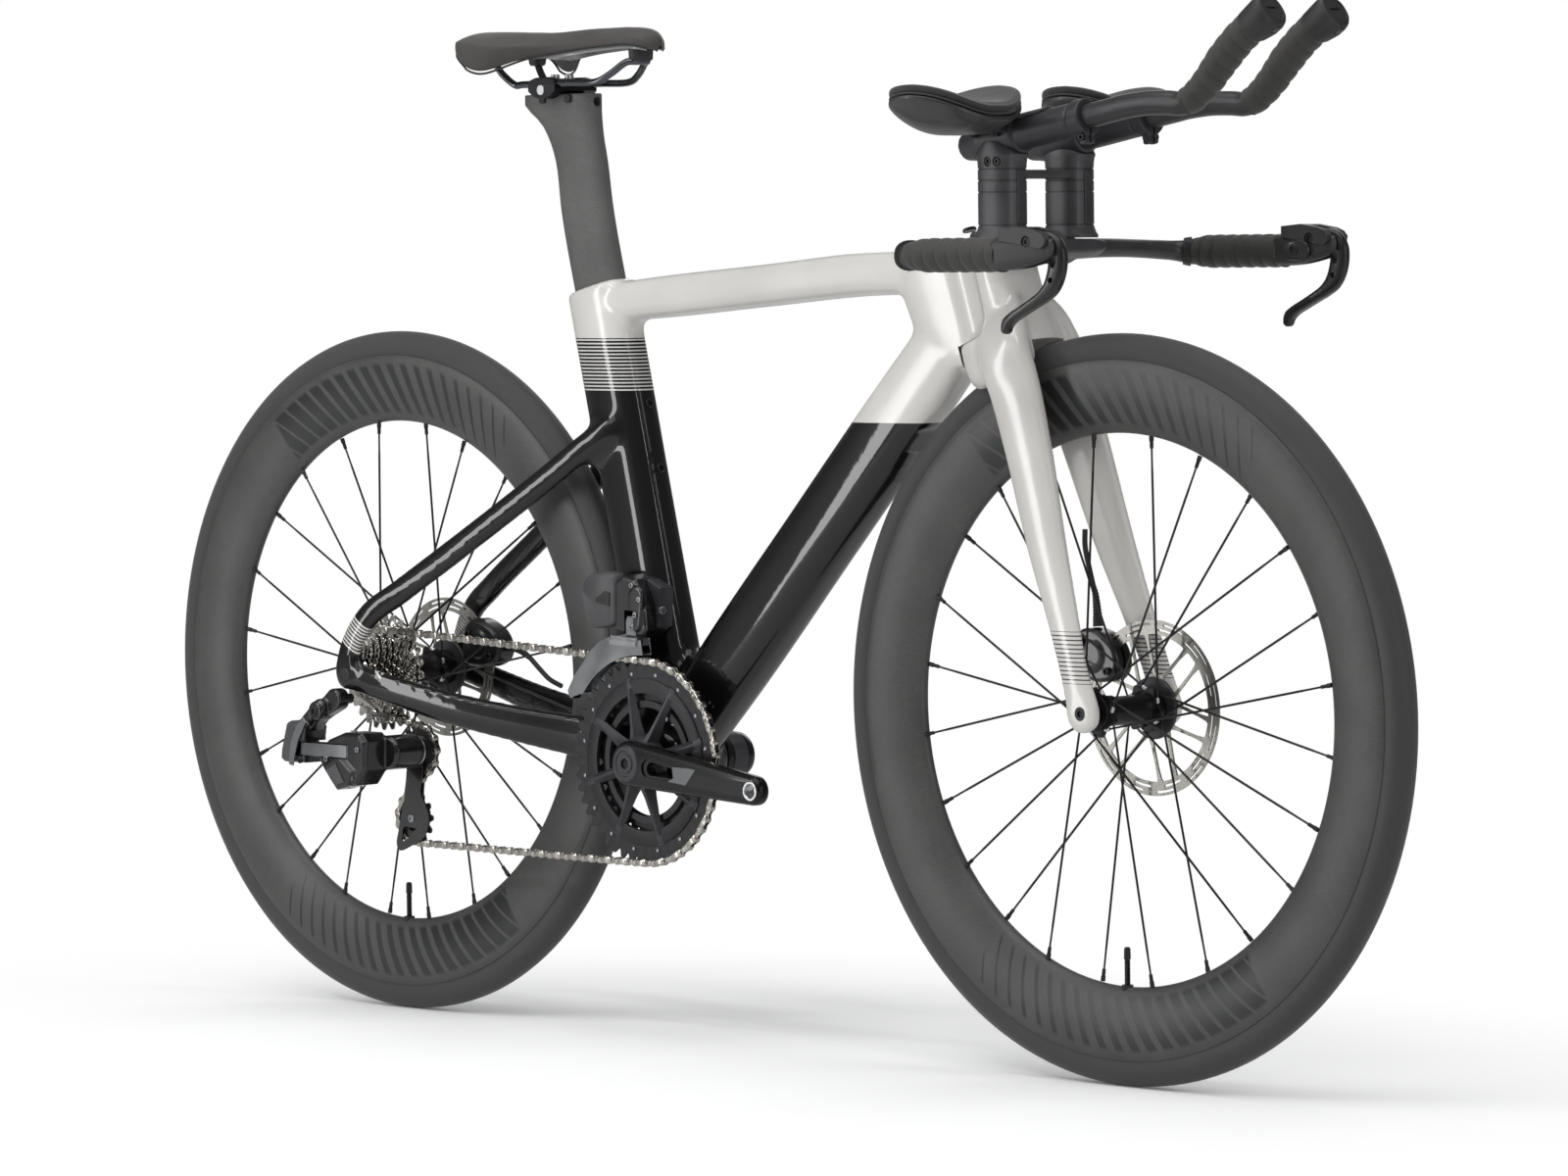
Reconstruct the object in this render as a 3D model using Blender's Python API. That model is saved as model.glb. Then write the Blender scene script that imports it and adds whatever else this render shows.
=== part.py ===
"""A time-trial bicycle: deep carbon wheels, aero frame, base bar and forearm extensions.

Sizes are in millimetres and become metres where a mesh is made.
+X points forward, +Y to the rider's left, +Z up; the origin lies on the ground midway between the axles.
"""

import math

import bmesh
import bpy
from mathutils import Vector

for old in list(bpy.data.objects):
    bpy.data.objects.remove(old, do_unlink=True)

MM = 0.001
GAP = 0.3

# Wheels
WHEELBASE = 980.0
WHEEL_RADIUS = 340.0
TYRE_HALF_WIDTH = 14.0
TREAD_HALF_WIDTH = 6.0
RIM_DEPTH = 65.0
RIM_HALF_WIDTH = 14.5
WHEEL_FACETS = 24
SPOKES = 24
SPOKE_RADIUS = 1.1
FRONT_ROTOR_RADIUS = 80.0
REAR_ROTOR_RADIUS = 70.0
ROTOR_THICKNESS = 1.8
ROTOR_BAND = 13.0
AXLE_RADIUS = 6.0
FRONT_HUB_HALF_WIDTH = 50.0
REAR_HUB_HALF_WIDTH = 71.0
DROPOUT_THICKNESS = 10.0

# Frame
BB_X = -87.0
BB_Z = 269.0
BB_SHELL_RADIUS = 29.0
BB_SHELL_HALF_WIDTH = 34.0
SEAT_ANGLE = math.radians(76.6)
SEAT_TUBE_DEPTH = 75.0
SEAT_TUBE_WIDTH = 44.0
SEAT_TUBE_TOP_Z = 724.0
TOP_TUBE_DEPTH = 40.0
TOP_TUBE_WIDTH = 40.0
DOWN_TUBE_DEPTH = 72.0
DOWN_TUBE_WIDTH = 50.0
STAY_DEPTH = 30.0
STAY_WIDTH = 13.0
CHAINSTAY_DEPTH = 36.0
TYRE_CLEARANCE = 7.0

# Steering
HEAD_ANGLE = math.radians(72.0)
FORK_RAKE = 45.0
HEAD_TUBE_RADIUS = 28.0
HEAD_TUBE_TOP_Z = 756.0
HEAD_TUBE_BOTTOM_Z = 676.0
STEERER_RADIUS = 14.0
STEER_CLEARANCE = 3.5
NOSE_REACH = 60.0

# Seatpost and saddle
POST_DEPTH = 64.0
POST_WIDTH = 26.0
SADDLE_NOSE_X = -108.0
SADDLE_REAR_X = -350.0
SADDLE_TOP_Z = 966.0
SADDLE_HALF_WIDTH = 66.0
RAIL_RADIUS = 3.5
RAIL_HALF_SPACING = 22.0
RAIL_DROP = 45.0
CLAMP_X = -247.0
CLAMP_Z = SADDLE_TOP_Z - RAIL_DROP
POST_DROP = 21.0
POST_TOP_Z = CLAMP_Z - POST_DROP
POST_BOTTOM_Z = 560.0
POST_TRAVEL_DOWN = 60.0

# Drivetrain
CHAIN_PITCH = 12.7
RING_TEETH = 48
INNER_RING_TEETH = 35
COG_TEETH = (10, 11, 12, 13, 14, 15, 16, 17, 18, 21, 24, 28)
CHAIN_COG = 9
COG_PITCH = 3.3
FIRST_COG_Y = -64.5
PULLEY_TEETH = 12
PULLEY_BORE = 3.4
RING_Y = -50.5
RING_SPACING = 7.0
PLATE_THICKNESS = 1.6
CRANK_LENGTH = 170.0
CRANK_DROP = math.radians(6.0)
CRANK_FACE_Y = 64.0
CRANK_THICKNESS = 13.0
SPINDLE_RADIUS = 14.0
GUIDE_X = -431.0
GUIDE_Z = 264.0
CAGE_LENGTH = 69.0

# Cockpit
BAR_X = 392.0
BAR_Z = 757.0
BAR_HALF_WIDTH = 187.0
GRIP_RADIUS = 14.5
GRIP_END_X = 512.0
GRIP_Z = 752.0
TOWER_Y = 44.5
TOWER_X = 386.0
TOWER_DEPTH = 46.0
TOWER_WIDTH = 34.0
TOWER_BOTTOM_Z = 766.0
TOWER_TOP_Z = 829.0
EXTENSION_RADIUS = 11.0
EXTENSION_SLOPE = math.radians(9.5)
PAD_X = 384.0
PAD_Y = 100.0
PAD_HALF_LENGTH = 52.0
PAD_HALF_WIDTH = 60.0
PAD_THICKNESS = 12.0
CUP_THICKNESS = 5.0
LEVER_PIVOT_X = 562.0
LEVER_PIVOT_Z = 763.0


# Derived places
FRONT_X = WHEELBASE / 2
REAR_X = -WHEELBASE / 2
AXLE_Z = WHEEL_RADIUS
STEER_SLOPE = 1 / math.tan(HEAD_ANGLE)
STEER_AHEAD = Vector((math.sin(HEAD_ANGLE), 0, math.cos(HEAD_ANGLE)))
STEER_FOOT_X = FRONT_X - FORK_RAKE / math.sin(HEAD_ANGLE)
SEAT_UP = Vector((-math.cos(SEAT_ANGLE), 0, math.sin(SEAT_ANGLE)))
SEAT_AHEAD = Vector((math.sin(SEAT_ANGLE), 0, math.cos(SEAT_ANGLE)))
SIDE = Vector((0, 1, 0))
RIM_INNER_RADIUS = WHEEL_RADIUS - 25.0 - RIM_DEPTH


def steer_x(z):
    """The X of the steering axis at a height."""
    return STEER_FOOT_X - (z - AXLE_Z) * STEER_SLOPE


def seat_x(z):
    """The X of the seat tube's centre line at a height; the line runs through the crank axis."""
    return BB_X - (z - BB_Z) / math.tan(SEAT_ANGLE)


def pitch_radius(teeth):
    return teeth * CHAIN_PITCH / (2 * math.pi)


# Finishes
def finish(name, hex_colour, roughness, metallic=0.0):
    """A Principled material from an sRGB hex colour."""
    channels = [int(hex_colour[i : i + 2], 16) / 255 for i in (0, 2, 4)]
    linear = [c / 12.92 if c <= 0.04045 else ((c + 0.055) / 1.055) ** 2.4 for c in channels]
    material = bpy.data.materials.new(name)
    material.use_nodes = True
    shader = material.node_tree.nodes["Principled BSDF"]
    shader.inputs["Base Color"].default_value = (*linear, 1)
    shader.inputs["Roughness"].default_value = roughness
    shader.inputs["Metallic"].default_value = metallic
    return material


LOOKS = {
    "pearl_paint": ("D9D8D4", 0.25, 0.0),
    "gloss_black": ("0B0B0C", 0.15, 0.0),
    "matte_carbon": ("3A3B3C", 0.5, 0.0),
    "tyre_rubber": ("262626", 0.8, 0.0),
    "black_anodised": ("1B1B1C", 0.35, 0.6),
    "matte_black": ("2A2A2A", 0.55, 0.0),
    "steel": ("B8B8B6", 0.25, 1.0),
    "chain_steel": ("A39C92", 0.3, 1.0),
    "satin_aluminium": ("C4C5C6", 0.3, 1.0),
    "saddle_cover": ("1E1E1F", 0.7, 0.0),
    "foam_pad": ("333132", 0.9, 0.0),
    "tape": ("242424", 0.75, 0.0),
    "hose": ("151515", 0.5, 0.0),
}


# Mesh helpers
def new_object(name, bm, look, helper=False):
    """Makes an object of a bmesh in millimetres, with its own copy of a finish."""
    bmesh.ops.recalc_face_normals(bm, faces=bm.faces)
    bmesh.ops.scale(bm, vec=(MM, MM, MM), verts=bm.verts)
    mesh = bpy.data.meshes.new(name)
    bm.to_mesh(mesh)
    bm.free()
    obj = bpy.data.objects.new(name, mesh)
    bpy.context.scene.collection.objects.link(obj)
    if helper:
        obj.hide_render = True
        obj.display_type = "WIRE"
        return obj
    mesh.materials.append(finish(name + "_finish", *LOOKS[look]))
    mesh.shade_smooth()
    mesh.set_sharp_from_angle(angle=math.radians(35))
    return obj


def add_loft(bm, rings):
    """Skins closed rings of equal count, with a flat cap on each end."""
    rows = [[bm.verts.new(p) for p in ring] for ring in rings]
    for low, high in zip(rows, rows[1:]):
        for i in range(len(low)):
            j = (i + 1) % len(low)
            bm.faces.new((low[i], low[j], high[j], high[i]))
    bm.faces.new(rows[0][::-1])
    bm.faces.new(rows[-1])


def add_prism(bm, outline, low_y, high_y):
    """An X-Z outline drawn out along Y."""
    add_loft(bm, [[Vector((x, y, z)) for x, z in outline] for y in (low_y, high_y)])


def add_ring(bm, rows):
    """Skins rings of equal count and joins the last to the first, as round a torus."""
    rows = [[bm.verts.new(p) for p in row] for row in rows]
    for a, row in enumerate(rows):
        after = rows[(a + 1) % len(rows)]
        for i in range(len(row)):
            j = (i + 1) % len(row)
            bm.faces.new((row[i], row[j], after[j], after[i]))


def wheel_angles(count):
    """Angles whose facets face straight down, ahead and up."""
    return [(i + 0.5) * 2 * math.pi / count for i in range(count)]


def around(x, y, z, radius, angle):
    """A point on a circle about the Y direction; angle 0 points ahead and a quarter turn up."""
    return Vector((x + radius * math.cos(angle), y, z + radius * math.sin(angle)))


def add_turned(bm, x, z, profile, count, closed=False):
    """Turns (radius, y) points about an axis along Y; a closed profile makes a ring."""
    rows = [[around(x, y, z, radius, a) for radius, y in profile] for a in wheel_angles(count)]
    if closed:
        add_ring(bm, rows)
        return
    add_loft(bm, [[row[k] for row in rows] for k in range(len(profile))])


def oval(centre, ahead, side, depth, width, count=12, power=2.4):
    """A rounded section with its depth along one direction and its width along another."""
    points = []
    for i in range(count):
        a = (i + 0.5) * 2 * math.pi / count
        c, s = math.cos(a), math.sin(a)
        u = math.copysign(abs(c) ** (2 / power), c) * depth / 2
        v = math.copysign(abs(s) ** (2 / power), s) * width / 2
        points.append(centre + ahead * u + side * v)
    return points


def add_tube(bm, stations, count=12, power=2.4):
    """A tube through (x, y, z, depth, width) stations, its depth square to the path as seen from the side."""
    centres = [Vector(s[:3]) for s in stations]
    rings = []
    for i, (centre, station) in enumerate(zip(centres, stations)):
        along = centres[min(i + 1, len(centres) - 1)] - centres[max(i - 1, 0)]
        along.normalize()
        side = SIDE - along * along.y
        side.normalize()
        rings.append(oval(centre, side.cross(along), side, station[3], station[4], count, power))
    add_loft(bm, rings)


def smooth_route(points, step):
    """Points at a steady spacing on a smooth curve through a short list of places."""
    places = [Vector(p) for p in points]
    padded = [2 * places[0] - places[1], *places, 2 * places[-1] - places[-2]]
    dense = [places[0]]
    for a, b, c, d in zip(padded, padded[1:], padded[2:], padded[3:]):
        for k in range(1, 13):
            t = k / 12
            dense.append(
                0.5 * (2 * b + (c - a) * t + (2 * a - 5 * b + 4 * c - d) * t**2 + (3 * b - a - 3 * c + d) * t**3)
            )
    lengths = [0.0]
    for a, b in zip(dense, dense[1:]):
        lengths.append(lengths[-1] + (b - a).length)
    count = max(2, round(lengths[-1] / step))
    route = []
    k = 0
    for i in range(count + 1):
        want = lengths[-1] * i / count
        while k < len(dense) - 2 and lengths[k + 1] < want:
            k += 1
        span = lengths[k + 1] - lengths[k]
        route.append(dense[k].lerp(dense[k + 1], (want - lengths[k]) / span))
    return route


def add_round_bar(bm, route, radius, count=10):
    """A round bar along a route; radius is one value or one for each point."""
    radii = radius if isinstance(radius, list) else [radius] * len(route)
    rings = []
    ahead = None
    for i, centre in enumerate(route):
        along = (route[min(i + 1, len(route) - 1)] - route[max(i - 1, 0)]).normalized()
        if ahead is None:
            ahead = along.orthogonal()
        ahead = (ahead - along * ahead.dot(along)).normalized()
        rings.append(oval(centre, ahead, along.cross(ahead), 2 * radii[i], 2 * radii[i], count, 2.0))
    add_loft(bm, rings)


def helper_object(name, build):
    bm = bmesh.new()
    build(bm)
    return new_object(name, bm, None, helper=True)


def joined(name, look, base, *steps):
    """An object made of a base shape and of steps, each an operation and a function that draws its shape."""
    bm = bmesh.new()
    base(bm)
    obj = new_object(name, bm, look)
    for k, (operation, shape) in enumerate(steps):
        modifier = obj.modifiers.new(f"{operation.lower()}_{k}", "BOOLEAN")
        modifier.operation = operation
        modifier.solver = "EXACT"
        modifier.use_self = True
        modifier.object = helper_object(f"{name}.{operation.lower()}_{k}", shape)
    return obj


def simple(name, look, build):
    return joined(name, look, build)


# Wheels
def turning_bore(radius, facets=12):
    """The corner radius of a bore whose facets stay clear of a shaft that turns in it."""
    return (radius + GAP) / math.cos(math.pi / facets)


def flat_radius(radius):
    """The corner radius that puts a wheel's facets, not its corners, at a radius."""
    return radius / math.cos(math.pi / WHEEL_FACETS)


def mirrored_profile(half):
    """A closed (radius, y) profile from its right half, read from the outside in."""
    return [(r, -y) for r, y in half] + [(r, y) for r, y in reversed(half)]


BEAD_RADIUS = WHEEL_RADIUS - 27.7
TYRE_HALF_PROFILE = [
    (WHEEL_RADIUS, TREAD_HALF_WIDTH),
    (WHEEL_RADIUS - 9.0, TYRE_HALF_WIDTH),
    (BEAD_RADIUS, TYRE_HALF_WIDTH - 3.8),
]
RIM_HALF_PROFILE = [
    (BEAD_RADIUS - GAP, TYRE_HALF_WIDTH - 3.4),
    (BEAD_RADIUS + 3.7, TYRE_HALF_WIDTH - 2.1),
    (BEAD_RADIUS + 3.7, RIM_HALF_WIDTH - 1.2),
    (RIM_INNER_RADIUS, 5.5),
]


def make_tyre(name, x):
    profile = mirrored_profile([(flat_radius(r), y) for r, y in TYRE_HALF_PROFILE])
    return simple(name, "tyre_rubber", lambda bm: add_turned(bm, x, AXLE_Z, profile, WHEEL_FACETS, closed=True))


def add_valve(bm, x):
    """The valve stem stands inward from the lowest point of the rim, with its cap on."""
    base = AXLE_Z - RIM_INNER_RADIUS
    stations = [(-12, 2.6), (26, 2.6), (36, 2.0)]
    route = [Vector((x, 0, base + rise)) for rise, _ in stations]
    add_round_bar(bm, route, [r for _, r in stations], 6)


def make_rim(name, x):
    profile = mirrored_profile([(flat_radius(r), y) for r, y in RIM_HALF_PROFILE])
    return joined(
        name,
        "matte_carbon",
        lambda bm: add_turned(bm, x, AXLE_Z, profile, WHEEL_FACETS, closed=True),
        ("UNION", lambda bm: add_valve(bm, x)),
    )


FLANGE_RADIUS = 23.0
FLANGE_HALF = 2.2
SPOKE_CIRCLE = 19.0
SPOKE_SWEEP = math.radians(58.0)
SPOKE_OFFSET = 1.3
HUB_BORE = AXLE_RADIUS + GAP
CAP_RADIUS = 9.5
HUB_FACETS = 12


def hub_profile(half_width, right_flange, left_flange, rotor_y, right_core):
    """Closed (radius, y) profile of a hub shell, from its right end cap to its left one."""
    rotor_seat = rotor_y + ROTOR_THICKNESS / 2
    return [
        (HUB_BORE, -half_width + GAP),
        (CAP_RADIUS, -half_width + GAP),
        (CAP_RADIUS, right_flange - FLANGE_HALF - right_core),
        (15.5, right_flange - FLANGE_HALF),
        (FLANGE_RADIUS, right_flange - FLANGE_HALF),
        (FLANGE_RADIUS, right_flange + FLANGE_HALF),
        (13.5, right_flange + 8.0),
        (13.5, left_flange - 8.0),
        (FLANGE_RADIUS, left_flange - FLANGE_HALF),
        (FLANGE_RADIUS, left_flange + FLANGE_HALF),
        (ROTOR_SEAT_RADIUS, left_flange + FLANGE_HALF + 1.0),
        (ROTOR_SEAT_RADIUS, rotor_seat),
        (CAP_RADIUS, rotor_seat),
        (CAP_RADIUS, half_width - GAP),
        (HUB_BORE, half_width - GAP),
    ]


ROTOR_SEAT_RADIUS = 17.0


def add_spokes(bm, x, flange_ys, count):
    """Straight-pull spokes, crossed: each leaves its flange nearly square to the radius it ends on."""
    reach = flat_radius(RIM_INNER_RADIUS) - 1.5 * GAP
    per_side = count // 2
    for side, flange_y in enumerate(flange_ys):
        for k in range(per_side):
            lead = 1 if k % 2 else -1
            at_rim = 2 * math.pi * (k + side / 2 + 0.25) / per_side
            start = around(x, flange_y + lead * SPOKE_OFFSET, AXLE_Z, SPOKE_CIRCLE, at_rim + lead * SPOKE_SWEEP)
            end = around(x, math.copysign(2.5, flange_y), AXLE_Z, reach, at_rim)
            add_round_bar(bm, [start, end], SPOKE_RADIUS, 3)


def make_hub(name, x, profile, flange_ys):
    return joined(
        name,
        "black_anodised",
        lambda bm: add_turned(bm, x, AXLE_Z, profile, HUB_FACETS, closed=True),
        ("UNION", lambda bm: add_spokes(bm, x, flange_ys, SPOKES)),
    )


def make_rotor(name, x, y, radius, arms=6):
    """A brake rotor: a thin band carried on swept arms by a ring that sits on the hub."""
    low, high = y - ROTOR_THICKNESS / 2, y + ROTOR_THICKNESS / 2
    carrier = ROTOR_SEAT_RADIUS + GAP

    def ring(bm, inner, outer, count):
        profile = [(inner, low), (outer, low), (outer, high), (inner, high)]
        add_turned(bm, x, AXLE_Z, profile, count, closed=True)

    def swept_arms(bm):
        for k in range(arms):
            a = 2 * math.pi * k / arms
            start = around(x, low, AXLE_Z, carrier + 3.0, a)
            end = around(x, low, AXLE_Z, radius - ROTOR_BAND + 3.0, a + math.radians(32))
            across = (end - start).cross(SIDE).normalized()
            corners = [start - across * 4, end - across * 2.5, end + across * 2.5, start + across * 4]
            add_prism(bm, [(p.x, p.z) for p in corners], low, high)

    return joined(
        name,
        "steel",
        lambda bm: ring(bm, radius - ROTOR_BAND, radius, 18),
        ("UNION", lambda bm: ring(bm, carrier, carrier + 6.0, HUB_FACETS)),
        ("UNION", swept_arms),
    )


FRONT_ROTOR_Y = 38.0
REAR_ROTOR_Y = 55.5
FRONT_FLANGES = (-36.0, 26.0)
REAR_FLANGES = (-19.0, 36.0)


def make_wheels():
    front_hub = hub_profile(FRONT_HUB_HALF_WIDTH, *FRONT_FLANGES, FRONT_ROTOR_Y, 2.0)
    rear_hub = hub_profile(REAR_HUB_HALF_WIDTH, *REAR_FLANGES, REAR_ROTOR_Y, 2.0)
    make_tyre("front_tyre", FRONT_X)
    make_rim("front_rim", FRONT_X)
    make_hub("front_hub_and_spokes", FRONT_X, front_hub, FRONT_FLANGES)
    make_rotor("front_rotor", FRONT_X, FRONT_ROTOR_Y, FRONT_ROTOR_RADIUS)
    make_tyre("rear_tyre", REAR_X)
    make_rim("rear_rim", REAR_X)
    make_hub("rear_hub_and_spokes", REAR_X, rear_hub, REAR_FLANGES)
    make_rotor("rear_rotor", REAR_X, REAR_ROTOR_Y, REAR_ROTOR_RADIUS)


# Frame
def add_cylinder(bm, low, high, radius, count=12):
    """A straight round bar between two points."""
    add_round_bar(bm, [Vector(low), Vector(high)], radius, count)


def steer_point(z, ahead=0.0, side=0.0):
    """A point by its height on the steering axis and its offset square to that axis."""
    return Vector((steer_x(z), 0, z)) + STEER_AHEAD * ahead + SIDE * side


def add_steer_cylinder(bm, low_z, high_z, radius, count=12):
    """A round bar about the steering axis, with its flat ends square to the axis."""
    ends = [steer_point(low_z), steer_point(high_z)]
    add_loft(bm, [oval(p, STEER_AHEAD, SIDE, 2 * radius, 2 * radius, count, 2.0) for p in ends])


def add_wheel_cutter(bm, x, half_width):
    reach = WHEEL_RADIUS + TYRE_CLEARANCE
    add_turned(bm, x, AXLE_Z, [(reach, -half_width), (reach, half_width)], 36)


def add_seat_tube(bm):
    stations = []
    for z in (SEAT_TUBE_TOP_Z, 640.0, 500.0, 380.0, BB_Z):
        stations.append((seat_x(z), 0, z, SEAT_TUBE_DEPTH, SEAT_TUBE_WIDTH))
    add_tube(bm, stations[::-1], 10)


TOP_TUBE_SLOPE = 0.0745
TOP_TUBE_REAR_Z = SEAT_TUBE_TOP_Z - 17.0


def top_tube_z(x):
    return TOP_TUBE_REAR_Z + (x - seat_x(TOP_TUBE_REAR_Z)) * TOP_TUBE_SLOPE


def add_top_tube(bm):
    rear = seat_x(TOP_TUBE_REAR_Z) - 4.0
    places = [(rear, 0.9), (rear + 90.0, 1.0), (40.0, 1.0), (175.0, 1.0)]
    stations = [(x, 0, top_tube_z(x), TOP_TUBE_DEPTH * f, TOP_TUBE_WIDTH) for x, f in places]
    end_x = steer_x(HEAD_TUBE_TOP_Z) - 8.0
    stations.append((end_x, 0, HEAD_TUBE_TOP_Z - TOP_TUBE_DEPTH / 2 - 0.5, TOP_TUBE_DEPTH, TOP_TUBE_WIDTH + 6.0))
    add_tube(bm, stations, 10)


def add_down_tube(bm):
    """A deep aero tube at 45 degrees from the head tube to the bottom bracket."""
    top = Vector((steer_x(HEAD_TUBE_BOTTOM_Z) - 55.0, 0, HEAD_TUBE_BOTTOM_Z - 6.0))
    foot = Vector((BB_X + 14.0, 0, BB_Z + 34.0))
    stations = []
    for share, depth, width in ((0.0, 0.9, 1.0), (0.16, 1.0, 1.0), (0.5, 1.0, 1.0), (0.8, 1.0, 0.96), (1.0, 0.94, 0.9)):
        p = foot.lerp(top, share)
        stations.append((p.x, 0, p.z, DOWN_TUBE_DEPTH * depth, DOWN_TUBE_WIDTH * width))
    add_tube(bm, stations, 10)


def add_head_fairing(bm):
    """The broad web behind the head tube, which fills the corner between the top tube and the down tube."""
    rings = []
    for z, reach, width in ((650.0, 78.0, 44.0), (682.0, 96.0, 46.0), (718.0, 102.0, 46.0), (HEAD_TUBE_TOP_Z, 92.0, 44.0)):
        front = Vector((steer_x(z) + 6.0, 0, z))
        rings.append(oval(front - Vector((reach / 2, 0, 0)), Vector((1, 0, 0)), SIDE, reach, width, 12, 3.0))
    add_loft(bm, rings)


def seat_stay_stations(side, grow=0.0):
    """Places along a seat stay, from the seat tube out round the wheel to its dropout."""
    end_y = REAR_HUB_HALF_WIDTH + DROPOUT_THICKNESS / 2
    places = [
        (-140.0, 14.0, 594.0),
        (-190.0, 25.0, 570.5),
        (-235.0, 33.0, 541.0),
        (-334.0, 48.0, 479.0),
        (-430.0, 62.0, 421.0),
        (-466.0, end_y - 6.0, 398.0),
        (REAR_X + 3.0, end_y - 1.0, AXLE_Z + 27.0),
        (REAR_X - 5.0, end_y, AXLE_Z + 2.0),
    ]
    depth = STAY_DEPTH - 4.0 + 2 * grow
    width = STAY_WIDTH - 1.5 + 2 * grow
    return [(x, side * y, z, depth, width) for x, y, z in places]


def chainstay_stations(side, grow=0.0):
    """Places along a chainstay, from the bottom bracket back beside the wheel to its dropout."""
    end_y = REAR_HUB_HALF_WIDTH + DROPOUT_THICKNESS / 2
    places = [
        (-110.0, 24.0, 279.0, 1.25, 16.0),
        (-200.0, 33.0, 288.0, 1.15, 17.0),
        (-270.0, 46.0, 297.0, 1.02, 15.0),
        (-360.0, 61.0, 311.0, 0.92, 13.0),
        (REAR_X + 40.0, end_y - 3.0, AXLE_Z - 10.0, 0.82, 11.0),
        (REAR_X, end_y, AXLE_Z - 1.0, 0.8, DROPOUT_THICKNESS),
    ]
    return [(x, side * y, z, CHAINSTAY_DEPTH * f + 2 * grow, w + 2 * grow) for x, y, z, f, w in places]


def add_stays(bm):
    for side in (-1, 1):
        add_tube(bm, seat_stay_stations(side), 8)
        add_tube(bm, chainstay_stations(side), 8)


def add_dropouts(bm):
    for side in (-1, 1):
        inner = side * REAR_HUB_HALF_WIDTH
        outer = side * (REAR_HUB_HALF_WIDTH + DROPOUT_THICKNESS)
        low, high = sorted((inner, outer))
        add_turned(bm, REAR_X, AXLE_Z, [(16.0, low), (16.0, high)], 12)


def add_hub_space(bm, x, half_width, radius):
    """The space between two dropouts and outside them, so that their faces end square to the axle."""
    add_turned(bm, x, AXLE_Z, [(radius, -half_width), (radius, half_width)], 12)
    outer = half_width + DROPOUT_THICKNESS
    add_turned(bm, x, AXLE_Z, [(radius, outer), (radius, outer + 20.0)], 12)
    add_turned(bm, x, AXLE_Z, [(radius, -outer - 20.0), (radius, -outer)], 12)


def add_axle_holes(bm, x, half_width):
    add_turned(bm, x, AXLE_Z, [(AXLE_RADIUS + GAP, -half_width), (AXLE_RADIUS + GAP, half_width)], 12)


BOTTLE_BOSS_SPACING = 64.0
BOSS_RADIUS = 5.5
BOSS_HEIGHT = 2.0


def boss_places():
    """Each bottle boss as its seat on a tube's surface and the direction it faces."""
    top = Vector((steer_x(HEAD_TUBE_BOTTOM_Z) - 55.0, 0, HEAD_TUBE_BOTTOM_Z - 6.0))
    foot = Vector((BB_X + 14.0, 0, BB_Z + 34.0))
    along = (top - foot).normalized()
    out = SIDE.cross(along)
    surface = foot - out * (DOWN_TUBE_DEPTH / 2 - 0.7)
    first = surface + along * 105.0
    seat_surface = Vector((seat_x(540.0), 0, 540.0)) + SEAT_AHEAD * (SEAT_TUBE_DEPTH / 2 - 0.7)
    return [
        (first, -out),
        (first + along * BOTTLE_BOSS_SPACING, -out),
        (seat_surface, SEAT_AHEAD),
        (seat_surface + SEAT_UP * BOTTLE_BOSS_SPACING, SEAT_AHEAD),
    ]


def add_bosses(bm):
    for seat, out in boss_places():
        add_cylinder(bm, seat - out * 4.0, seat + out * (BOSS_HEIGHT + 0.7), BOSS_RADIUS, 6)


BB_CUP_RADIUS = 20.0
BEARING_RADIUS = 21.0
BEARING_HEIGHT = 7.0


def add_steerer_bore(bm):
    add_steer_cylinder(bm, HEAD_TUBE_BOTTOM_Z - 40.0, HEAD_TUBE_TOP_Z + 20.0, STEERER_RADIUS + 1.0)


def add_bearing_seats(bm):
    depth = (BEARING_HEIGHT + 2 * GAP) * math.sin(HEAD_ANGLE)
    add_steer_cylinder(bm, HEAD_TUBE_TOP_Z - depth, HEAD_TUBE_TOP_Z + 20.0, BEARING_RADIUS + GAP)
    add_steer_cylinder(bm, HEAD_TUBE_BOTTOM_Z - 40.0, HEAD_TUBE_BOTTOM_Z + depth, BEARING_RADIUS + GAP)


def add_top_trim(bm):
    """Space above the head tube, square to the steering axis."""
    add_steer_cylinder(bm, HEAD_TUBE_TOP_Z, HEAD_TUBE_TOP_Z + 40.0, 60.0)


CROWN_RADIUS = 34.0


def add_crown_space(bm):
    """The space that the fork crown turns in, under the head tube."""
    add_steer_cylinder(bm, HEAD_TUBE_BOTTOM_Z - 80.0, HEAD_TUBE_BOTTOM_Z, CROWN_RADIUS + 2.0)


def add_post_socket(bm):
    bottom = POST_BOTTOM_Z - POST_TRAVEL_DOWN - 4.0
    rings = []
    for z in (bottom, SEAT_TUBE_TOP_Z + 30.0):
        centre = Vector((seat_x(z), 0, z))
        rings.append(oval(centre, SEAT_AHEAD, SIDE, POST_DEPTH + 2 * GAP, POST_WIDTH + 2 * GAP, 10, 2.4))
    add_loft(bm, rings)


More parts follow.
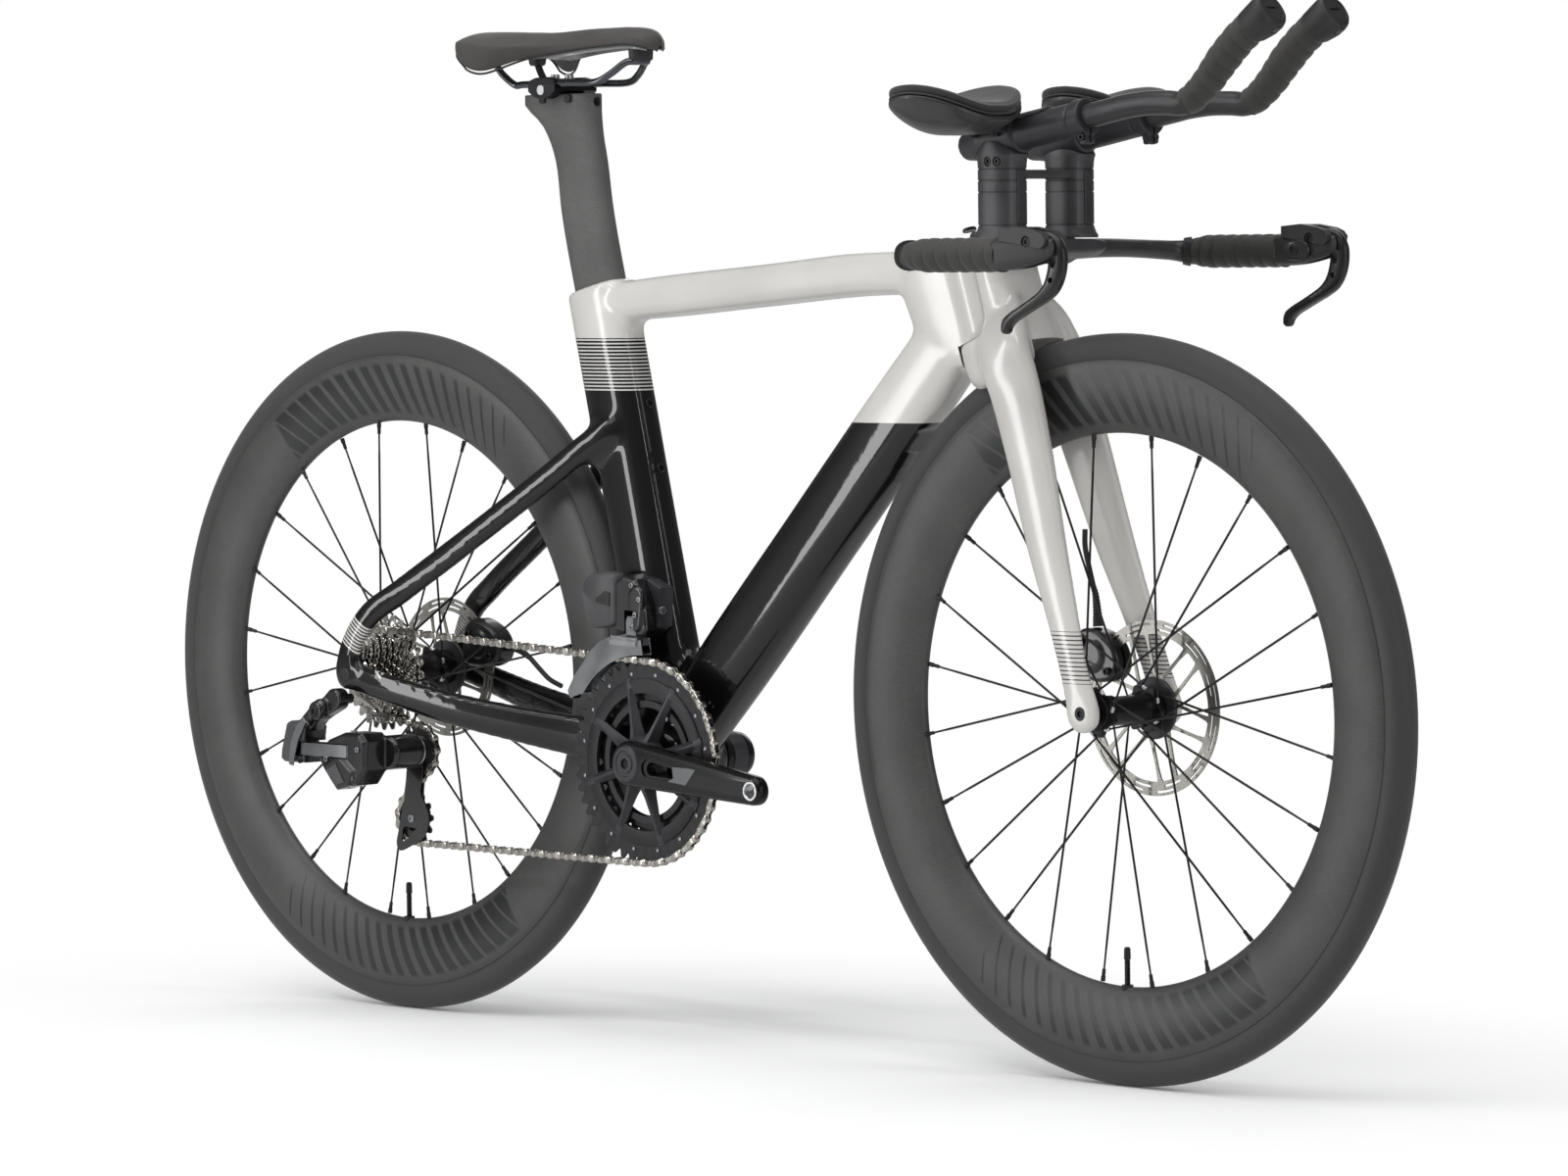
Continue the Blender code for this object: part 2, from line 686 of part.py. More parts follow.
def make_frame():
    return joined(
        "frame",
        "pearl_paint",
        add_seat_tube,
        ("DIFFERENCE", lambda bm: add_wheel_cutter(bm, REAR_X, 60.0)),
        ("UNION", add_top_tube),
        ("UNION", add_down_tube),
        ("DIFFERENCE", lambda bm: add_wheel_cutter(bm, FRONT_X, 60.0)),
        ("UNION", lambda bm: add_steer_cylinder(bm, HEAD_TUBE_BOTTOM_Z, HEAD_TUBE_TOP_Z, HEAD_TUBE_RADIUS)),
        ("UNION", add_head_fairing),
        ("UNION", lambda bm: add_turned(
            bm, BB_X, BB_Z, [(BB_SHELL_RADIUS, -BB_SHELL_HALF_WIDTH), (BB_SHELL_RADIUS, BB_SHELL_HALF_WIDTH)], 12
        )),
        ("UNION", add_stays),
        ("UNION", add_dropouts),
        ("DIFFERENCE", lambda bm: add_hub_space(bm, REAR_X, REAR_HUB_HALF_WIDTH, 20.0)),
        ("UNION", add_hanger),
        ("DIFFERENCE", add_hanger_hole),
        ("UNION", add_bosses),
        ("DIFFERENCE", add_crown_space),
        ("DIFFERENCE", add_top_trim),
        ("DIFFERENCE", add_steerer_bore),
        ("DIFFERENCE", add_bearing_seats),
        ("DIFFERENCE", add_post_socket),
        ("DIFFERENCE", lambda bm: add_axle_holes(bm, REAR_X, REAR_HUB_HALF_WIDTH + 20.0)),
        ("DIFFERENCE", lambda bm: add_turned(bm, BB_X, BB_Z, [(BB_CUP_RADIUS + GAP, -50.0), (BB_CUP_RADIUS + GAP, 50.0)], 12)),
    )


def make_headset():
    for name, low in (("upper_headset_bearing", HEAD_TUBE_TOP_Z), ("lower_headset_bearing", HEAD_TUBE_BOTTOM_Z)):
        rise = BEARING_HEIGHT * math.sin(HEAD_ANGLE)
        start = low - rise if low == HEAD_TUBE_TOP_Z else low
        ends = [steer_point(start), steer_point(start + rise)]

        def bearing(bm, ends=ends):
            bore = 2 * turning_bore(STEERER_RADIUS)
            inner = [oval(p, STEER_AHEAD, SIDE, bore, bore, 12, 2.0) for p in ends]
            outer = [oval(p, STEER_AHEAD, SIDE, 2 * BEARING_RADIUS, 2 * BEARING_RADIUS, 12, 2.0) for p in ends]
            loops = [inner[0], outer[0], outer[1], inner[1]]
            add_ring(bm, [[loop[i] for loop in loops] for i in range(12)])

        simple(name, "steel", bearing)


def make_bottom_bracket():
    flange_y = BB_SHELL_HALF_WIDTH + GAP
    bore = turning_bore(SPINDLE_RADIUS)
    half = [
        (bore, flange_y + 6.5),
        (BB_CUP_RADIUS + 3.5, flange_y + 6.5),
        (BB_CUP_RADIUS + 3.5, flange_y),
        (BB_CUP_RADIUS, flange_y),
    ]
    profile = [(r, -y) for r, y in half] + [(r, y) for r, y in reversed(half)]
    simple("bottom_bracket", "black_anodised", lambda bm: add_turned(bm, BB_X, BB_Z, profile, 12, closed=True))


def make_axle(name, x, half_width):
    """A thru axle: its head bears on the left dropout and its threaded end fills the right one."""
    seat = half_width + DROPOUT_THICKNESS + GAP
    profile = [(AXLE_RADIUS, 1.5 - half_width - DROPOUT_THICKNESS), (AXLE_RADIUS, seat), (9.5, seat), (8.5, seat + 3.5)]
    simple(name, "black_anodised", lambda bm: add_turned(bm, x, AXLE_Z, profile, 12))


# Fork
def fork_leg_stations(side, grow=0.0):
    """Places down a fork leg, from the crown beside the tyre to the dropout below the axle."""
    end_y = FRONT_HUB_HALF_WIDTH + DROPOUT_THICKNESS / 2
    places = [
        (374.0, 33.0, 668.0, 62.0, 24.0),
        (390.0, 35.0, 630.0, 58.0, 22.0),
        (408.0, 38.0, 580.0, 54.0, 20.0),
        (438.0, 45.0, 488.0, 45.0, 16.0),
        (463.0, 50.5, 420.0, 36.0, 12.5),
        (480.0, end_y - 0.5, 372.0, 33.0, DROPOUT_THICKNESS),
        (FRONT_X, end_y, AXLE_Z + 2.0, 37.0, DROPOUT_THICKNESS),
        (FRONT_X + 5.0, end_y, AXLE_Z - 14.0, 26.0, DROPOUT_THICKNESS),
    ]
    return [(x, side * y, z, depth + 2 * grow, width + 2 * grow) for x, y, z, depth, width in places]


def add_fork_legs(bm):
    for side in (-1, 1):
        add_tube(bm, fork_leg_stations(side), 8, 2.6)


def add_fork_dropouts(bm):
    for side in (-1, 1):
        low, high = sorted((side * FRONT_HUB_HALF_WIDTH, side * (FRONT_HUB_HALF_WIDTH + DROPOUT_THICKNESS)))
        add_turned(bm, FRONT_X, AXLE_Z, [(18.0, low), (18.0, high)], 12)


NOSE_TOP_Z = HEAD_TUBE_TOP_Z


def add_nose(bm):
    """The external front half of the steering: a fin that rises from the crown ahead of the head tube."""
    rings = []
    for z, reach, width in ((640.0, 66.0, 62.0), (672.0, 62.0, 60.0), (700.0, NOSE_REACH, 56.0), (NOSE_TOP_Z, NOSE_REACH, 54.0)):
        rings.append(oval(steer_point(z, reach / 2), STEER_AHEAD, SIDE, reach, width, 16, 2.2))
    add_loft(bm, rings)


def add_bar_space(bm):
    """The room over the nose for the stem and the middle of the base bar."""
    step_x, step_z = BAR_X - 38.0, BAR_Z - 11.5
    low, high = HEAD_TUBE_TOP_Z, HEAD_TUBE_TOP_Z + 60.0
    outline = [(200.0, low), (step_x, low), (step_x, step_z), (480.0, step_z), (480.0, high), (200.0, high)]
    add_prism(bm, outline, -60.0, 60.0)


def add_nose_hollow(bm):
    """The space between the nose and the head tube, which the nose turns round."""
    add_steer_cylinder(bm, HEAD_TUBE_BOTTOM_Z - 1.5, NOSE_TOP_Z + 20.0, HEAD_TUBE_RADIUS + STEER_CLEARANCE)
    rear = [steer_point(z, -40.0) for z in (HEAD_TUBE_BOTTOM_Z - 1.5, NOSE_TOP_Z + 20.0)]
    add_loft(bm, [oval(p, STEER_AHEAD, SIDE, 110.0, 120.0, 4, 2.0) for p in rear])


def add_crown(bm):
    rings = []
    for z, radius in ((638.0, 30.0), (652.0, CROWN_RADIUS), (HEAD_TUBE_BOTTOM_Z - 1.5, CROWN_RADIUS)):
        rings.append(oval(steer_point(z), STEER_AHEAD, SIDE, 2 * radius, 2 * radius, 12, 2.0))
    add_loft(bm, rings)


def make_fork():
    half = TYRE_HALF_WIDTH + TYRE_CLEARANCE
    return joined(
        "fork",
        "pearl_paint",
        add_nose,
        ("DIFFERENCE", add_nose_hollow),
        ("DIFFERENCE", add_bar_space),
        ("UNION", add_crown),
        ("UNION", add_fork_legs),
        ("DIFFERENCE", lambda bm: add_wheel_cutter(bm, FRONT_X, half)),
        ("UNION", add_fork_dropouts),
        ("DIFFERENCE", lambda bm: add_hub_space(bm, FRONT_X, FRONT_HUB_HALF_WIDTH, 22.0)),
        ("UNION", lambda bm: add_steer_cylinder(bm, HEAD_TUBE_BOTTOM_Z - 20.0, HEAD_TUBE_TOP_Z + 2.0, STEERER_RADIUS)),
        ("DIFFERENCE", lambda bm: add_axle_holes(bm, FRONT_X, FRONT_HUB_HALF_WIDTH + 20.0)),
    )


# Seatpost and saddle
HEAD_TOP_Z = POST_TOP_Z + 11.0
TILT_Z = CLAMP_Z + 14.0
TILT_RADIUS = TILT_Z - HEAD_TOP_Z + 4.5
CLAMP_HALF_LENGTH = 19.0
CLAMP_HALF_WIDTH = RAIL_HALF_SPACING + 6.0


def add_post(bm):
    """An aero post whose head leans back and widens to carry the saddle clamp."""
    rings = []
    for z in (POST_BOTTOM_Z, POST_TOP_Z - 70.0):
        rings.append(oval(Vector((seat_x(z), 0, z)), SEAT_AHEAD, SIDE, POST_DEPTH, POST_WIDTH, 10))
    for drop, x, depth, width in ((59.0, 20.5, 71.0, 26.0), (31.0, 10.0, 82.0, 28.0), (11.0, 1.0, 98.0, 32.0), (0.0, 1.0, 97.0, 32.0)):
        rings.append(oval(Vector((CLAMP_X + x, 0, HEAD_TOP_Z - drop)), Vector((1, 0, 0)), SIDE, depth, width, 10, 2.8))
    add_loft(bm, rings)


def add_tilt_barrel(bm, radius, half_width):
    add_turned(bm, CLAMP_X, TILT_Z, [(radius, -half_width), (radius, half_width)], 32)


def add_rail_bores(bm):
    for side in (-1, 1):
        ends = [(CLAMP_X + reach, side * RAIL_HALF_SPACING, CLAMP_Z) for reach in (-60.0, 60.0)]
        add_cylinder(bm, ends[0], ends[1], RAIL_RADIUS + GAP, 12)


def clamp_box(bm, low_z, high_z):
    x, y = CLAMP_HALF_LENGTH, CLAMP_HALF_WIDTH
    corners = [(CLAMP_X - x, low_z), (CLAMP_X + x, low_z), (CLAMP_X + x, high_z), (CLAMP_X - x, high_z)]
    add_prism(bm, corners, -y, y)


def make_seatpost():
    joined(
        "seatpost",
        "matte_carbon",
        add_post,
        ("DIFFERENCE", lambda bm: add_tilt_barrel(bm, TILT_RADIUS, 40.0)),
    )
    joined(
        "saddle_cradle",
        "black_anodised",
        lambda bm: clamp_box(bm, HEAD_TOP_Z - 10.0, CLAMP_Z - GAP),
        ("INTERSECT", lambda bm: add_tilt_barrel(bm, TILT_RADIUS - GAP, 40.0)),
        ("DIFFERENCE", add_rail_bores),
    )
    joined(
        "saddle_clamp_cap",
        "black_anodised",
        lambda bm: clamp_box(bm, CLAMP_Z + GAP, CLAMP_Z + 6.0),
        ("DIFFERENCE", add_rail_bores),
    )


SADDLE_LENGTH = SADDLE_NOSE_X - SADDLE_REAR_X
COVER_THICKNESS = 14.0
SHELL_THICKNESS = 2.6
TAIL_SOCKET_X = CLAMP_X - 66.0
NOSE_SOCKET_X = CLAMP_X + 112.0
SOCKET_DROP = 12.0


def saddle_outline(share):
    """Half-width, crown height and edge drop at a share of the way from the tail to the nose."""
    tail = max(0.0, 1 - (share / 0.32) ** 2)
    waist = SADDLE_HALF_WIDTH * (0.27 + 0.73 / (1 + math.exp((share - 0.34) * 15)))
    round_nose = math.sqrt(max(0.0, 1 - ((share - 0.9) / 0.105) ** 2)) if share > 0.9 else 1.0
    round_tail = math.sqrt(max(0.12, 1 - ((0.1 - share) / 0.108) ** 2)) if share < 0.1 else 1.0
    half = waist * max(0.25, round_nose) * max(0.55, round_tail)
    crown = SADDLE_TOP_Z + 4.0 * tail - 8.0 * max(0.0, share - 0.75) / 0.25
    drop = 8.0 + 10.0 * (1 - share)
    return half, crown, drop


def saddle_height(share, across):
    """Height of the top surface: crowned, dropped at its edges, with a long channel down the middle."""
    _, crown, drop = saddle_outline(share)
    channel = math.exp(-((across / 0.2) ** 2)) * 6.0 * math.sin(math.pi * min(1.0, max(0.0, (share - 0.04) / 0.88)))
    return crown - drop * abs(across) ** 2.6 - channel


def saddle_base(share, across):
    """Height of the cushion's underside, which the shell follows."""
    _, crown, drop = saddle_outline(share)
    return crown - drop * abs(across) ** 2.6 - COVER_THICKNESS + 5.0 * share


def saddle_ring(share, across_points):
    """A closed cross-section of the cushion."""
    half = saddle_outline(share)[0]
    x = SADDLE_REAR_X + share * SADDLE_LENGTH
    top = [Vector((x, half * t, saddle_height(share, t))) for t in across_points]
    base = [Vector((x, (half - 3.0) * t, saddle_base(share, t))) for t in reversed(across_points[1:-1:2])]
    return top + base


ACROSS = [-1.0, -0.93, -0.75, -0.45, -0.18, 0.0, 0.18, 0.45, 0.75, 0.93, 1.0]


SADDLE_SHARES = [0.0, 0.04, 0.12, 0.26, 0.4, 0.54, 0.7, 0.86, 0.95, 1.0]


def add_saddle_cover(bm):
    rings = []
    for share in SADDLE_SHARES:
        ring = saddle_ring(share, ACROSS)
        ring[0].z -= 7.0
        ring[10].z -= 7.0
        rings.append(ring)
    add_loft(bm, rings)


def add_saddle_shell(bm):
    """The hard base under the cushion, which holds the rails' ends."""
    rings = []
    for share in SADDLE_SHARES[1:-1]:
        half = 0.93 * (saddle_outline(share)[0] - 3.0)
        x = SADDLE_REAR_X + share * SADDLE_LENGTH
        ring = []
        for low in (0, 1):
            places = (-0.93, -0.45, 0.0, 0.45, 0.93)
            for t in reversed(places) if low else places:
                ring.append(Vector((x, half * t, saddle_base(share, t) - 6 * GAP - low * SHELL_THICKNESS)))
        rings.append(ring)
    add_loft(bm, rings)


def rail_route():
    """Half of the rails, from the tail pocket to the nose."""
    s = RAIL_HALF_SPACING
    return [
        (TAIL_SOCKET_X, s + 6.0, CLAMP_Z + 22.0),
        (CLAMP_X - 58.0, s + 4.0, CLAMP_Z + 11.0),
        (CLAMP_X - 44.0, s, CLAMP_Z),
        (CLAMP_X - 30.0, s, CLAMP_Z),
        (CLAMP_X + 30.0, s, CLAMP_Z),
        (CLAMP_X + 70.0, s, CLAMP_Z),
        (CLAMP_X + 88.0, s - 3.0, CLAMP_Z + 7.0),
        (CLAMP_X + 104.0, s - 9.0, CLAMP_Z + 18.0),
        (NOSE_SOCKET_X, s - 15.0, CLAMP_Z + 19.0),
    ]


def add_rails(bm, radius=RAIL_RADIUS):
    half = [Vector(p) for p in rail_route()]
    mirrored = [Vector((p.x, -p.y, p.z)) for p in reversed(half)]
    add_round_bar(bm, half + mirrored, radius, 6)


def add_rail_socket(bm, x, y, half_width):
    """A block under the shell that holds the end of a rail."""
    share = (x - SADDLE_REAR_X) / SADDLE_LENGTH
    outer = (abs(y) + half_width) / (saddle_outline(share)[0] - 3.0)
    top = saddle_base(share, outer) - 2.4
    rings = []
    for z in (top - SOCKET_DROP, top):
        rings.append([Vector((x + 6.0 * u, y + half_width * v, z)) for u, v in ((-1, -1), (1, -1), (1, 1), (-1, 1))])
    add_loft(bm, rings)


def make_saddle():
    simple("saddle_rails", "satin_aluminium", add_rails)
    tail_y = RAIL_HALF_SPACING + 6.0
    joined(
        "saddle_shell",
        "matte_black",
        add_saddle_shell,
        ("UNION", lambda bm: add_rail_socket(bm, TAIL_SOCKET_X, tail_y, 6.5)),
        ("UNION", lambda bm: add_rail_socket(bm, TAIL_SOCKET_X, -tail_y, 6.5)),
        ("UNION", lambda bm: add_rail_socket(bm, NOSE_SOCKET_X, 0.0, 6.5)),
        ("DIFFERENCE", lambda bm: add_rails(bm, RAIL_RADIUS + GAP)),
    )
    simple("saddle_cover", "saddle_cover", add_saddle_cover)


# Cockpit
STEM_BOTTOM_Z = HEAD_TUBE_TOP_Z + 1.5
STEM_TOP_Z = 774.0
DECK_Z = TOWER_BOTTOM_Z - GAP
RISER_TOP_Z = 843.0
CLAMP_RADIUS = 18.0
ARM_X = 386.0
ARM_AXIS_Z = 857.0
COLLAR_X = 486.0
BEND_X = 606.0
GRIP_ROUTE = [(616, 886), (634, 901), (652, 921), (672, 939), (690, 951)]


def arm_z(x):
    """Height of the forearm extension's centre line over its straight part."""
    return ARM_AXIS_Z + (x - ARM_X) * math.tan(EXTENSION_SLOPE)


def extension_y(side):
    return side * 42.0


def add_bar(bm):
    """The base bar: a flat wing that turns forward into the two grips."""
    half = [
        (BAR_X - 4, 40, BAR_Z - 1.5, 30, 19),
        (BAR_X, 70, BAR_Z - 0.7, 24, 18),
        (BAR_X, 160, BAR_Z - 3, 22, 18),
        (BAR_X + 4, 176, BAR_Z - 4, 23, 19),
        (BAR_X + 12, 184, BAR_Z - 5, 24, 22),
        (BAR_X + 22, 187, BAR_Z - 5, 27, 26),
    ]
    left = [Vector(s[:3]) for s in half]
    route = [Vector((p.x, -p.y, p.z)) for p in reversed(left)] + left
    sizes = [s[3:] for s in reversed(half)] + [s[3:] for s in half]
    rings = []
    for i, centre in enumerate(route):
        along = (route[min(i + 1, len(route) - 1)] - route[max(i - 1, 0)]).normalized()
        up = Vector((0, 0, 1)) - along * along.z
        up.normalize()
        rings.append(oval(centre, along.cross(up), up, sizes[i][0], sizes[i][1], 8, 2.2))
    add_loft(bm, rings)


def add_bar_grip(bm, side):
    y = side * BAR_HALF_WIDTH
    points = [(BAR_X + 14, y - side * 1.5, GRIP_Z), (BAR_X + 40, y, GRIP_Z), (GRIP_END_X, y, GRIP_Z)]
    radii = [GRIP_RADIUS - 1.5, GRIP_RADIUS, GRIP_RADIUS]
    add_round_bar(bm, [Vector(p) for p in points], radii, 12)


def add_stem(bm):
    """The flat stem runs from over the head tube to the middle of the bar, under the two towers."""
    top_x = steer_x(STEM_TOP_Z)
    sections = [
        (top_x - 42, STEM_BOTTOM_Z, 26),
        (top_x - 28, STEM_BOTTOM_Z, 46),
        (top_x + 30, STEM_BOTTOM_Z, 54),
        (BAR_X - 37.5, STEM_BOTTOM_Z, 92),
        (BAR_X - 35, BAR_Z - 8, 104),
        (BAR_X - 18, BAR_Z - 10, 134),
        (BAR_X + 18, BAR_Z - 10, 134),
        (BAR_X + 27, BAR_Z - 4, 120),
    ]
    rings = []
    for x, low, width in sections:
        high = DECK_Z if x > BAR_X - 40 else STEM_TOP_Z
        w = width / 2
        rings.append([Vector((x, y, z)) for y, z in ((-w, low + 4), (-w + 4, low), (w - 4, low), (w, low + 4), (w, high - 3), (w - 4, high), (-w + 4, high), (-w, high - 3))])
    add_loft(bm, rings)


def add_steerer_socket(bm):
    """A blind bore that the fork's steerer fills, so that bar and fork turn as one."""
    add_steer_cylinder(bm, STEM_BOTTOM_Z - 6, STEM_TOP_Z - 6, STEERER_RADIUS + GAP)


def add_head_space(bm):
    """The room under the stem that the slanted top of the head tube turns in."""
    add_steer_cylinder(bm, HEAD_TUBE_TOP_Z - 60, STEM_BOTTOM_Z, HEAD_TUBE_RADIUS + 3.0)


def make_base_bar():
    joined(
        "base_bar",
        "matte_carbon",
        add_bar,
        ("UNION", add_stem),
        ("UNION", lambda bm: add_bar_grip(bm, 1)),
        ("UNION", lambda bm: add_bar_grip(bm, -1)),
        ("DIFFERENCE", add_steerer_socket),
        ("DIFFERENCE", add_head_space),
    )


def side_name(side):
    return "left" if side > 0 else "right"


def add_tower(bm, side):
    """A flared foot, an aero column, two spacers and a head that cradles the extension clamp."""
    rings = []
    for z, depth, width in (
        (TOWER_BOTTOM_Z, TOWER_DEPTH + 10, TOWER_WIDTH + 6),
        (TOWER_BOTTOM_Z + 5, TOWER_DEPTH + 8, TOWER_WIDTH + 5),
        (TOWER_BOTTOM_Z + 13, TOWER_DEPTH, TOWER_WIDTH),
        (TOWER_TOP_Z - 10.0, TOWER_DEPTH, TOWER_WIDTH),
        (RISER_TOP_Z + 10.0, TOWER_DEPTH, TOWER_WIDTH),
    ):
        rings.append(oval(Vector((TOWER_X, side * TOWER_Y, z)), Vector((1, 0, 0)), SIDE, depth, width, 12, 2.2))
    add_loft(bm, rings)


def add_arm_cylinder(bm, side, start_x, end_x, radius, count=12):
    y = extension_y(side)
    add_cylinder(bm, (start_x, y, arm_z(start_x)), (end_x, y, arm_z(end_x)), radius, count)


def add_bridge(bm, grow=0.0):
    """A plate between the towers, held under each tower's head."""
    low, high = TOWER_TOP_Z - 9.0 - grow, TOWER_TOP_Z - 1.0 + grow
    for x in (TOWER_X - 12.0, TOWER_X + 12.0):
        w = 3.5 + grow
        add_prism(bm, [(x - w, low), (x + w, low), (x + w, high), (x - w, high)], -TOWER_Y + 8 - grow, TOWER_Y - 8 + grow)


def add_bridge_tie(bm, grow=0.0):
    low, high = TOWER_TOP_Z - 9.0 - grow, TOWER_TOP_Z - 1.0 + grow
    x = TOWER_X
    add_prism(bm, [(x - 14, low), (x + 14, low), (x + 14, high), (x - 14, high)], -4.0, 4.0)


def make_towers():
    for side in (1, -1):
        joined(
            side_name(side) + "_tower",
            "matte_carbon",
            lambda bm, side=side: add_tower(bm, side),
            ("DIFFERENCE", lambda bm, side=side: add_arm_cylinder(bm, side, ARM_X - 60, ARM_X + 60, CLAMP_RADIUS + 2 * GAP)),
            ("DIFFERENCE", lambda bm: add_bridge(bm, GAP)),
        )
    joined(
        "tower_bridge",
        "black_anodised",
        add_bridge,
        ("UNION", add_bridge_tie),
    )


def add_clamp_shell(bm, side):
    """The extension clamp: a long sleeve whose tail rests in the tower and whose nose is a split collar."""
    y = extension_y(side)
    ahead = Vector((-math.sin(EXTENSION_SLOPE), 0, math.cos(EXTENSION_SLOPE)))
    rings = []
    for x, height, width in (
        (ARM_X - 46, 25.0, 25.0),
        (ARM_X - 24, 35.0, 35.0),
        (ARM_X + 24, 36.0, 36.0),
        (ARM_X + 40, 32.0, 32.0),
        (COLLAR_X + 5, 30.0, 30.0),
    ):
        rings.append(oval(Vector((x, y, arm_z(x))), ahead, SIDE, height, width, 12, 2.0))
    add_loft(bm, rings)


def add_collar_ear(bm, side):
    """The two lugs under the split collar, with the slit between them."""
    y = extension_y(side)
    z = arm_z(COLLAR_X)
    add_prism(bm, [(COLLAR_X - 7, z - 25), (COLLAR_X + 5, z - 25), (COLLAR_X + 5, z - 8), (COLLAR_X - 7, z - 8)], y - 6, y + 6)


def add_collar_slit(bm, side):
    y = extension_y(side)
    z = arm_z(COLLAR_X)
    add_prism(bm, [(COLLAR_X - 22, z - 40), (COLLAR_X + 12, z - 40), (COLLAR_X + 12, z), (COLLAR_X - 22, z)], y - 1, y + 1)


def add_cup_arm(bm, side):
    """The plate that reaches from over the clamp to under the arm cup."""
    low_y, high_y = sorted((side * 34.0, side * (PAD_Y + 10.0)))
    z = cup_base_z() - GAP
    x = PAD_X - 4.0
    add_prism(bm, [(x - 26, z - 9), (x + 26, z - 9), (x + 26, z), (x - 26, z)], low_y, high_y)


def cup_base_z():
    return arm_z(PAD_X) + 18.0


def arm_route():
    """The forearm extension's centre line, from its rear end to the pod."""
    straight = [(x, arm_z(x)) for x in (ARM_X - 40, BEND_X - 14)]
    return straight + GRIP_ROUTE + [(GRIP_ROUTE[-1][0] + 6.0, GRIP_ROUTE[-1][1] + 4.2)]


def add_extension(bm, side):
    y = extension_y(side)
    start = arm_route()
    points = [Vector((start[0][0], y, start[0][1]))]
    points += smooth_route([(x, y, z) for x, z in start[1:]], 21.0)
    radii = []
    for p in points:
        radii.append(EXTENSION_RADIUS if p.x < GRIP_ROUTE[0][0] - 2 else GRIP_RADIUS)
    add_round_bar(bm, points, radii, 10)


def pod_axis():
    start, end = [Vector((x, 0, z)) for x, z in arm_route()[-2:]]
    return end, (end - start).normalized()


def add_pod(bm, side):
    """The end cap of a grip, with a flat rim round its face."""
    foot, along = pod_axis()
    foot = foot + SIDE * extension_y(side)
    route = [foot + along * d for d in (0.6, 2.4, 13.0, 15.5)]
    add_round_bar(bm, route, [15.0, 16.0, 15.5, 12.0], 10)


def add_button_well(bm, side, radius=4.3, depth=6.0):
    """A round well in the underside of the pod."""
    foot, along = pod_axis()
    down = Vector((along.z, 0, -along.x))
    centre = foot + along * 8.0 + SIDE * extension_y(side)
    add_round_bar(bm, [centre + down * (16.0 - depth), centre + down * 24.0], radius, 8)


def add_button(bm, side):
    foot, along = pod_axis()
    down = Vector((along.z, 0, -along.x))
    centre = foot + along * 8.0 + SIDE * extension_y(side)
    add_round_bar(bm, [centre + down * 12.0, centre + down * 18.5, centre + down * 19.5], [4.0, 4.0, 3.2], 8)


def make_extensions():
    for side in (1, -1):
        name = side_name(side)
        joined(
            name + "_extension_clamp",
            "black_anodised",
            lambda bm, side=side: add_clamp_shell(bm, side),
            ("UNION", lambda bm, side=side: add_collar_ear(bm, side)),
            ("UNION", lambda bm, side=side: add_cup_arm(bm, side)),
            ("DIFFERENCE", lambda bm, side=side: add_arm_cylinder(bm, side, ARM_X - 70, COLLAR_X + 40, EXTENSION_RADIUS + 1.5 * GAP, 10)),
            ("DIFFERENCE", lambda bm, side=side: add_collar_slit(bm, side)),
        )
        joined(name + "_extension", "matte_carbon", lambda bm, side=side: add_extension(bm, side))
        joined(
            name + "_grip_pod",
            "matte_black",
            lambda bm, side=side: add_pod(bm, side),
            ("DIFFERENCE", lambda bm, side=side: add_button_well(bm, side)),
        )
        joined(name + "_shift_button", "black_anodised", lambda bm, side=side: add_button(bm, side))


def cup_height(u, v):
    """Rise of the arm cup over its base: a trough along X whose sides and tail curve up."""
    return 24.0 * max(0.0, abs(v) - 0.2) ** 1.9 + 8.0 * max(0.0, -u - 0.25) ** 2


def cup_plan(u, v, side):
    """A place on the cup: u runs from the tail to the front, v across, both from -1 to 1."""
    half = PAD_HALF_WIDTH * (1 - 0.16 * max(0.0, u))
    return PAD_X + u * PAD_HALF_LENGTH, side * PAD_Y + v * half


def add_cup(bm, side, low, high, shrink, us, vs):
    """A curved sheet between two heights over the cup's base, with clipped corners."""
    rings = []
    for u in us:
        narrow = 1.0 if abs(u) < 0.99 else 0.86
        tops = []
        for v in vs:
            x, y = cup_plan(u * shrink, v * narrow * shrink, side)
            tops.append(Vector((x, y, cup_base_z() + cup_height(u * shrink, v * narrow * shrink))))
        ring = [p + Vector((0, 0, high)) for p in tops] + [p + Vector((0, 0, low)) for p in reversed(tops)]
        rings.append(ring)
    add_loft(bm, rings)


def make_arm_rests():
    us = [-1.0, -0.85, -0.25, 0.85, 1.0]
    vs = [-1.0, -0.6, -0.2, 0.2, 0.6, 1.0]
    for side in (1, -1):
        name = side_name(side)
        simple(name + "_arm_cup", "matte_black", lambda bm, side=side: add_cup(bm, side, 0.0, CUP_THICKNESS, 1.0, us, vs))
        low = CUP_THICKNESS + 3.3 * GAP
        simple(name + "_arm_pad", "foam_pad", lambda bm, side=side: add_cup(bm, side, low, low + PAD_THICKNESS, 1.0, us, vs))


# Brake levers
LEVER_BODY_END = 592.0


def bar_y(side):
    return side * BAR_HALF_WIDTH


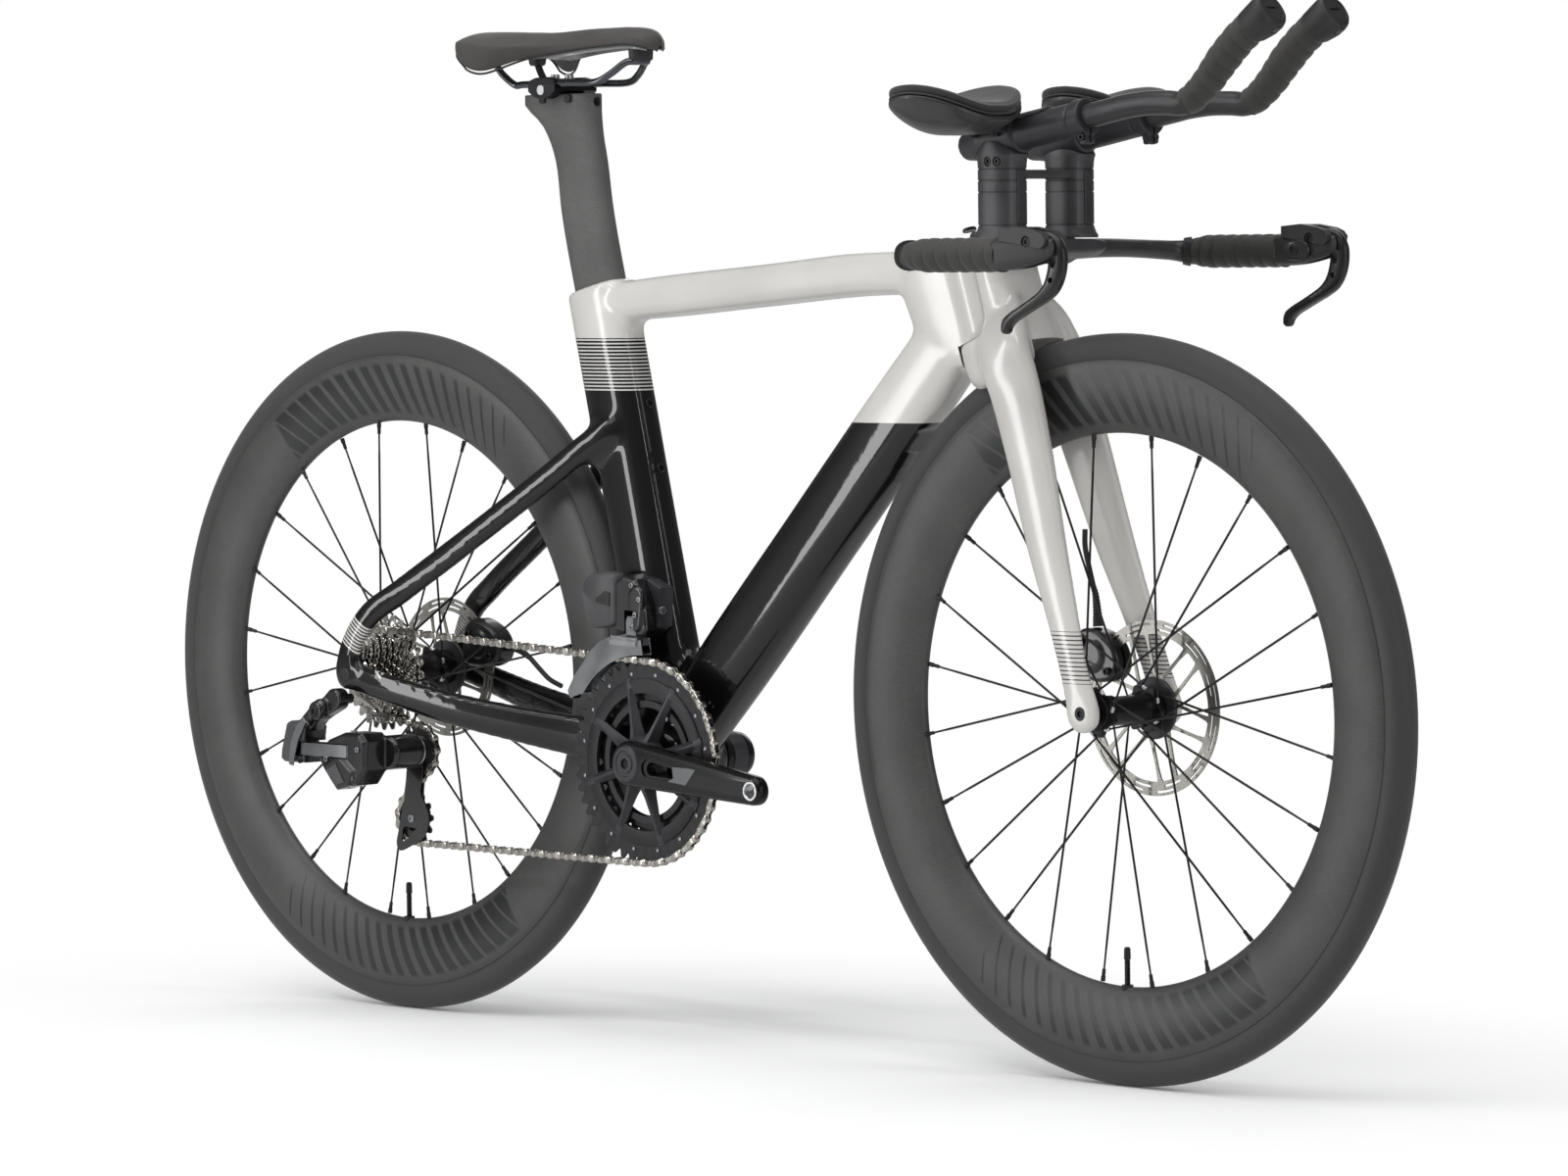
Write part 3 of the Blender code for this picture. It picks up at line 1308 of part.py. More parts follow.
def add_lever_body(bm, side):
    y = bar_y(side)
    rings = []
    for x, low, high, width in (
        (GRIP_END_X + GAP, 739.0, 765.0, 26.0),
        (GRIP_END_X + 6, 737.0, 768.0, 29.0),
        (GRIP_END_X + 22, 735.5, 772.5, 27.0),
        (GRIP_END_X + 40, 738.0, 774.0, 25.0),
        (LEVER_BODY_END - 12, 750.0, 771.0, 21.0),
        (LEVER_BODY_END - 9, 752.0, 769.0, 18.0),
    ):
        rings.append(oval(Vector((x, y, (low + high) / 2)), Vector((0, 0, 1)), SIDE, high - low, width, 8, 2.6))
    add_loft(bm, rings)


def add_lever_slot(bm, side):
    """The slot that the lever blade swings in."""
    y = bar_y(side)
    outline = [(LEVER_PIVOT_X - 24, 725), (LEVER_BODY_END + 20, 725), (LEVER_BODY_END + 20, 800), (LEVER_PIVOT_X - 2, 800), (LEVER_PIVOT_X - 16, 758)]
    add_prism(bm, outline, y - 6.0, y + 6.0)


def add_lever_pin_hole(bm, side):
    y = bar_y(side)
    add_turned(bm, LEVER_PIVOT_X, LEVER_PIVOT_Z, [(3.4, y - 30), (3.4, y + 30)], 8)


def add_lever_blade(bm, side):
    """The blade drops from the pivot, bends and sweeps back under the grip."""
    y = bar_y(side)
    route = [
        (LEVER_PIVOT_X, y, LEVER_PIVOT_Z, 13, 10),
        (LEVER_PIVOT_X + 14, y, 760, 18, 10),
        (LEVER_PIVOT_X + 24, y, 748, 20, 10),
        (LEVER_PIVOT_X + 23, y, 734, 17, 10),
        (LEVER_PIVOT_X + 15, y, 719, 13, 12),
        (LEVER_PIVOT_X + 2, y, 706, 10, 13),
        (LEVER_PIVOT_X - 18, y, 694, 9, 13),
        (LEVER_PIVOT_X - 36, y, 685, 9, 12),
        (LEVER_PIVOT_X - 42, y, 682.5, 5, 8),
    ]
    add_tube(bm, route, 8, 2.6)


def add_lever_pin(bm, side):
    y = bar_y(side)
    add_turned(bm, LEVER_PIVOT_X, LEVER_PIVOT_Z, [(6.5, y - 5.0), (6.5, y + 5.0)], 8)


def add_lever_trunnion(bm, side):
    y = bar_y(side)
    add_turned(bm, LEVER_PIVOT_X, LEVER_PIVOT_Z, [(3.0, y - 10.5), (3.0, y + 10.5)], 8)


def make_brake_levers():
    for side in (1, -1):
        name = side_name(side)
        joined(
            name + "_lever_body",
            "matte_black",
            lambda bm, side=side: add_lever_body(bm, side),
            ("DIFFERENCE", lambda bm, side=side: add_lever_slot(bm, side)),
            ("DIFFERENCE", lambda bm, side=side: add_lever_pin_hole(bm, side)),
        )
        joined(
            name + "_brake_lever",
            "black_anodised",
            lambda bm, side=side: add_lever_blade(bm, side),
            ("UNION", lambda bm, side=side: add_lever_pin(bm, side)),
            ("UNION", lambda bm, side=side: add_lever_trunnion(bm, side)),
        )


# Chain and sprockets
CHAIN_Y = FIRST_COG_Y + CHAIN_COG * COG_PITCH
CHAIN_INNER_HALF = 1.35
CHAIN_OUTER_HALF = 2.15
PLATE_HALF_HEIGHT = 3.7
ROLLER_HALF_LENGTH = 2.2
TOOTH_TIP = 2.8
TOOTH_VALLEY = 5.8
CAGE_LEAN = math.radians(-96.0)
CHAIN_LINKS_EVEN = 2


def tension_centre(lean):
    return GUIDE_X + CAGE_LENGTH * math.cos(lean), GUIDE_Z + CAGE_LENGTH * math.sin(lean)


def chain_wheels(lean):
    """Each wheel on the chain's way as x, z, radius, turn and y: cog, ring, tension pulley, guide pulley."""
    pulley = pitch_radius(PULLEY_TEETH)
    return [
        (REAR_X, AXLE_Z, pitch_radius(COG_TEETH[CHAIN_COG]), -1, CHAIN_Y),
        (BB_X, BB_Z, pitch_radius(RING_TEETH), -1, RING_Y),
        (*tension_centre(lean), pulley, -1, CHAIN_Y),
        (GUIDE_X, GUIDE_Z, pulley, 1, CHAIN_Y),
    ]


def tangent(first, second):
    """Leaving and landing points of the chain between two wheels that turn as given."""
    x1, z1, r1, s1, _ = first
    x2, z2, r2, s2, _ = second
    span = math.hypot(x2 - x1, z2 - z1)
    ux, uz = (x2 - x1) / span, (z2 - z1) / span
    a = (s1 * r1 - s2 * r2) / span
    b = math.sqrt(1 - a * a)
    nx, nz = ux * a + uz * b, uz * a - ux * b
    leave = (x1 + s1 * r1 * nx, z1 + s1 * r1 * nz)
    land = (x2 + s2 * r2 * nx, z2 + s2 * r2 * nz)
    return leave, land


def chain_pieces(lean):
    """The chain's way as arcs and straights, each with its length."""
    wheels = chain_wheels(lean)
    spans = [tangent(wheels[k], wheels[(k + 1) % 4]) for k in range(4)]
    pieces = []
    for k, (x, z, radius, turn, y) in enumerate(wheels):
        land, leave = spans[k - 1][1], spans[k][0]
        start = math.atan2(land[1] - z, land[0] - x)
        end = math.atan2(leave[1] - z, leave[0] - x)
        sweep = (turn * (end - start)) % (2 * math.pi)
        pieces.append(("arc", radius * sweep, (x, z, radius, turn, y, start)))
        other = wheels[(k + 1) % 4][4]
        pieces.append(("straight", math.dist(*spans[k]), (*spans[k], y, other)))
    return pieces


def chain_length(lean):
    return sum(piece[1] for piece in chain_pieces(lean))


def solve_lean():
    """Leans the pulley cage until the chain is a whole, even number of links."""
    step = CHAIN_PITCH * CHAIN_LINKS_EVEN
    links = CHAIN_LINKS_EVEN * round(chain_length(CAGE_LEAN) / step)
    low, high = CAGE_LEAN - math.radians(25.0), CAGE_LEAN + math.radians(25.0)
    rising = chain_length(high) > chain_length(low)
    for _ in range(50):
        middle = (low + high) / 2
        if (chain_length(middle) > links * CHAIN_PITCH) == rising:
            high = middle
        else:
            low = middle
    return (low + high) / 2, links


LEAN, LINKS = solve_lean()
TENSION_X, TENSION_Z = tension_centre(LEAN)


def chain_pins():
    """Each pin's place, the way the chain runs there, and the wheel it lies on, if any."""
    pieces = chain_pieces(LEAN)
    pins = []
    for k in range(LINKS):
        along = k * CHAIN_PITCH
        wheel = 0
        for kind, length, data in pieces:
            if along <= length or data is pieces[-1][2]:
                break
            along -= length
            wheel += kind == "arc"
        if kind == "arc":
            x, z, radius, turn, y, start = data
            angle = start + turn * along / radius
            place = Vector((x + radius * math.cos(angle), y, z + radius * math.sin(angle)))
            run = Vector((-turn * math.sin(angle), 0, turn * math.cos(angle)))
            pins.append((place, run, wheel, angle))
            continue
        leave, land, y, other = data
        share = along / length
        blend = min(1.0, max(0.0, (along - 3 * CHAIN_PITCH) / (length - 6 * CHAIN_PITCH)))
        place = Vector((leave[0] + (land[0] - leave[0]) * share, y + (other - y) * blend, leave[1] + (land[1] - leave[1]) * share))
        run = Vector((land[0] - leave[0], 0, land[1] - leave[1])).normalized()
        pins.append((place, run, None, None))
    return pins


def pin_angle(wheel):
    return next(pin[3] for pin in chain_pins() if pin[2] == wheel)


def add_chain(bm):
    """Two rows of link plates, joined at every pin by a roller."""
    rows = []
    for place, run, _, _ in chain_pins():
        up = Vector((-run.z, 0, run.x)) * PLATE_HALF_HEIGHT
        ahead = run * ROLLER_HALF_LENGTH
        corners = []
        for side in (1, -1):
            inner = place + SIDE * side * CHAIN_INNER_HALF
            outer = place + SIDE * side * CHAIN_OUTER_HALF
            points = (outer + up, outer - up, inner + up, inner - up, inner + ahead, inner - ahead)
            corners.append([bm.verts.new(p) for p in points])
        rows.append(corners)
    for i, here in enumerate(rows):
        after = rows[(i + 1) % len(rows)]
        for a, b in zip(here, after):
            outer_top, outer_low, inner_top, inner_low, fore, _ = a
            next_outer_top, next_outer_low, next_inner_top, next_inner_low, _, aft = b
            bm.faces.new((outer_top, outer_low, next_outer_low, next_outer_top))
            bm.faces.new((outer_top, next_outer_top, next_inner_top, inner_top))
            bm.faces.new((outer_low, inner_low, next_inner_low, next_outer_low))
            bm.faces.new((inner_top, next_inner_top, aft, fore))
            bm.faces.new((inner_low, fore, aft, next_inner_low))
        left, right = here
        loop = (2, 4, 3, 5)
        for p, q in zip(loop, loop[1:] + loop[:1]):
            bm.faces.new((left[p], left[q], right[q], right[p]))


def tooth_loop(bm, x, z, teeth, y, rotate):
    """(angle, vertex) round a sprocket: a valley under each roller and a tip between rollers."""
    radius = pitch_radius(teeth)
    step = math.pi / teeth
    loop = []
    for k in range(2 * teeth):
        angle = (rotate + k * step) % (2 * math.pi)
        reach = radius + TOOTH_TIP if k % 2 else radius - TOOTH_VALLEY
        loop.append((angle, bm.verts.new(around(x, y, z, reach, angle))))
    return sorted(loop, key=lambda item: item[0])


def round_loop(bm, x, z, radius, y, count):
    return [(a, bm.verts.new(around(x, y, z, radius, a))) for a in wheel_angles(count)]


def stitch(bm, outer, inner):
    """Fills the face between two loops round one axis, each in order of angle."""
    a = b = 0
    while a < len(outer) or b < len(inner):
        next_a = outer[(a + 1) % len(outer)][0] + (2 * math.pi if a + 1 >= len(outer) else 0)
        next_b = inner[(b + 1) % len(inner)][0] + (2 * math.pi if b + 1 >= len(inner) else 0)
        p, q = outer[a % len(outer)][1], inner[b % len(inner)][1]
        if b >= len(inner) or (a < len(outer) and next_a <= next_b):
            bm.faces.new((p, outer[(a + 1) % len(outer)][1], q))
            a += 1
        else:
            bm.faces.new((p, inner[(b + 1) % len(inner)][1], q))
            b += 1


def add_sprockets(bm, x, z, discs, core, bore, low_y, high_y, count, bore_count):
    """Toothed discs, given as teeth, y and rotation from right to left, on one bored core."""
    loops = [round_loop(bm, x, z, bore, low_y, bore_count), round_loop(bm, x, z, core, low_y, count)]
    stitch(bm, loops[1], loops[0])
    last = loops[1]
    for teeth, y, rotate in discs:
        right, left = y - PLATE_THICKNESS / 2, y + PLATE_THICKNESS / 2
        root = round_loop(bm, x, z, core, right, count)
        stitch(bm, root, last)
        rims = [tooth_loop(bm, x, z, teeth, right, rotate), tooth_loop(bm, x, z, teeth, left, rotate)]
        stitch(bm, rims[0], root)
        for (_, a), (_, b), (_, c), (_, d) in zip(rims[0], rims[0][1:] + rims[0][:1], rims[1][1:] + rims[1][:1], rims[1]):
            bm.faces.new((a, b, c, d))
        last = round_loop(bm, x, z, core, left, count)
        stitch(bm, rims[1], last)
    end = round_loop(bm, x, z, core, high_y, count)
    stitch(bm, end, last)
    inner = round_loop(bm, x, z, bore, high_y, bore_count)
    stitch(bm, end, inner)
    stitch(bm, inner, loops[0])


def make_sprockets():
    cogs = []
    for k, teeth in enumerate(COG_TEETH):
        rotate = pin_angle(0) if k == CHAIN_COG else math.pi / 2 + 0.13 * k
        cogs.append((teeth, FIRST_COG_Y + k * COG_PITCH, rotate))
    low, high = FIRST_COG_Y - 2.0, FIRST_COG_Y + (len(COG_TEETH) - 1) * COG_PITCH + 1.1
    simple(
        "cassette",
        "steel",
        lambda bm: add_sprockets(bm, REAR_X, AXLE_Z, cogs, 13.8, turning_bore(CAP_RADIUS), low, high, 8, HUB_FACETS),
    )
    rings = [(RING_TEETH, RING_Y, pin_angle(1)), (INNER_RING_TEETH, RING_Y + RING_SPACING, math.pi / 2)]
    simple(
        "chainrings",
        "black_anodised",
        lambda bm: add_sprockets(bm, BB_X, BB_Z, rings, 44.0, SPINDLE_RADIUS + GAP, RING_Y - 2.5, RING_Y + RING_SPACING + 1.0, 10, 12),
    )
    simple("chain", "chain_steel", add_chain)
    for name, wheel, x, z in (("tension_pulley", 2, TENSION_X, TENSION_Z), ("guide_pulley", 3, GUIDE_X, GUIDE_Z)):
        disc = [(PULLEY_TEETH, CHAIN_Y, pin_angle(wheel))]
        simple(
            name,
            "matte_black",
            lambda bm, x=x, z=z, disc=disc: add_sprockets(bm, x, z, disc, 9.0, PULLEY_BORE, CHAIN_Y - 3.0, CHAIN_Y + 3.0, 6, 8),
        )


# Cranks
BOSS_HUB_RADIUS = 22.0
PEDAL_EYE_RADIUS = 14.0
SPIDER_RADIUS = 60.0


def capsule(x1, z1, r1, x2, z2, r2, count=6):
    """The outline of a bar with a large round end and a small one."""
    lean = math.atan2(z2 - z1, x2 - x1)
    points = []
    for x, z, radius, start in ((x1, z1, r1, lean + math.pi / 2), (x2, z2, r2, lean - math.pi / 2)):
        for k in range(count):
            angle = start + math.pi * k / (count - 1)
            points.append((x + radius * math.cos(angle), z + radius * math.sin(angle)))
    return points


def pedal_place(side):
    """The pedal eye of a crank: the right arm points forward and down, the left arm back and up."""
    lean = -CRANK_DROP if side < 0 else math.pi - CRANK_DROP
    return BB_X + CRANK_LENGTH * math.cos(lean), BB_Z + CRANK_LENGTH * math.sin(lean)


def crank_ys(side, low=0.0, high=CRANK_THICKNESS):
    return sorted((side * (CRANK_FACE_Y + low), side * (CRANK_FACE_Y + high)))


def add_crank_arm(bm, side):
    x, z = pedal_place(side)
    low, high = crank_ys(side)
    add_prism(bm, capsule(BB_X, BB_Z, BOSS_HUB_RADIUS, x, z, PEDAL_EYE_RADIUS), low, high)


def add_crank_pocket(bm, side):
    """An oblong slot through the arm, next to its boss."""
    x, z = pedal_place(side)
    near, far = 0.2, 0.34
    ends = [(BB_X + (x - BB_X) * f, BB_Z + (z - BB_Z) * f) for f in (near, far)]
    low, high = crank_ys(side, -10.0, CRANK_THICKNESS + 10.0)
    add_prism(bm, capsule(*ends[0], 6.0, *ends[1], 5.0, 4), low, high)


def add_pedal_hole(bm, side):
    x, z = pedal_place(side)
    low, high = crank_ys(side, -10.0, CRANK_THICKNESS + 10.0)
    add_turned(bm, x, z, [(7.2, low), (7.2, high)], 8)


def add_right_boss(bm):
    """The boss and the spider behind the arm, and the spindle that crosses the frame."""
    outer = -CRANK_FACE_Y - 2.0
    ring_face = RING_Y - 2.5 - GAP
    end = CRANK_FACE_Y + CRANK_THICKNESS - 4.0
    profile = [
        (BOSS_HUB_RADIUS, outer),
        (BOSS_HUB_RADIUS + 4.0, ring_face - 6.0),
        (SPIDER_RADIUS, ring_face - 4.0),
        (SPIDER_RADIUS, ring_face),
        (SPINDLE_RADIUS, ring_face),
        (SPINDLE_RADIUS, end),
    ]
    add_turned(bm, BB_X, BB_Z, profile, 12)


def add_left_boss(bm):
    start = BB_SHELL_HALF_WIDTH + GAP + 6.5 + 1.5
    add_turned(bm, BB_X, BB_Z, [(BOSS_HUB_RADIUS - 2.0, start), (BOSS_HUB_RADIUS, CRANK_FACE_Y + 2.0)], 12)


def add_spindle_socket(bm):
    end = CRANK_FACE_Y + CRANK_THICKNESS - 4.0 + GAP
    add_turned(bm, BB_X, BB_Z, [(SPINDLE_RADIUS + GAP, 0.0), (SPINDLE_RADIUS + GAP, end)], 12)


def make_cranks():
    joined(
        "right_crank",
        "black_anodised",
        lambda bm: add_crank_arm(bm, -1),
        ("UNION", add_right_boss),
        ("DIFFERENCE", lambda bm: add_crank_pocket(bm, -1)),
        ("DIFFERENCE", lambda bm: add_pedal_hole(bm, -1)),
    )
    joined(
        "left_crank",
        "black_anodised",
        lambda bm: add_crank_arm(bm, 1),
        ("UNION", add_left_boss),
        ("DIFFERENCE", add_spindle_socket),
        ("DIFFERENCE", lambda bm: add_crank_pocket(bm, 1)),
        ("DIFFERENCE", lambda bm: add_pedal_hole(bm, 1)),
    )


# Rear derailleur
MOUNT_X = -493.0
MOUNT_Z = 315.0
HANGER_FACE_Y = -(REAR_HUB_HALF_WIDTH + DROPOUT_THICKNESS)
HINGE_X = -530.0
LINK_LENGTH = 66.0
LINK_Z = 265.0
LINK_HALF_HEIGHT = 7.0
OUTER_LINK_Y = -100.0
INNER_LINK_Y = -85.0
LINK_PIN_RADIUS = 2.6
CAGE_PIVOT_RADIUS = 6.0


def add_hanger(bm):
    """The tab under the right dropout that the rear derailleur bolts to."""
    points = [(MOUNT_X - 11, MOUNT_Z), (MOUNT_X - 8, MOUNT_Z - 9), (MOUNT_X + 8, MOUNT_Z - 9), (MOUNT_X + 11, MOUNT_Z), (MOUNT_X + 10, AXLE_Z - 10), (MOUNT_X - 10, AXLE_Z - 10)]
    add_prism(bm, points, HANGER_FACE_Y, HANGER_FACE_Y + DROPOUT_THICKNESS - 2.0)


def add_hanger_hole(bm):
    add_turned(bm, MOUNT_X, MOUNT_Z, [(5.0 + GAP, HANGER_FACE_Y - 5), (5.0 + GAP, HANGER_FACE_Y + 20)], 8)


def box_outline(low_x, low_z, high_x, high_z):
    return [(low_x, low_z), (high_x, low_z), (high_x, high_z), (low_x, high_z)]


def add_knuckle(bm):
    """The arm from the hanger back and down to the hinge block."""
    points = [(MOUNT_X + 11, MOUNT_Z + 2), (MOUNT_X + 4, MOUNT_Z + 10), (MOUNT_X - 6, MOUNT_Z + 10), (HINGE_X - 8, 288), (HINGE_X - 10, 272), (HINGE_X + 9, 276), (MOUNT_X + 6, MOUNT_Z - 10)]
    add_prism(bm, points, HANGER_FACE_Y - 14.0, HANGER_FACE_Y - GAP)


def add_knuckle_block(bm):
    low, high = LINK_Z - 15.0, LINK_Z + 17.0
    add_prism(bm, box_outline(HINGE_X - 12, low, HINGE_X + 7, high), OUTER_LINK_Y - 7, INNER_LINK_Y + 7)


def add_knuckle_battery(bm):
    add_prism(bm, box_outline(HINGE_X - 45, LINK_Z - 16, HINGE_X - 11, LINK_Z + 17), -94.0, -70.0)


def add_hanger_bolt(bm):
    add_turned(bm, MOUNT_X, MOUNT_Z, [(5.0, HANGER_FACE_Y - 8), (5.0, HANGER_FACE_Y + 9)], 8)


def link_slot(bm, x, toward):
    """The gap between two cheeks that the links' ends turn in."""
    z, half = LINK_Z, LINK_HALF_HEIGHT + 0.6
    near, far = sorted((x - toward * 8.0, x + toward * 60.0))
    add_prism(bm, box_outline(near, z - half, far, z + half), OUTER_LINK_Y - 30, INNER_LINK_Y + 30)


def add_link_bores(bm, x):
    for y in (OUTER_LINK_Y, INNER_LINK_Y):
        radius = turning_bore(LINK_PIN_RADIUS, 6)
        add_cylinder(bm, (x, y, LINK_Z - 13.0), (x, y, LINK_Z + 13.0), radius, 6)


def add_link(bm, y):
    z, half = LINK_Z, LINK_HALF_HEIGHT
    rings = []
    for height in (-half, half):
        ring = []
        for x, start in ((HINGE_X, 90), (HINGE_X + LINK_LENGTH, -90)):
            for k in range(4):
                a = math.radians(start + 60 * k)
                ring.append(Vector((x + 5.0 * math.cos(a), y + 5.0 * math.sin(a), z + height)))
        rings.append(ring)
    add_loft(bm, rings)


def add_link_pins(bm, y, ends):
    for x in ends:
        add_cylinder(bm, (x, y, LINK_Z - 12.4), (x, y, LINK_Z + 12.4), LINK_PIN_RADIUS, 6)


def add_motor(bm):
    """The outer half of the moving body, which carries the links' front ends."""
    x = HINGE_X + LINK_LENGTH
    points = [(x - 43, 262), (x - 33, 244), (x - 6, 228), (x + 22, 236), (x + 34, 250), (x + 30, 284), (x, 283), (x - 24, 276)]
    add_prism(bm, points, OUTER_LINK_Y - 8, INNER_LINK_Y + 12)


def add_motor_arm(bm):
    """The inner half, which reaches under the cogs to the cage pivot."""
    points = capsule(GUIDE_X - 22, GUIDE_Z - 4, 16.0, GUIDE_X, GUIDE_Z, 17.0)
    add_prism(bm, points, INNER_LINK_Y + 9, CHAIN_Y - 6.6)


def add_cage_bore(bm):
    add_turned(bm, GUIDE_X, GUIDE_Z, [(CAGE_PIVOT_RADIUS + GAP, -66.0), (CAGE_PIVOT_RADIUS + GAP, CHAIN_Y)], 12)


def cage_outline():
    """A plate from round the guide pulley's axis to a blunt foot below the tension pulley."""
    along = Vector((math.cos(LEAN), 0, math.sin(LEAN)))
    across = Vector((-along.z, 0, along.x))
    points = []
    for run, off in ((-10, -6), (-10, 6), (0, 12), (40, 10), (60, 26), (84, 22), (104, -14), (98, -20), (70, -16), (40, -12), (0, -12)):
        p = along * run + across * off
        points.append((GUIDE_X + p.x, GUIDE_Z + p.z))
    return points


def add_cage_plate(bm, low, high):
    add_prism(bm, cage_outline(), CHAIN_Y + low, CHAIN_Y + high)


def add_cage_axles(bm):
    for x, z in ((GUIDE_X, GUIDE_Z), (TENSION_X, TENSION_Z)):
        add_turned(bm, x, z, [(PULLEY_BORE - GAP, CHAIN_Y - 4.4), (PULLEY_BORE - GAP, CHAIN_Y + 4.4)], 8)


def add_cage_pivot(bm):
    add_turned(bm, GUIDE_X, GUIDE_Z, [(CAGE_PIVOT_RADIUS, -60.0), (CAGE_PIVOT_RADIUS, CHAIN_Y - 4.5)], 12)


def make_rear_derailleur():
    joined(
        "derailleur_knuckle",
        "matte_black",
        add_knuckle,
        ("UNION", add_knuckle_block),
        ("UNION", add_knuckle_battery),
        ("UNION", add_hanger_bolt),
        ("DIFFERENCE", lambda bm: link_slot(bm, HINGE_X, 1)),
        ("DIFFERENCE", lambda bm: add_link_bores(bm, HINGE_X)),
    )
    ends = (HINGE_X, HINGE_X + LINK_LENGTH)
    joined(
        "derailleur_outer_link",
        "matte_black",
        lambda bm: add_link(bm, OUTER_LINK_Y),
        ("UNION", lambda bm: add_link_pins(bm, OUTER_LINK_Y, ends)),
    )
    joined(
        "derailleur_inner_link",
        "matte_black",
        lambda bm: add_link(bm, INNER_LINK_Y),
        ("UNION", lambda bm: add_link_pins(bm, INNER_LINK_Y, ends)),
    )
    joined(
        "derailleur_motor",
        "matte_black",
        add_motor,
        ("DIFFERENCE", lambda bm: link_slot(bm, HINGE_X + LINK_LENGTH, -1)),
        ("UNION", add_motor_arm),
        ("DIFFERENCE", lambda bm: add_link_bores(bm, HINGE_X + LINK_LENGTH)),
        ("DIFFERENCE", add_cage_bore),
    )
    joined(
        "derailleur_cage",
        "matte_black",
        lambda bm: add_cage_plate(bm, -5.2, -4.0),
        ("UNION", add_cage_axles),
        ("UNION", lambda bm: add_cage_plate(bm, 4.0, 5.2)),
        ("UNION", add_cage_pivot),
    )


# Front derailleur
SWING_Y = -44.0
SWING_Z = 404.0
TONGUE_X = -105.0
TONGUE_HALF = 7.4
CAGE_CLEAR_RADIUS = 102.5


def add_changer_body(bm):
    """The motor body, fixed to the right of the seat tube over the rings."""
    points = [(-127, 394), (-90, 388), (-82, 396), (-84, 418), (-98, 444), (-116, 448), (-128, 440)]
    add_prism(bm, points, -51.0, -SEAT_TUBE_WIDTH / 2 - GAP)


def add_changer_battery(bm):
    points = [(-174, 434), (-171, 443), (-126, 446), (-124, 400), (-159, 396), (-168, 402)]
    add_prism(bm, points, -53.0, -37.0)


def add_tongue_slot(bm):
    half = TONGUE_HALF + 0.6
    add_prism(bm, box_outline(TONGUE_X - half, 370, TONGUE_X + half, 414), -70.0, -34.0)


def add_swing_bore(bm):
    ends = [(TONGUE_X + dx, SWING_Y, SWING_Z) for dx in (-13.0, 13.0)]
    add_cylinder(bm, *ends, 3.0 + GAP, 8)


def add_swing_pin(bm):
    ends = [(TONGUE_X + dx, SWING_Y, SWING_Z) for dx in (-12.4, 12.4)]
    add_cylinder(bm, *ends, 3.0, 8)


def add_tongue(bm):
    add_prism(bm, box_outline(TONGUE_X - TONGUE_HALF, 381, TONGUE_X + TONGUE_HALF, SWING_Z + 5), -51.0, -38.0)


def guide_outline():
    """A cage plate that follows the big ring's edge and drops behind it round the chain."""
    points = []
    for degrees in (88, 97, 106, 115, 124, 133, 142):
        a = math.radians(degrees)
        points.append((BB_X + CAGE_CLEAR_RADIUS * math.cos(a), BB_Z + CAGE_CLEAR_RADIUS * math.sin(a)))
    return points + [(-186, 326), (-190, 334), (-168, 362), (-146, 383), (-120, 389), (-86, 387)]


def add_guide_plate(bm, low, high):
    add_prism(bm, guide_outline(), RING_Y + low, RING_Y + high)


def add_guide_bridge(bm):
    """The two cross pieces that hold the cage's plates apart, over the chain and behind it."""
    for outline in (box_outline(-118, 380, -92, 386), box_outline(-188, 327, -183, 332)):
        add_prism(bm, outline, RING_Y - 5.0, RING_Y + 5.8)


def make_front_derailleur():
    joined(
        "front_derailleur",
        "matte_black",
        add_changer_body,
        ("UNION", add_changer_battery),
        ("DIFFERENCE", add_tongue_slot),
        ("DIFFERENCE", add_swing_bore),
    )
    joined(
        "front_derailleur_cage",
        "black_anodised",
        lambda bm: add_guide_plate(bm, -5.6, -4.4),
        ("UNION", lambda bm: add_guide_plate(bm, 5.2, 6.4)),
        ("UNION", add_guide_bridge),
        ("UNION", add_tongue),
        ("UNION", add_swing_pin),
    )


# Brakes
CALIPER_SLOT = 1.7
def add_caliper(bm, outline, low_y, high_y):
    """A caliper body with its edges drawn in at both sides."""
    middle = [sum(p[k] for p in outline) / len(outline) for k in (0, 1)]
    rings = []
    for y, f in ((low_y, 0.86), (low_y + 4, 1.0), (high_y - 4, 1.0), (high_y, 0.86)):
        rings.append([Vector((middle[0] + (x - middle[0]) * f, y, middle[1] + (z - middle[1]) * f)) for x, z in outline])
    add_loft(bm, rings)


def add_rotor_slot(bm, x, y, radius):
    add_turned(bm, x, AXLE_Z, [(radius + 3.0, y - CALIPER_SLOT), (radius + 3.0, y + CALIPER_SLOT)], 32)


def add_hose(bm, points, radii):
    add_round_bar(bm, [Vector(p) for p in points], radii, 6)


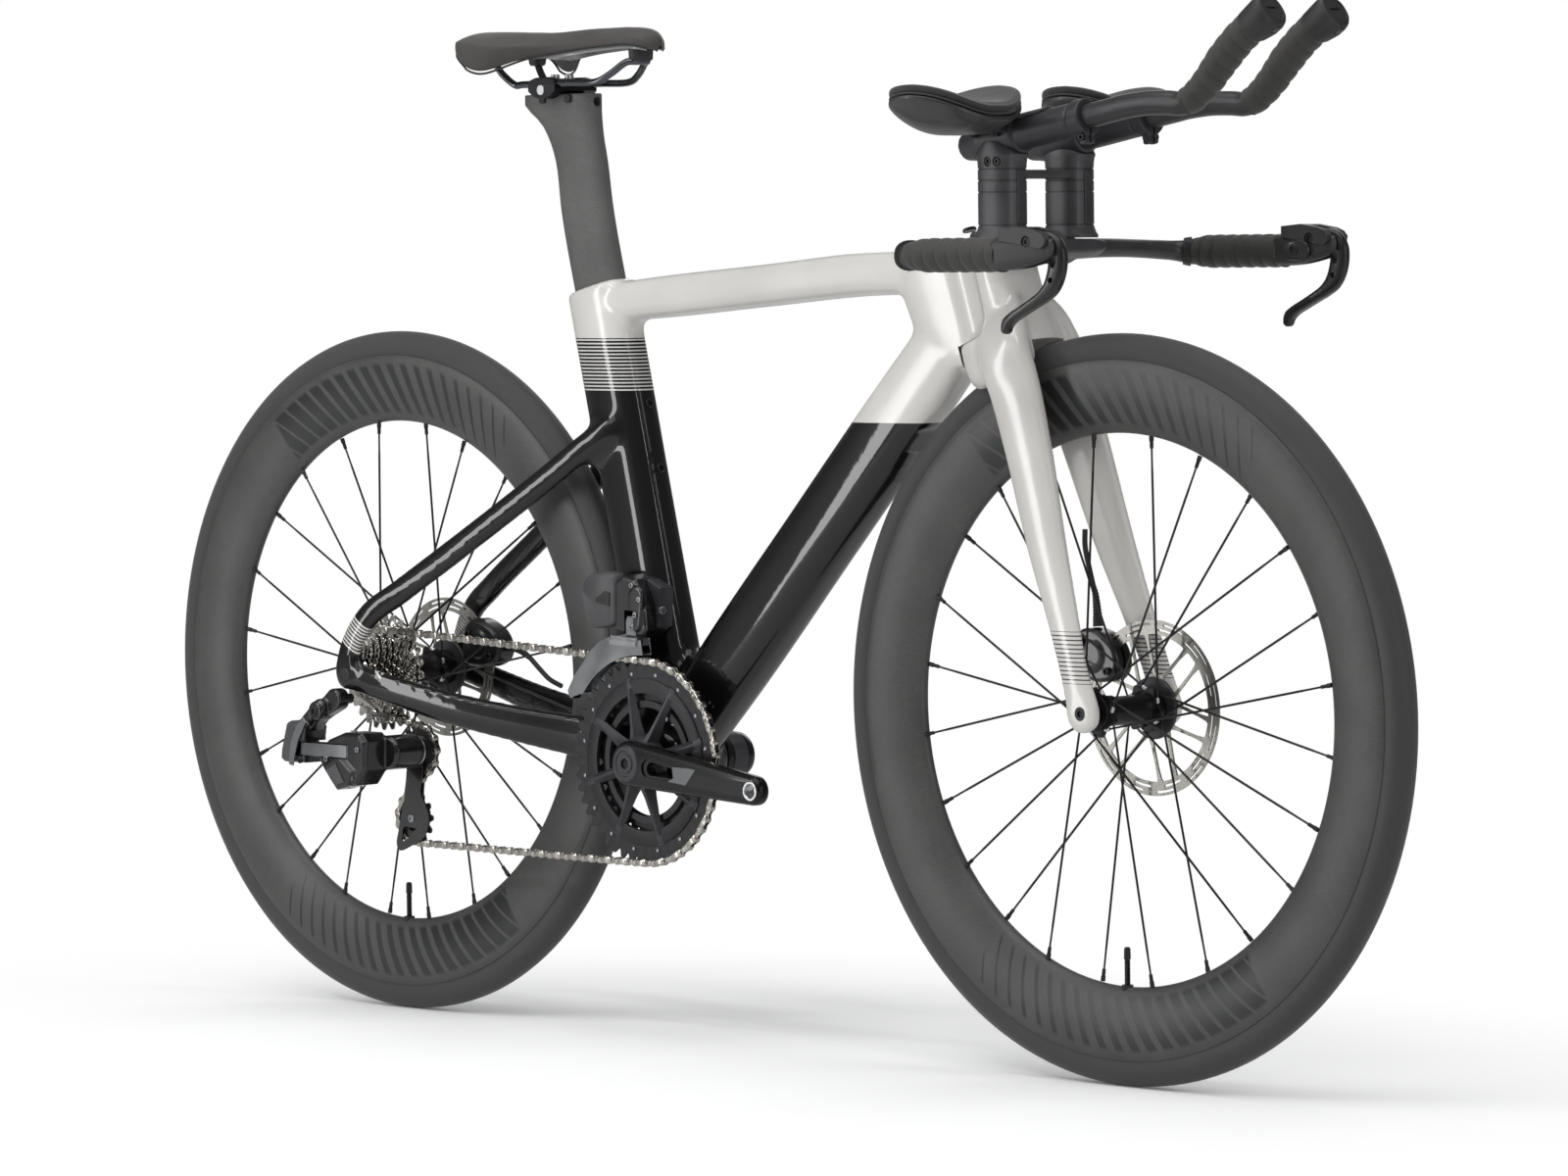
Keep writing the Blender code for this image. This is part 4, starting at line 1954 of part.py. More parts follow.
def make_brakes():
    front = [(398, 398), (404, 372), (424, 362), (446, 364), (456, 378), (450, 396), (434, 408), (412, 410)]
    joined(
        "front_brake_caliper",
        "matte_black",
        lambda bm: add_caliper(bm, front, 26.0, 52.0),
        ("DIFFERENCE", lambda bm: add_tube(bm, fork_leg_stations(1, 1.5 * GAP), 8, 2.6)),
        ("DIFFERENCE", lambda bm: add_rotor_slot(bm, FRONT_X, FRONT_ROTOR_Y, FRONT_ROTOR_RADIUS)),
    )
    rear = [(-456, 352), (-452, 384), (-436, 392), (-412, 382), (-400, 366), (-402, 350), (-420, 342), (-446, 344)]
    joined(
        "rear_brake_caliper",
        "matte_black",
        lambda bm: add_caliper(bm, rear, 43.0, 69.0),
        ("DIFFERENCE", lambda bm: add_tube(bm, chainstay_stations(1, 1.5 * GAP), 8)),
        ("DIFFERENCE", lambda bm: add_tube(bm, seat_stay_stations(1, 1.5 * GAP), 8)),
        ("DIFFERENCE", lambda bm: add_rotor_slot(bm, REAR_X, REAR_ROTOR_Y, REAR_ROTOR_RADIUS)),
    )
    simple(
        "front_brake_hose",
        "hose",
        lambda bm: add_hose(
            bm,
            [(405.5, 40, 500), (405, 40.5, 484), (409, 41, 466), (414, 41, 449), (417, 41, 440), (419, 41, 424), (420, 41, 410.7)],
            [2.6, 2.6, 2.6, 2.6, 3.4, 4.6, 4.6],
        ),
    )
    simple(
        "rear_brake_hose",
        "hose",
        lambda bm: add_hose(
            bm,
            [(-322, 57, 327), (-340, 58, 333), (-356, 59, 343), (-370, 59.5, 353), (-382, 60, 359), (-391, 60, 362), (-399.3, 60, 363.5)],
            [2.6, 2.6, 2.6, 2.6, 3.4, 4.4, 4.4],
        ),
    )


make_wheels()
make_frame()
make_headset()
make_bottom_bracket()
make_axle("front_thru_axle", FRONT_X, FRONT_HUB_HALF_WIDTH)
make_axle("rear_thru_axle", REAR_X, REAR_HUB_HALF_WIDTH)
make_fork()
make_seatpost()
make_saddle()
make_base_bar()
make_towers()
make_extensions()
make_arm_rests()
make_brake_levers()
make_sprockets()
make_cranks()
make_rear_derailleur()
make_front_derailleur()
make_brakes()
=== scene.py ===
# %% [markdown]
# # A time-trial bicycle, dressed around its solids
#
# The solids come from the part's own source: every piece below is drawn in the same frame, in
# metres, with +X forward, +Y to the rider's left and +Z up. Lengths are written in millimetres
# and scaled once, because a bicycle's drawings are in millimetres.

# %% Load the frame
import math

import bmesh
import bpy
import numpy as np
from mathutils import Matrix, Vector
from mathutils.kdtree import KDTree


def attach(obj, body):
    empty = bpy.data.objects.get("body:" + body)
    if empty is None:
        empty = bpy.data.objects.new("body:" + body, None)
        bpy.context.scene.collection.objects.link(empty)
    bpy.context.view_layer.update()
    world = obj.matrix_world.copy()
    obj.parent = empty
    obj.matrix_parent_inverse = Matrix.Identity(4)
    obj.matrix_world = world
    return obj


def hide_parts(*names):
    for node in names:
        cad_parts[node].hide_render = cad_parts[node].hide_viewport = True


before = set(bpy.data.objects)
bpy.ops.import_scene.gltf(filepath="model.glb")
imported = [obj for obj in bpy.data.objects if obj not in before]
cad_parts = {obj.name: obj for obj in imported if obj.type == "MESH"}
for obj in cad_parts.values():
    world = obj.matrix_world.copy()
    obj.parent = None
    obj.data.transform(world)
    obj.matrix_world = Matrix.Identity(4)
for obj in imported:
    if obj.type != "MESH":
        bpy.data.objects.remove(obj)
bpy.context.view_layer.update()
MM = 0.001
AHEAD = Vector((1, 0, 0))
SIDE = Vector((0, 1, 0))
UP = Vector((0, 0, 1))
TO_RIGHT = (0, -1, 0)
HANDS = ((-1, "right"), (1, "left"))

# %% [markdown]
# ## Camera, light and floor
#
# The photograph is taken from the right and ahead, low down and with a long lens, so lines
# that run side by side hardly close. The camera's place and directions were fitted to both
# wheels, both rotors and the cranks.

# %% Camera
camera_data = bpy.data.cameras.new("camera")
camera_data.lens = 155.46
camera_data.sensor_width = 36
camera_data.clip_end = 100
camera = bpy.data.objects.new("camera", camera_data)
bpy.context.scene.collection.objects.link(camera)
eye = Vector((4.6187, -4.4891, 0.7701))
right = Vector((0.70149, 0.71259, -0.01154)).normalized()
ahead = Vector((-0.71209, 0.70017, -0.05183)).normalized()
upward = right.cross(ahead).normalized()
camera.matrix_world = Matrix((
    (right.x, upward.x, -ahead.x, eye.x),
    (right.y, upward.y, -ahead.y, eye.y),
    (right.z, upward.z, -ahead.z, eye.z),
    (0, 0, 0, 1),
))
bpy.context.scene.camera = camera
print("camera at", tuple(eye))


# %% [markdown]
# One helper adds a node with its settings and feeds its sockets. Every material below is made
# with it, so a material reads as a short list of nodes. Colours are written as sRGB hex, the way
# a colour picker shows them, and turned to the linear values that the renderer works with.

# %% Node and colour helpers
def linear(hex_colour):
    """An sRGB hex colour as linear red, green, blue and alpha."""
    values = [int(hex_colour[i : i + 2], 16) / 255 for i in (0, 2, 4)]
    return [v / 12.92 if v <= 0.04045 else ((v + 0.055) / 1.055) ** 2.4 for v in values] + [1]


def feed(node, inputs):
    """Fills sockets with values or outputs. A node stands for its own first output."""
    for socket, value in dict(inputs).items():
        if isinstance(value, bpy.types.Node):
            value = value.outputs[0]
        if isinstance(value, bpy.types.NodeSocket):
            node.id_data.links.new(value, node.inputs[socket])
        else:
            node.inputs[socket].default_value = value


def add_node(tree, kind, inputs=(), **settings):
    """A new shader node with its own fields set and its sockets fed."""
    node = tree.nodes.new("ShaderNode" + kind)
    for field, value in settings.items():
        setattr(node, field, value)
    feed(node, inputs)
    return node


def set_ramp(ramp, *stops):
    """Puts (place, colour) stops on a colour ramp."""
    for stop, (place, colour) in zip(ramp.color_ramp.elements, stops):
        stop.position, stop.color = place, colour


def start_material(name):
    """An empty material with its output, its shader and the position on the object in metres."""
    material = bpy.data.materials.new(name)
    material.use_nodes = True
    tree = material.node_tree
    tree.nodes.clear()
    shader = add_node(tree, "BsdfPrincipled")
    add_node(tree, "OutputMaterial", {"Surface": shader})
    place = add_node(tree, "TexCoord").outputs["Object"]
    return material, tree, shader, place


print("node helpers are ready; mid grey is", round(linear("808080")[0], 3))

# %% [markdown]
# The photograph is lit like a studio shot: soft boxes give long, even reflections along the
# tubes, and the floor runs up to white behind the bicycle. So the lamps are broad areas, and the
# floor fades into the background with its distance from the middle.

# %% Studio
def area_light(name, place, target, size, power):
    light = bpy.data.lights.new(name, "AREA")
    light.shape = "RECTANGLE"
    light.size, light.size_y = size
    light.energy = power
    lamp = bpy.data.objects.new(name, light)
    lamp.location = place
    lamp.rotation_euler = (Vector(target) - Vector(place)).to_track_quat("-Z", "Y").to_euler()
    bpy.context.scene.collection.objects.link(lamp)


area_light("top_softbox", (0.2, -0.3, 3.4), (0, 0, 0.4), (3.4, 2.4), 50)
area_light("right_softbox", (-0.9, -3.6, 2.2), (0, 0, 0.45), (3, 0.8), 12)
area_light("front_softbox", (4, 0.6, 1.6), (0.2, 0, 0.5), (1.2, 2), 12)
area_light("side_strip", (-2.3, -2.9, 1), (-0.1, 0, 0.5), (0.42, 2.6), 30)
area_light("front_strip", (3.3, -1.2, 1.1), (0.3, 0, 0.5), (0.22, 2.4), 14)
area_light("overhead_strip", (-0.2, -1.9, 2.5), (-0.1, 0, 0.5), (3.2, 0.22), 21)
area_light("left_rim_light", (-1.6, 3.2, 2), (0, 0, 0.5), (2.6, 1.2), 16)

world = bpy.data.worlds.new("studio")
bpy.context.scene.world = world
world.use_nodes = True
tree = world.node_tree
tree.nodes.clear()
path = add_node(tree, "LightPath")
seen = add_node(
    tree, "Math", {0: path.outputs["Is Camera Ray"], 1: path.outputs["Is Transmission Ray"]},
    operation="MAXIMUM",
)
soft = add_node(tree, "MapRange", {"Value": path.outputs["Is Glossy Ray"], "To Min": 0.3, "To Max": 0.17})
dim = add_node(tree, "Background", {"Color": linear("F4F5F6"), "Strength": soft})
bright = add_node(tree, "Background", {"Color": (1, 1, 1, 1), "Strength": 1})
sky = add_node(tree, "MixShader", {0: seen, 1: dim, 2: bright})
add_node(tree, "OutputWorld", {"Surface": sky})

print("lamps and sky are set")

# %% Floor
scene = bpy.context.scene
scene.view_settings.view_transform = "Standard"

floor_mesh = bpy.data.meshes.new("floor")
floor_bm = bmesh.new()
bmesh.ops.create_circle(floor_bm, cap_ends=True, segments=96, radius=14)
floor_bm.to_mesh(floor_mesh)
floor_bm.free()
floor = bpy.data.objects.new("floor", floor_mesh)
floor.location.z = -0.0004
scene.collection.objects.link(floor)
paper, tree, shader, place = start_material("white_paper_floor")
feed(shader, {"Base Color": linear("E8E8E8"), "Roughness": 0.9})
path = add_node(tree, "LightPath")
lifted = add_node(tree, "BsdfDiffuse", {"Color": (1.1, 1.1, 1.105, 1)})
near = add_node(tree, "MixShader", {0: path.outputs["Is Camera Ray"], 1: shader, 2: lifted})
oval_place = add_node(tree, "Mapping", {"Vector": place, "Scale": (1, 1.7, 1)})
distance = add_node(tree, "VectorMath", {0: oval_place}, operation="LENGTH")
fade = add_node(
    tree, "MapRange",
    {"Value": distance.outputs["Value"], "From Min": 0.4, "From Max": 1.3, "To Min": 0, "To Max": 1},
    interpolation_type="SMOOTHSTEP",
)
far = add_node(tree, "Math", {0: fade, 1: path.outputs["Is Camera Ray"]}, operation="MULTIPLY")
glow = add_node(tree, "Emission", {"Color": (1, 1, 1, 1), "Strength": 1})
lift = add_node(tree, "MixShader", {0: far, 1: near, 2: glow})
feed(tree.nodes["Material Output"], {"Surface": lift})
floor_mesh.materials.append(paper)
print("camera, lamps and floor are in place")

# %% [markdown]
# ## Shapes
#
# A bicycle is made of turned parts, swept bars and flat plates, so three small builders cover
# most of it: one turns a profile about an axle, one runs a section along a route, and one cuts
# a plate from an outline. Each takes millimetres. A piece is then smoothed, but keeps the edges
# that are sharper than about 35 degrees.

# %% Shape helpers
def finish_piece(name, bm, material, body, replaces=(), sharp=35, bevel=0, subdivide=0):
    """Turns a mesh drawn in millimetres into a piece that rides on a body."""
    bmesh.ops.recalc_face_normals(bm, faces=bm.faces)
    mesh = bpy.data.meshes.new(name)
    bm.to_mesh(mesh)
    bm.free()
    mesh.transform(Matrix.Scale(MM, 4))
    mesh.polygons.foreach_set("use_smooth", [True] * len(mesh.polygons))
    mesh.set_sharp_from_angle(angle=math.radians(sharp))
    for finish in material if isinstance(material, (list, tuple)) else [material]:
        mesh.materials.append(finish)
    obj = bpy.data.objects.new(name, mesh)
    bpy.context.scene.collection.objects.link(obj)
    if bevel:
        edge = obj.modifiers.new("softened_edges", "BEVEL")
        edge.width = bevel * MM
        edge.segments = 2
        edge.limit_method = "ANGLE"
        edge.angle_limit = math.radians(40)
        edge.harden_normals = True
    if subdivide:
        fine = obj.modifiers.new("fine", "SUBSURF")
        fine.levels = fine.render_levels = subdivide
    if replaces:
        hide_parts(*replaces)
    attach(obj, body)
    return obj


def angles(count, start=0):
    """Even turns of a circle, in radians."""
    return [2 * math.pi * k / count + start for k in range(count)]


def polar(x, z, radius, angle):
    """The (x, z) place at an angle on a circle round x, z."""
    return x + radius * math.cos(angle), z + radius * math.sin(angle)


def loft(bm, rings, cap=True, closed=False):
    """Skins rings of equal length; each ring closes on itself."""
    rows = [[bm.verts.new(p) for p in ring] for ring in rings]
    count = len(rows[0])
    pairs = list(zip(rows, rows[1:])) + ([(rows[-1], rows[0])] if closed else [])
    for a, b in pairs:
        for i in range(count):
            j = (i + 1) % count
            bm.faces.new((a[i], a[j], b[j], b[i]))
    if cap and not closed:
        bm.faces.new(rows[0][::-1])
        bm.faces.new(rows[-1])
    return rows


print("a ring of four even turns:", [round(a, 2) for a in angles(4)])

# %% [markdown]
# A turned piece is a profile swung about its axle. It also stores how far round and how far out
# each corner lies, for finishes that follow the turn. A section is the outline of a bar or tube.

# %% Turned pieces and sections
def turned(bm, x, z, profile, count=64, closed=False):
    """Turns (radius, y) points about the axle at x, z. UV holds the turn's share and the radius in metres."""
    uv = bm.loops.layers.uv.verify()
    rows = []
    for i in range(count):
        a = 2 * math.pi * i / count
        rows.append([bm.verts.new((x + r * math.cos(a), y, z + r * math.sin(a))) for r, y in profile])
    steps = len(profile) if closed else len(profile) - 1
    for i in range(count):
        for j in range(steps):
            k = (j + 1) % len(profile)
            after = rows[(i + 1) % count]
            face = bm.faces.new((rows[i][j], rows[i][k], after[k], after[j]))
            for loop, (turn, point) in zip(face.loops, ((i, j), (i, k), (i + 1, k), (i + 1, j))):
                loop[uv].uv = (turn / count, profile[point][0] * MM)
    if not closed:
        for j in (0, len(profile) - 1):
            if profile[j][0] > 0:
                bm.faces.new([row[j] for row in rows])
    return rows


def section(centre, depth_way, width_way, depth, width, count=32, power=2.4):
    """A rounded section: power 2 is an ellipse, and more is squarer."""
    ring = []
    for i in range(count):
        a = (i + 0.5) * 2 * math.pi / count
        c, s = math.cos(a), math.sin(a)
        u = math.copysign(abs(c) ** (2 / power), c) * depth / 2
        v = math.copysign(abs(s) ** (2 / power), s) * width / 2
        ring.append(centre + depth_way * u + width_way * v)
    return ring


print("sections run from an ellipse to a rounded box")

# %% [markdown]
# A bar follows a smooth curve through a few places. Its section is carried along without a
# twist, because a twisted ring would show as a pinch in a thin tube.

# %% Routes and bars
def reach_along(points):
    """How far each point lies from the first, measured along the route."""
    reach = [0]
    for a, b in zip(points, points[1:]):
        reach.append(reach[-1] + (b - a).length)
    return reach


def smooth_route(points, step):
    """Points at a steady spacing on a smooth curve through a short list of places."""
    places = [Vector(p) for p in points]
    padded = [2 * places[0] - places[1], *places, 2 * places[-1] - places[-2]]
    dense = [places[0]]
    for a, b, c, d in zip(padded, padded[1:], padded[2:], padded[3:]):
        for k in range(1, 13):
            t = k / 12
            cubic = 2 * b + (c - a) * t + (
                2 * a - 5 * b + 4 * c - d
            ) * t**2 + (3 * b - a - 3 * c + d) * t**3
            dense.append(0.5 * cubic)
    reach = reach_along(dense)
    count = max(2, round(reach[-1] / step))
    route, k = [], 0
    for i in range(count + 1):
        want = reach[-1] * i / count
        while k < len(dense) - 2 and reach[k + 1] < want:
            k += 1
        route.append(dense[k].lerp(dense[k + 1], (want - reach[k]) / (reach[k + 1] - reach[k])))
    return route


def ways_across(route):
    """Each point of a route with two ways across it that turn with the route and never twist."""
    across = None
    for i, centre in enumerate(route):
        along = (route[min(i + 1, len(route) - 1)] - route[max(i - 1, 0)]).normalized()
        if across is None:
            across = along.cross(SIDE) if abs(along.y) < 0.9 else along.cross(UP)
        across = (across - along * across.dot(along)).normalized()
        yield centre, across, along.cross(across)


def swept(bm, route, radius, count=16, flat=1):
    """A bar along a route. radius is one value or one for each point; flat squeezes it across."""
    radii = radius if isinstance(radius, list) else [radius] * len(route)
    loft(bm, [
        section(centre, across, third, 2 * r, 2 * r * flat, count, 2)
        for r, (centre, across, third) in zip(radii, ways_across(route))
    ])


print("routes keep a steady spacing")

# %% [markdown]
# Flat pieces are cut from an outline seen from the side, with the y of both of their faces.

# %% Plates and outlines
def plate(bm, outline, low_y, high_y):
    """A flat plate cut to an outline of (x, z) points."""
    low = [bm.verts.new((x, low_y, z)) for x, z in outline]
    high = [bm.verts.new((x, high_y, z)) for x, z in outline]
    bm.faces.new(low)
    bm.faces.new(high[::-1])
    for i in range(len(outline)):
        j = (i + 1) % len(outline)
        bm.faces.new((low[i], high[i], high[j], low[j]))


def oblong(x0, z0, x1, z1):
    """The corners of an upright oblong."""
    return [(x0, z0), (x1, z0), (x1, z1), (x0, z1)]


def hull(circles, count=20):
    """The outline round two circles given as (x, z, radius)."""
    (x1, z1, r1), (x2, z2, r2) = circles
    lean = math.atan2(z2 - z1, x2 - x1)
    points = []
    for x, z, r, start in ((x1, z1, r1, lean + math.pi / 2), (x2, z2, r2, lean - math.pi / 2)):
        points += [polar(x, z, r, start + math.pi * k / count) for k in range(count + 1)]
    return points


def rounded_outline(corners, step):
    """A smooth closed outline through (x, z) corners."""
    route = smooth_route([(x, 0, z) for x, z in [*corners, corners[0]]], step)[:-1]
    return [(p.x, p.z) for p in route]


print("an outline round two circles has", len(hull([(0, 0, 1), (4, 0, 2)])), "points")

# %% [markdown]
# The frame's tubes swell and narrow, so they are drawn through stations with a depth and a width.
# Most bolts on the bicycle are cap bolts with a six-sided socket.

# %% Tubes and bolts
def stations(table, count):
    """Extra rows between the rows of a table, eased so that a tube swells and narrows smoothly."""
    reach = reach_along([Vector(row[:3]) for row in table])
    rows = np.array([list(row) for row in table], float)
    slopes = np.gradient(rows, reach, axis=0)
    found = []
    for want in np.linspace(0, reach[-1], count):
        k = min(np.searchsorted(reach, want, side="right") - 1, len(reach) - 2)
        span = reach[k + 1] - reach[k]
        t = (want - reach[k]) / span
        h = ((1 + 2 * t) * (1 - t) ** 2, t * (1 - t) ** 2, t * t * (3 - 2 * t), t * t * (t - 1))
        found.append(
            h[0] * rows[k] + h[1] * span * slopes[k] + h[2] * rows[k + 1] + h[3] * span * slopes[k + 1]
        )
    return found


def tube(bm, table, count=32, power=2.4, rows=28):
    """A tube through (x, y, z, depth, width) stations; depth is square to the path as seen from the side."""
    found = stations(table, rows) if rows else [np.array(row, float) for row in table]
    centres = [Vector(row[:3]) for row in found]
    rings = []
    for i, (centre, row) in enumerate(zip(centres, found)):
        along = (centres[min(i + 1, len(centres) - 1)] - centres[max(i - 1, 0)]).normalized()
        side = (SIDE - along * along.y).normalized()
        rings.append(section(centre, side.cross(along), side, row[3], row[4], count, power))
    loft(bm, rings)


def socket_bolt(bm, place, way, radius, height, count=20):
    """A cap bolt with a six-sided socket in its head. place is the middle of its seat, way points out."""
    way = Vector(way).normalized()
    across = way.orthogonal().normalized()
    third = way.cross(across)
    key = radius * 0.52

    def ring(r, h, six=False):
        points = []
        for i in range(count):
            a = 2 * math.pi * i / count
            reach = r / math.cos((a % (math.pi / 3)) - math.pi / 6) * math.cos(math.pi / 6) if six else r
            points.append(place + way * h + (across * math.cos(a) + third * math.sin(a)) * reach)
        return points

    edge = radius * 0.12
    loft(bm, [
        ring(radius, -0.4),
        ring(radius, height - edge),
        ring(radius - edge, height),
        ring(key * 1.08, height, True),
        ring(key, height - edge, True),
        ring(key, height * 0.35, True),
    ])


print("shape helpers are ready")

# %% [markdown]
# ## Finishes
#
# Most of the bicycle is black, so the finishes have to differ in how they shine: satin carbon,
# anodised aluminium, moulded nylon, tyre rubber and padded tape are all dark greys that give
# back light in different ways. The frame is painted under a clear coat, which gives it a sharp
# reflection over a soft one.

# %% Plain finishes with a fine surface
def fine_finish(
    name, hex_colour, roughness, metallic=0, grain=900, rise=0.05, spread=0.06, coat=0, worn=0, sheen=0,
):
    """A moulded, cast or coated surface. grain is how many grains there are in a metre."""
    material, tree, shader, place = start_material(name)
    feed(shader, {
        "Metallic": metallic, "Coat Weight": coat, "Coat Roughness": 0.06,
        "Sheen Weight": sheen, "Sheen Roughness": 0.4,
    })
    fine = add_node(tree, "TexNoise", {"Vector": place, "Scale": grain, "Detail": 3})
    broad = add_node(tree, "TexNoise", {"Vector": place, "Scale": 38, "Detail": 2})
    rough = add_node(tree, "MapRange", {
        "Value": broad.outputs["Fac"], "To Min": roughness - spread, "To Max": roughness + spread,
    })
    feed(shader, {"Roughness": rough})
    base = linear(hex_colour)
    light = [min(1, c * 1.22 + 0.004) for c in base[:3]] + [1]

    ramp = add_node(tree, "ValToRGB", {"Fac": broad.outputs["Fac"]})
    set_ramp(ramp, (0.3, base), (0.75, light))
    colour = ramp.outputs["Color"]
    if worn:
        edge = add_node(tree, "NewGeometry").outputs["Pointiness"]
        rub = add_node(tree, "MapRange", {
            "Value": edge, "From Min": 0.52, "From Max": 0.6, "To Max": worn,
        })
        bare = [min(1, c * 2.4 + 0.05) for c in base[:3]] + [1]
        mix = add_node(tree, "MixRGB", {"Fac": rub, "Color1": colour, "Color2": bare})
        colour = mix
    feed(shader, {"Base Color": colour})
    if rise:
        bump = add_node(tree, "Bump", {
            "Height": fine.outputs["Fac"], "Strength": rise, "Distance": 0.0004,
        })
        feed(shader, {"Normal": bump})
    return material


anodised_black = fine_finish(
    "anodised_aluminium_black", "1C1C1E", 0.36, metallic=0.75, grain=1400, rise=0.03, worn=0.25,
)
satin_black_alloy = fine_finish(
    "painted_aluminium_satin_black", "303033", 0.42, metallic=0.2, grain=1100, rise=0.06,
)
silver_alloy = fine_finish("anodised_aluminium_silver", "BFC0C2", 0.3, metallic=1, grain=1200, rise=0.02)
nylon_black = fine_finish("moulded_nylon_black", "202022", 0.52, grain=2200, rise=0.14, worn=0.08)
soft_rubber = fine_finish("moulded_rubber_black", "1B1B1C", 0.68, grain=1500, rise=0.16, sheen=0.15)
hose_jacket = fine_finish("polymer_hose_jacket", "141415", 0.46, grain=900, rise=0.04)
steel_bolt = fine_finish("zinc_plated_steel", "8F9094", 0.3, metallic=1, grain=900, rise=0.03)
black_bolt = fine_finish(
    "black_oxide_steel", "19191B", 0.38, metallic=0.6, grain=900, rise=0.03, worn=0.3,
)


# %% Carbon fibre
def carbon(name, hex_colour, roughness):
    """Satin carbon: short dark flecks where the fibres run at different angles, under matt lacquer."""
    material, tree, shader, place = start_material(name)
    feed(shader, {"Coat Roughness": 0.12, "Specular IOR Level": 0.5})
    base = linear(hex_colour)
    fibres = add_node(tree, "Mapping", {
        "Vector": place, "Scale": (140, 600, 900), "Rotation": (0.4, 0.3, 0.7),
    })
    strand = add_node(tree, "TexNoise", {"Vector": fibres, "Scale": 1, "Detail": 2})
    cloud = add_node(tree, "TexNoise", {"Vector": place, "Scale": 22, "Detail": 3})
    ramp = add_node(tree, "ValToRGB", {"Fac": cloud.outputs["Fac"]})
    dark, light = ([c * share for c in base[:3]] + [1] for share in (0.9, 1.12))
    set_ramp(ramp, (0.35, dark), (0.7, light))
    fleck = add_node(tree, "MapRange", {
        "Value": strand.outputs["Fac"], "From Min": 0.35, "From Max": 0.65, "To Min": 0.9, "To Max": 1.1,
    })
    grey = add_node(tree, "CombineColor", {"Red": fleck, "Green": fleck, "Blue": fleck})
    mixed = add_node(
        tree, "MixRGB", {"Fac": 1, "Color1": ramp.outputs["Color"], "Color2": grey},
        blend_type="MULTIPLY",
    )
    feed(shader, {"Base Color": mixed})
    rough = add_node(tree, "MapRange", {
        "Value": strand.outputs["Fac"], "To Min": roughness - 0.05, "To Max": roughness + 0.07,
    })
    feed(shader, {"Roughness": rough})
    bump = add_node(tree, "Bump", {"Height": strand.outputs["Fac"], "Strength": 0.05, "Distance": 0.0003})
    feed(shader, {"Normal": bump})
    return material


print("finishes:", len(bpy.data.materials))

# %% [markdown]
# ## Wheels
#
# Each wheel is a 65 mm deep carbon rim with a slick 28 mm tyre, a machined hub, spokes that
# cross once and a steel rotor. Turning a profile gives the tyre, rim and hub. The two lines of
# diagonal bars on the rim are a change of gloss in the lacquer, so they are made in the
# material from the turn's share and the radius that the builder stored in the UVs.

# %% Tyre rubber
rubber, tree, shader, place = start_material("tyre_rubber_compound")
feed(shader, {"Base Color": linear("383839"), "Specular IOR Level": 0.4})
feed(shader, {"Sheen Weight": 0.2, "Sheen Roughness": 0.5})
turn_uv = add_node(tree, "TexCoord").outputs["UV"]
spread = add_node(tree, "SeparateXYZ", {"Vector": turn_uv})
side_place = add_node(tree, "SeparateXYZ", {"Vector": place})
# Sipes: short slanted cuts, about 10 mm apart round the tyre, on both shoulders of the tread.
SIPES = 220
offset = add_node(tree, "Math", {0: side_place.outputs["Y"]}, operation="ABSOLUTE")
slant = add_node(tree, "Math", {0: offset, 1: 0.9, 2: spread.outputs["X"]}, operation="MULTIPLY_ADD")
cuts = add_node(tree, "Math", {0: slant, 1: 2 * math.pi * SIPES}, operation="MULTIPLY")
wave = add_node(tree, "Math", {0: cuts}, operation="SINE")
thin = add_node(tree, "MapRange", {"Value": wave, "From Min": 0.86, "From Max": 0.97})
inner = add_node(tree, "MapRange", {"Value": offset, "From Min": 0.0052, "From Max": 0.0064})
outer = add_node(tree, "MapRange", {"Value": offset, "From Min": 0.0112, "From Max": 0.0098})
band = add_node(tree, "Math", {0: inner, 1: outer}, operation="MULTIPLY")
sipe = add_node(tree, "Math", {0: band, 1: thin}, operation="MULTIPLY")
grit = add_node(tree, "TexNoise", {"Vector": place, "Scale": 1600, "Detail": 2})
height = add_node(tree, "Math", {0: sipe, 1: -1, 2: grit.outputs["Fac"]}, operation="MULTIPLY_ADD")
bump = add_node(tree, "Bump", {"Height": height, "Strength": 0.35, "Distance": 0.0005})
feed(shader, {"Normal": bump})
cloud = add_node(tree, "TexNoise", {"Vector": place, "Scale": 30, "Detail": 2})
rough = add_node(tree, "MapRange", {"Value": cloud.outputs["Fac"], "To Min": 0.5, "To Max": 0.64})
feed(shader, {"Roughness": rough})

# %% Rim carbon with its gloss bars
rim_carbon = carbon("satin_carbon_rim", "464645", 0.4)
tree = rim_carbon.node_tree
shader = tree.nodes["Principled BSDF"]
turn_uv = add_node(tree, "TexCoord").outputs["UV"]
spread = add_node(tree, "SeparateXYZ", {"Vector": turn_uv})


def between(tree, value, low, high, soft):
    """1 where the value lies between low and high, with soft edges."""
    rise = add_node(tree, "MapRange", {"Value": value, "From Min": low - soft, "From Max": low + soft})
    fall = add_node(tree, "MapRange", {"Value": value, "From Min": high + soft, "From Max": high - soft})
    return add_node(tree, "Math", {0: rise, 1: fall}, operation="MULTIPLY")


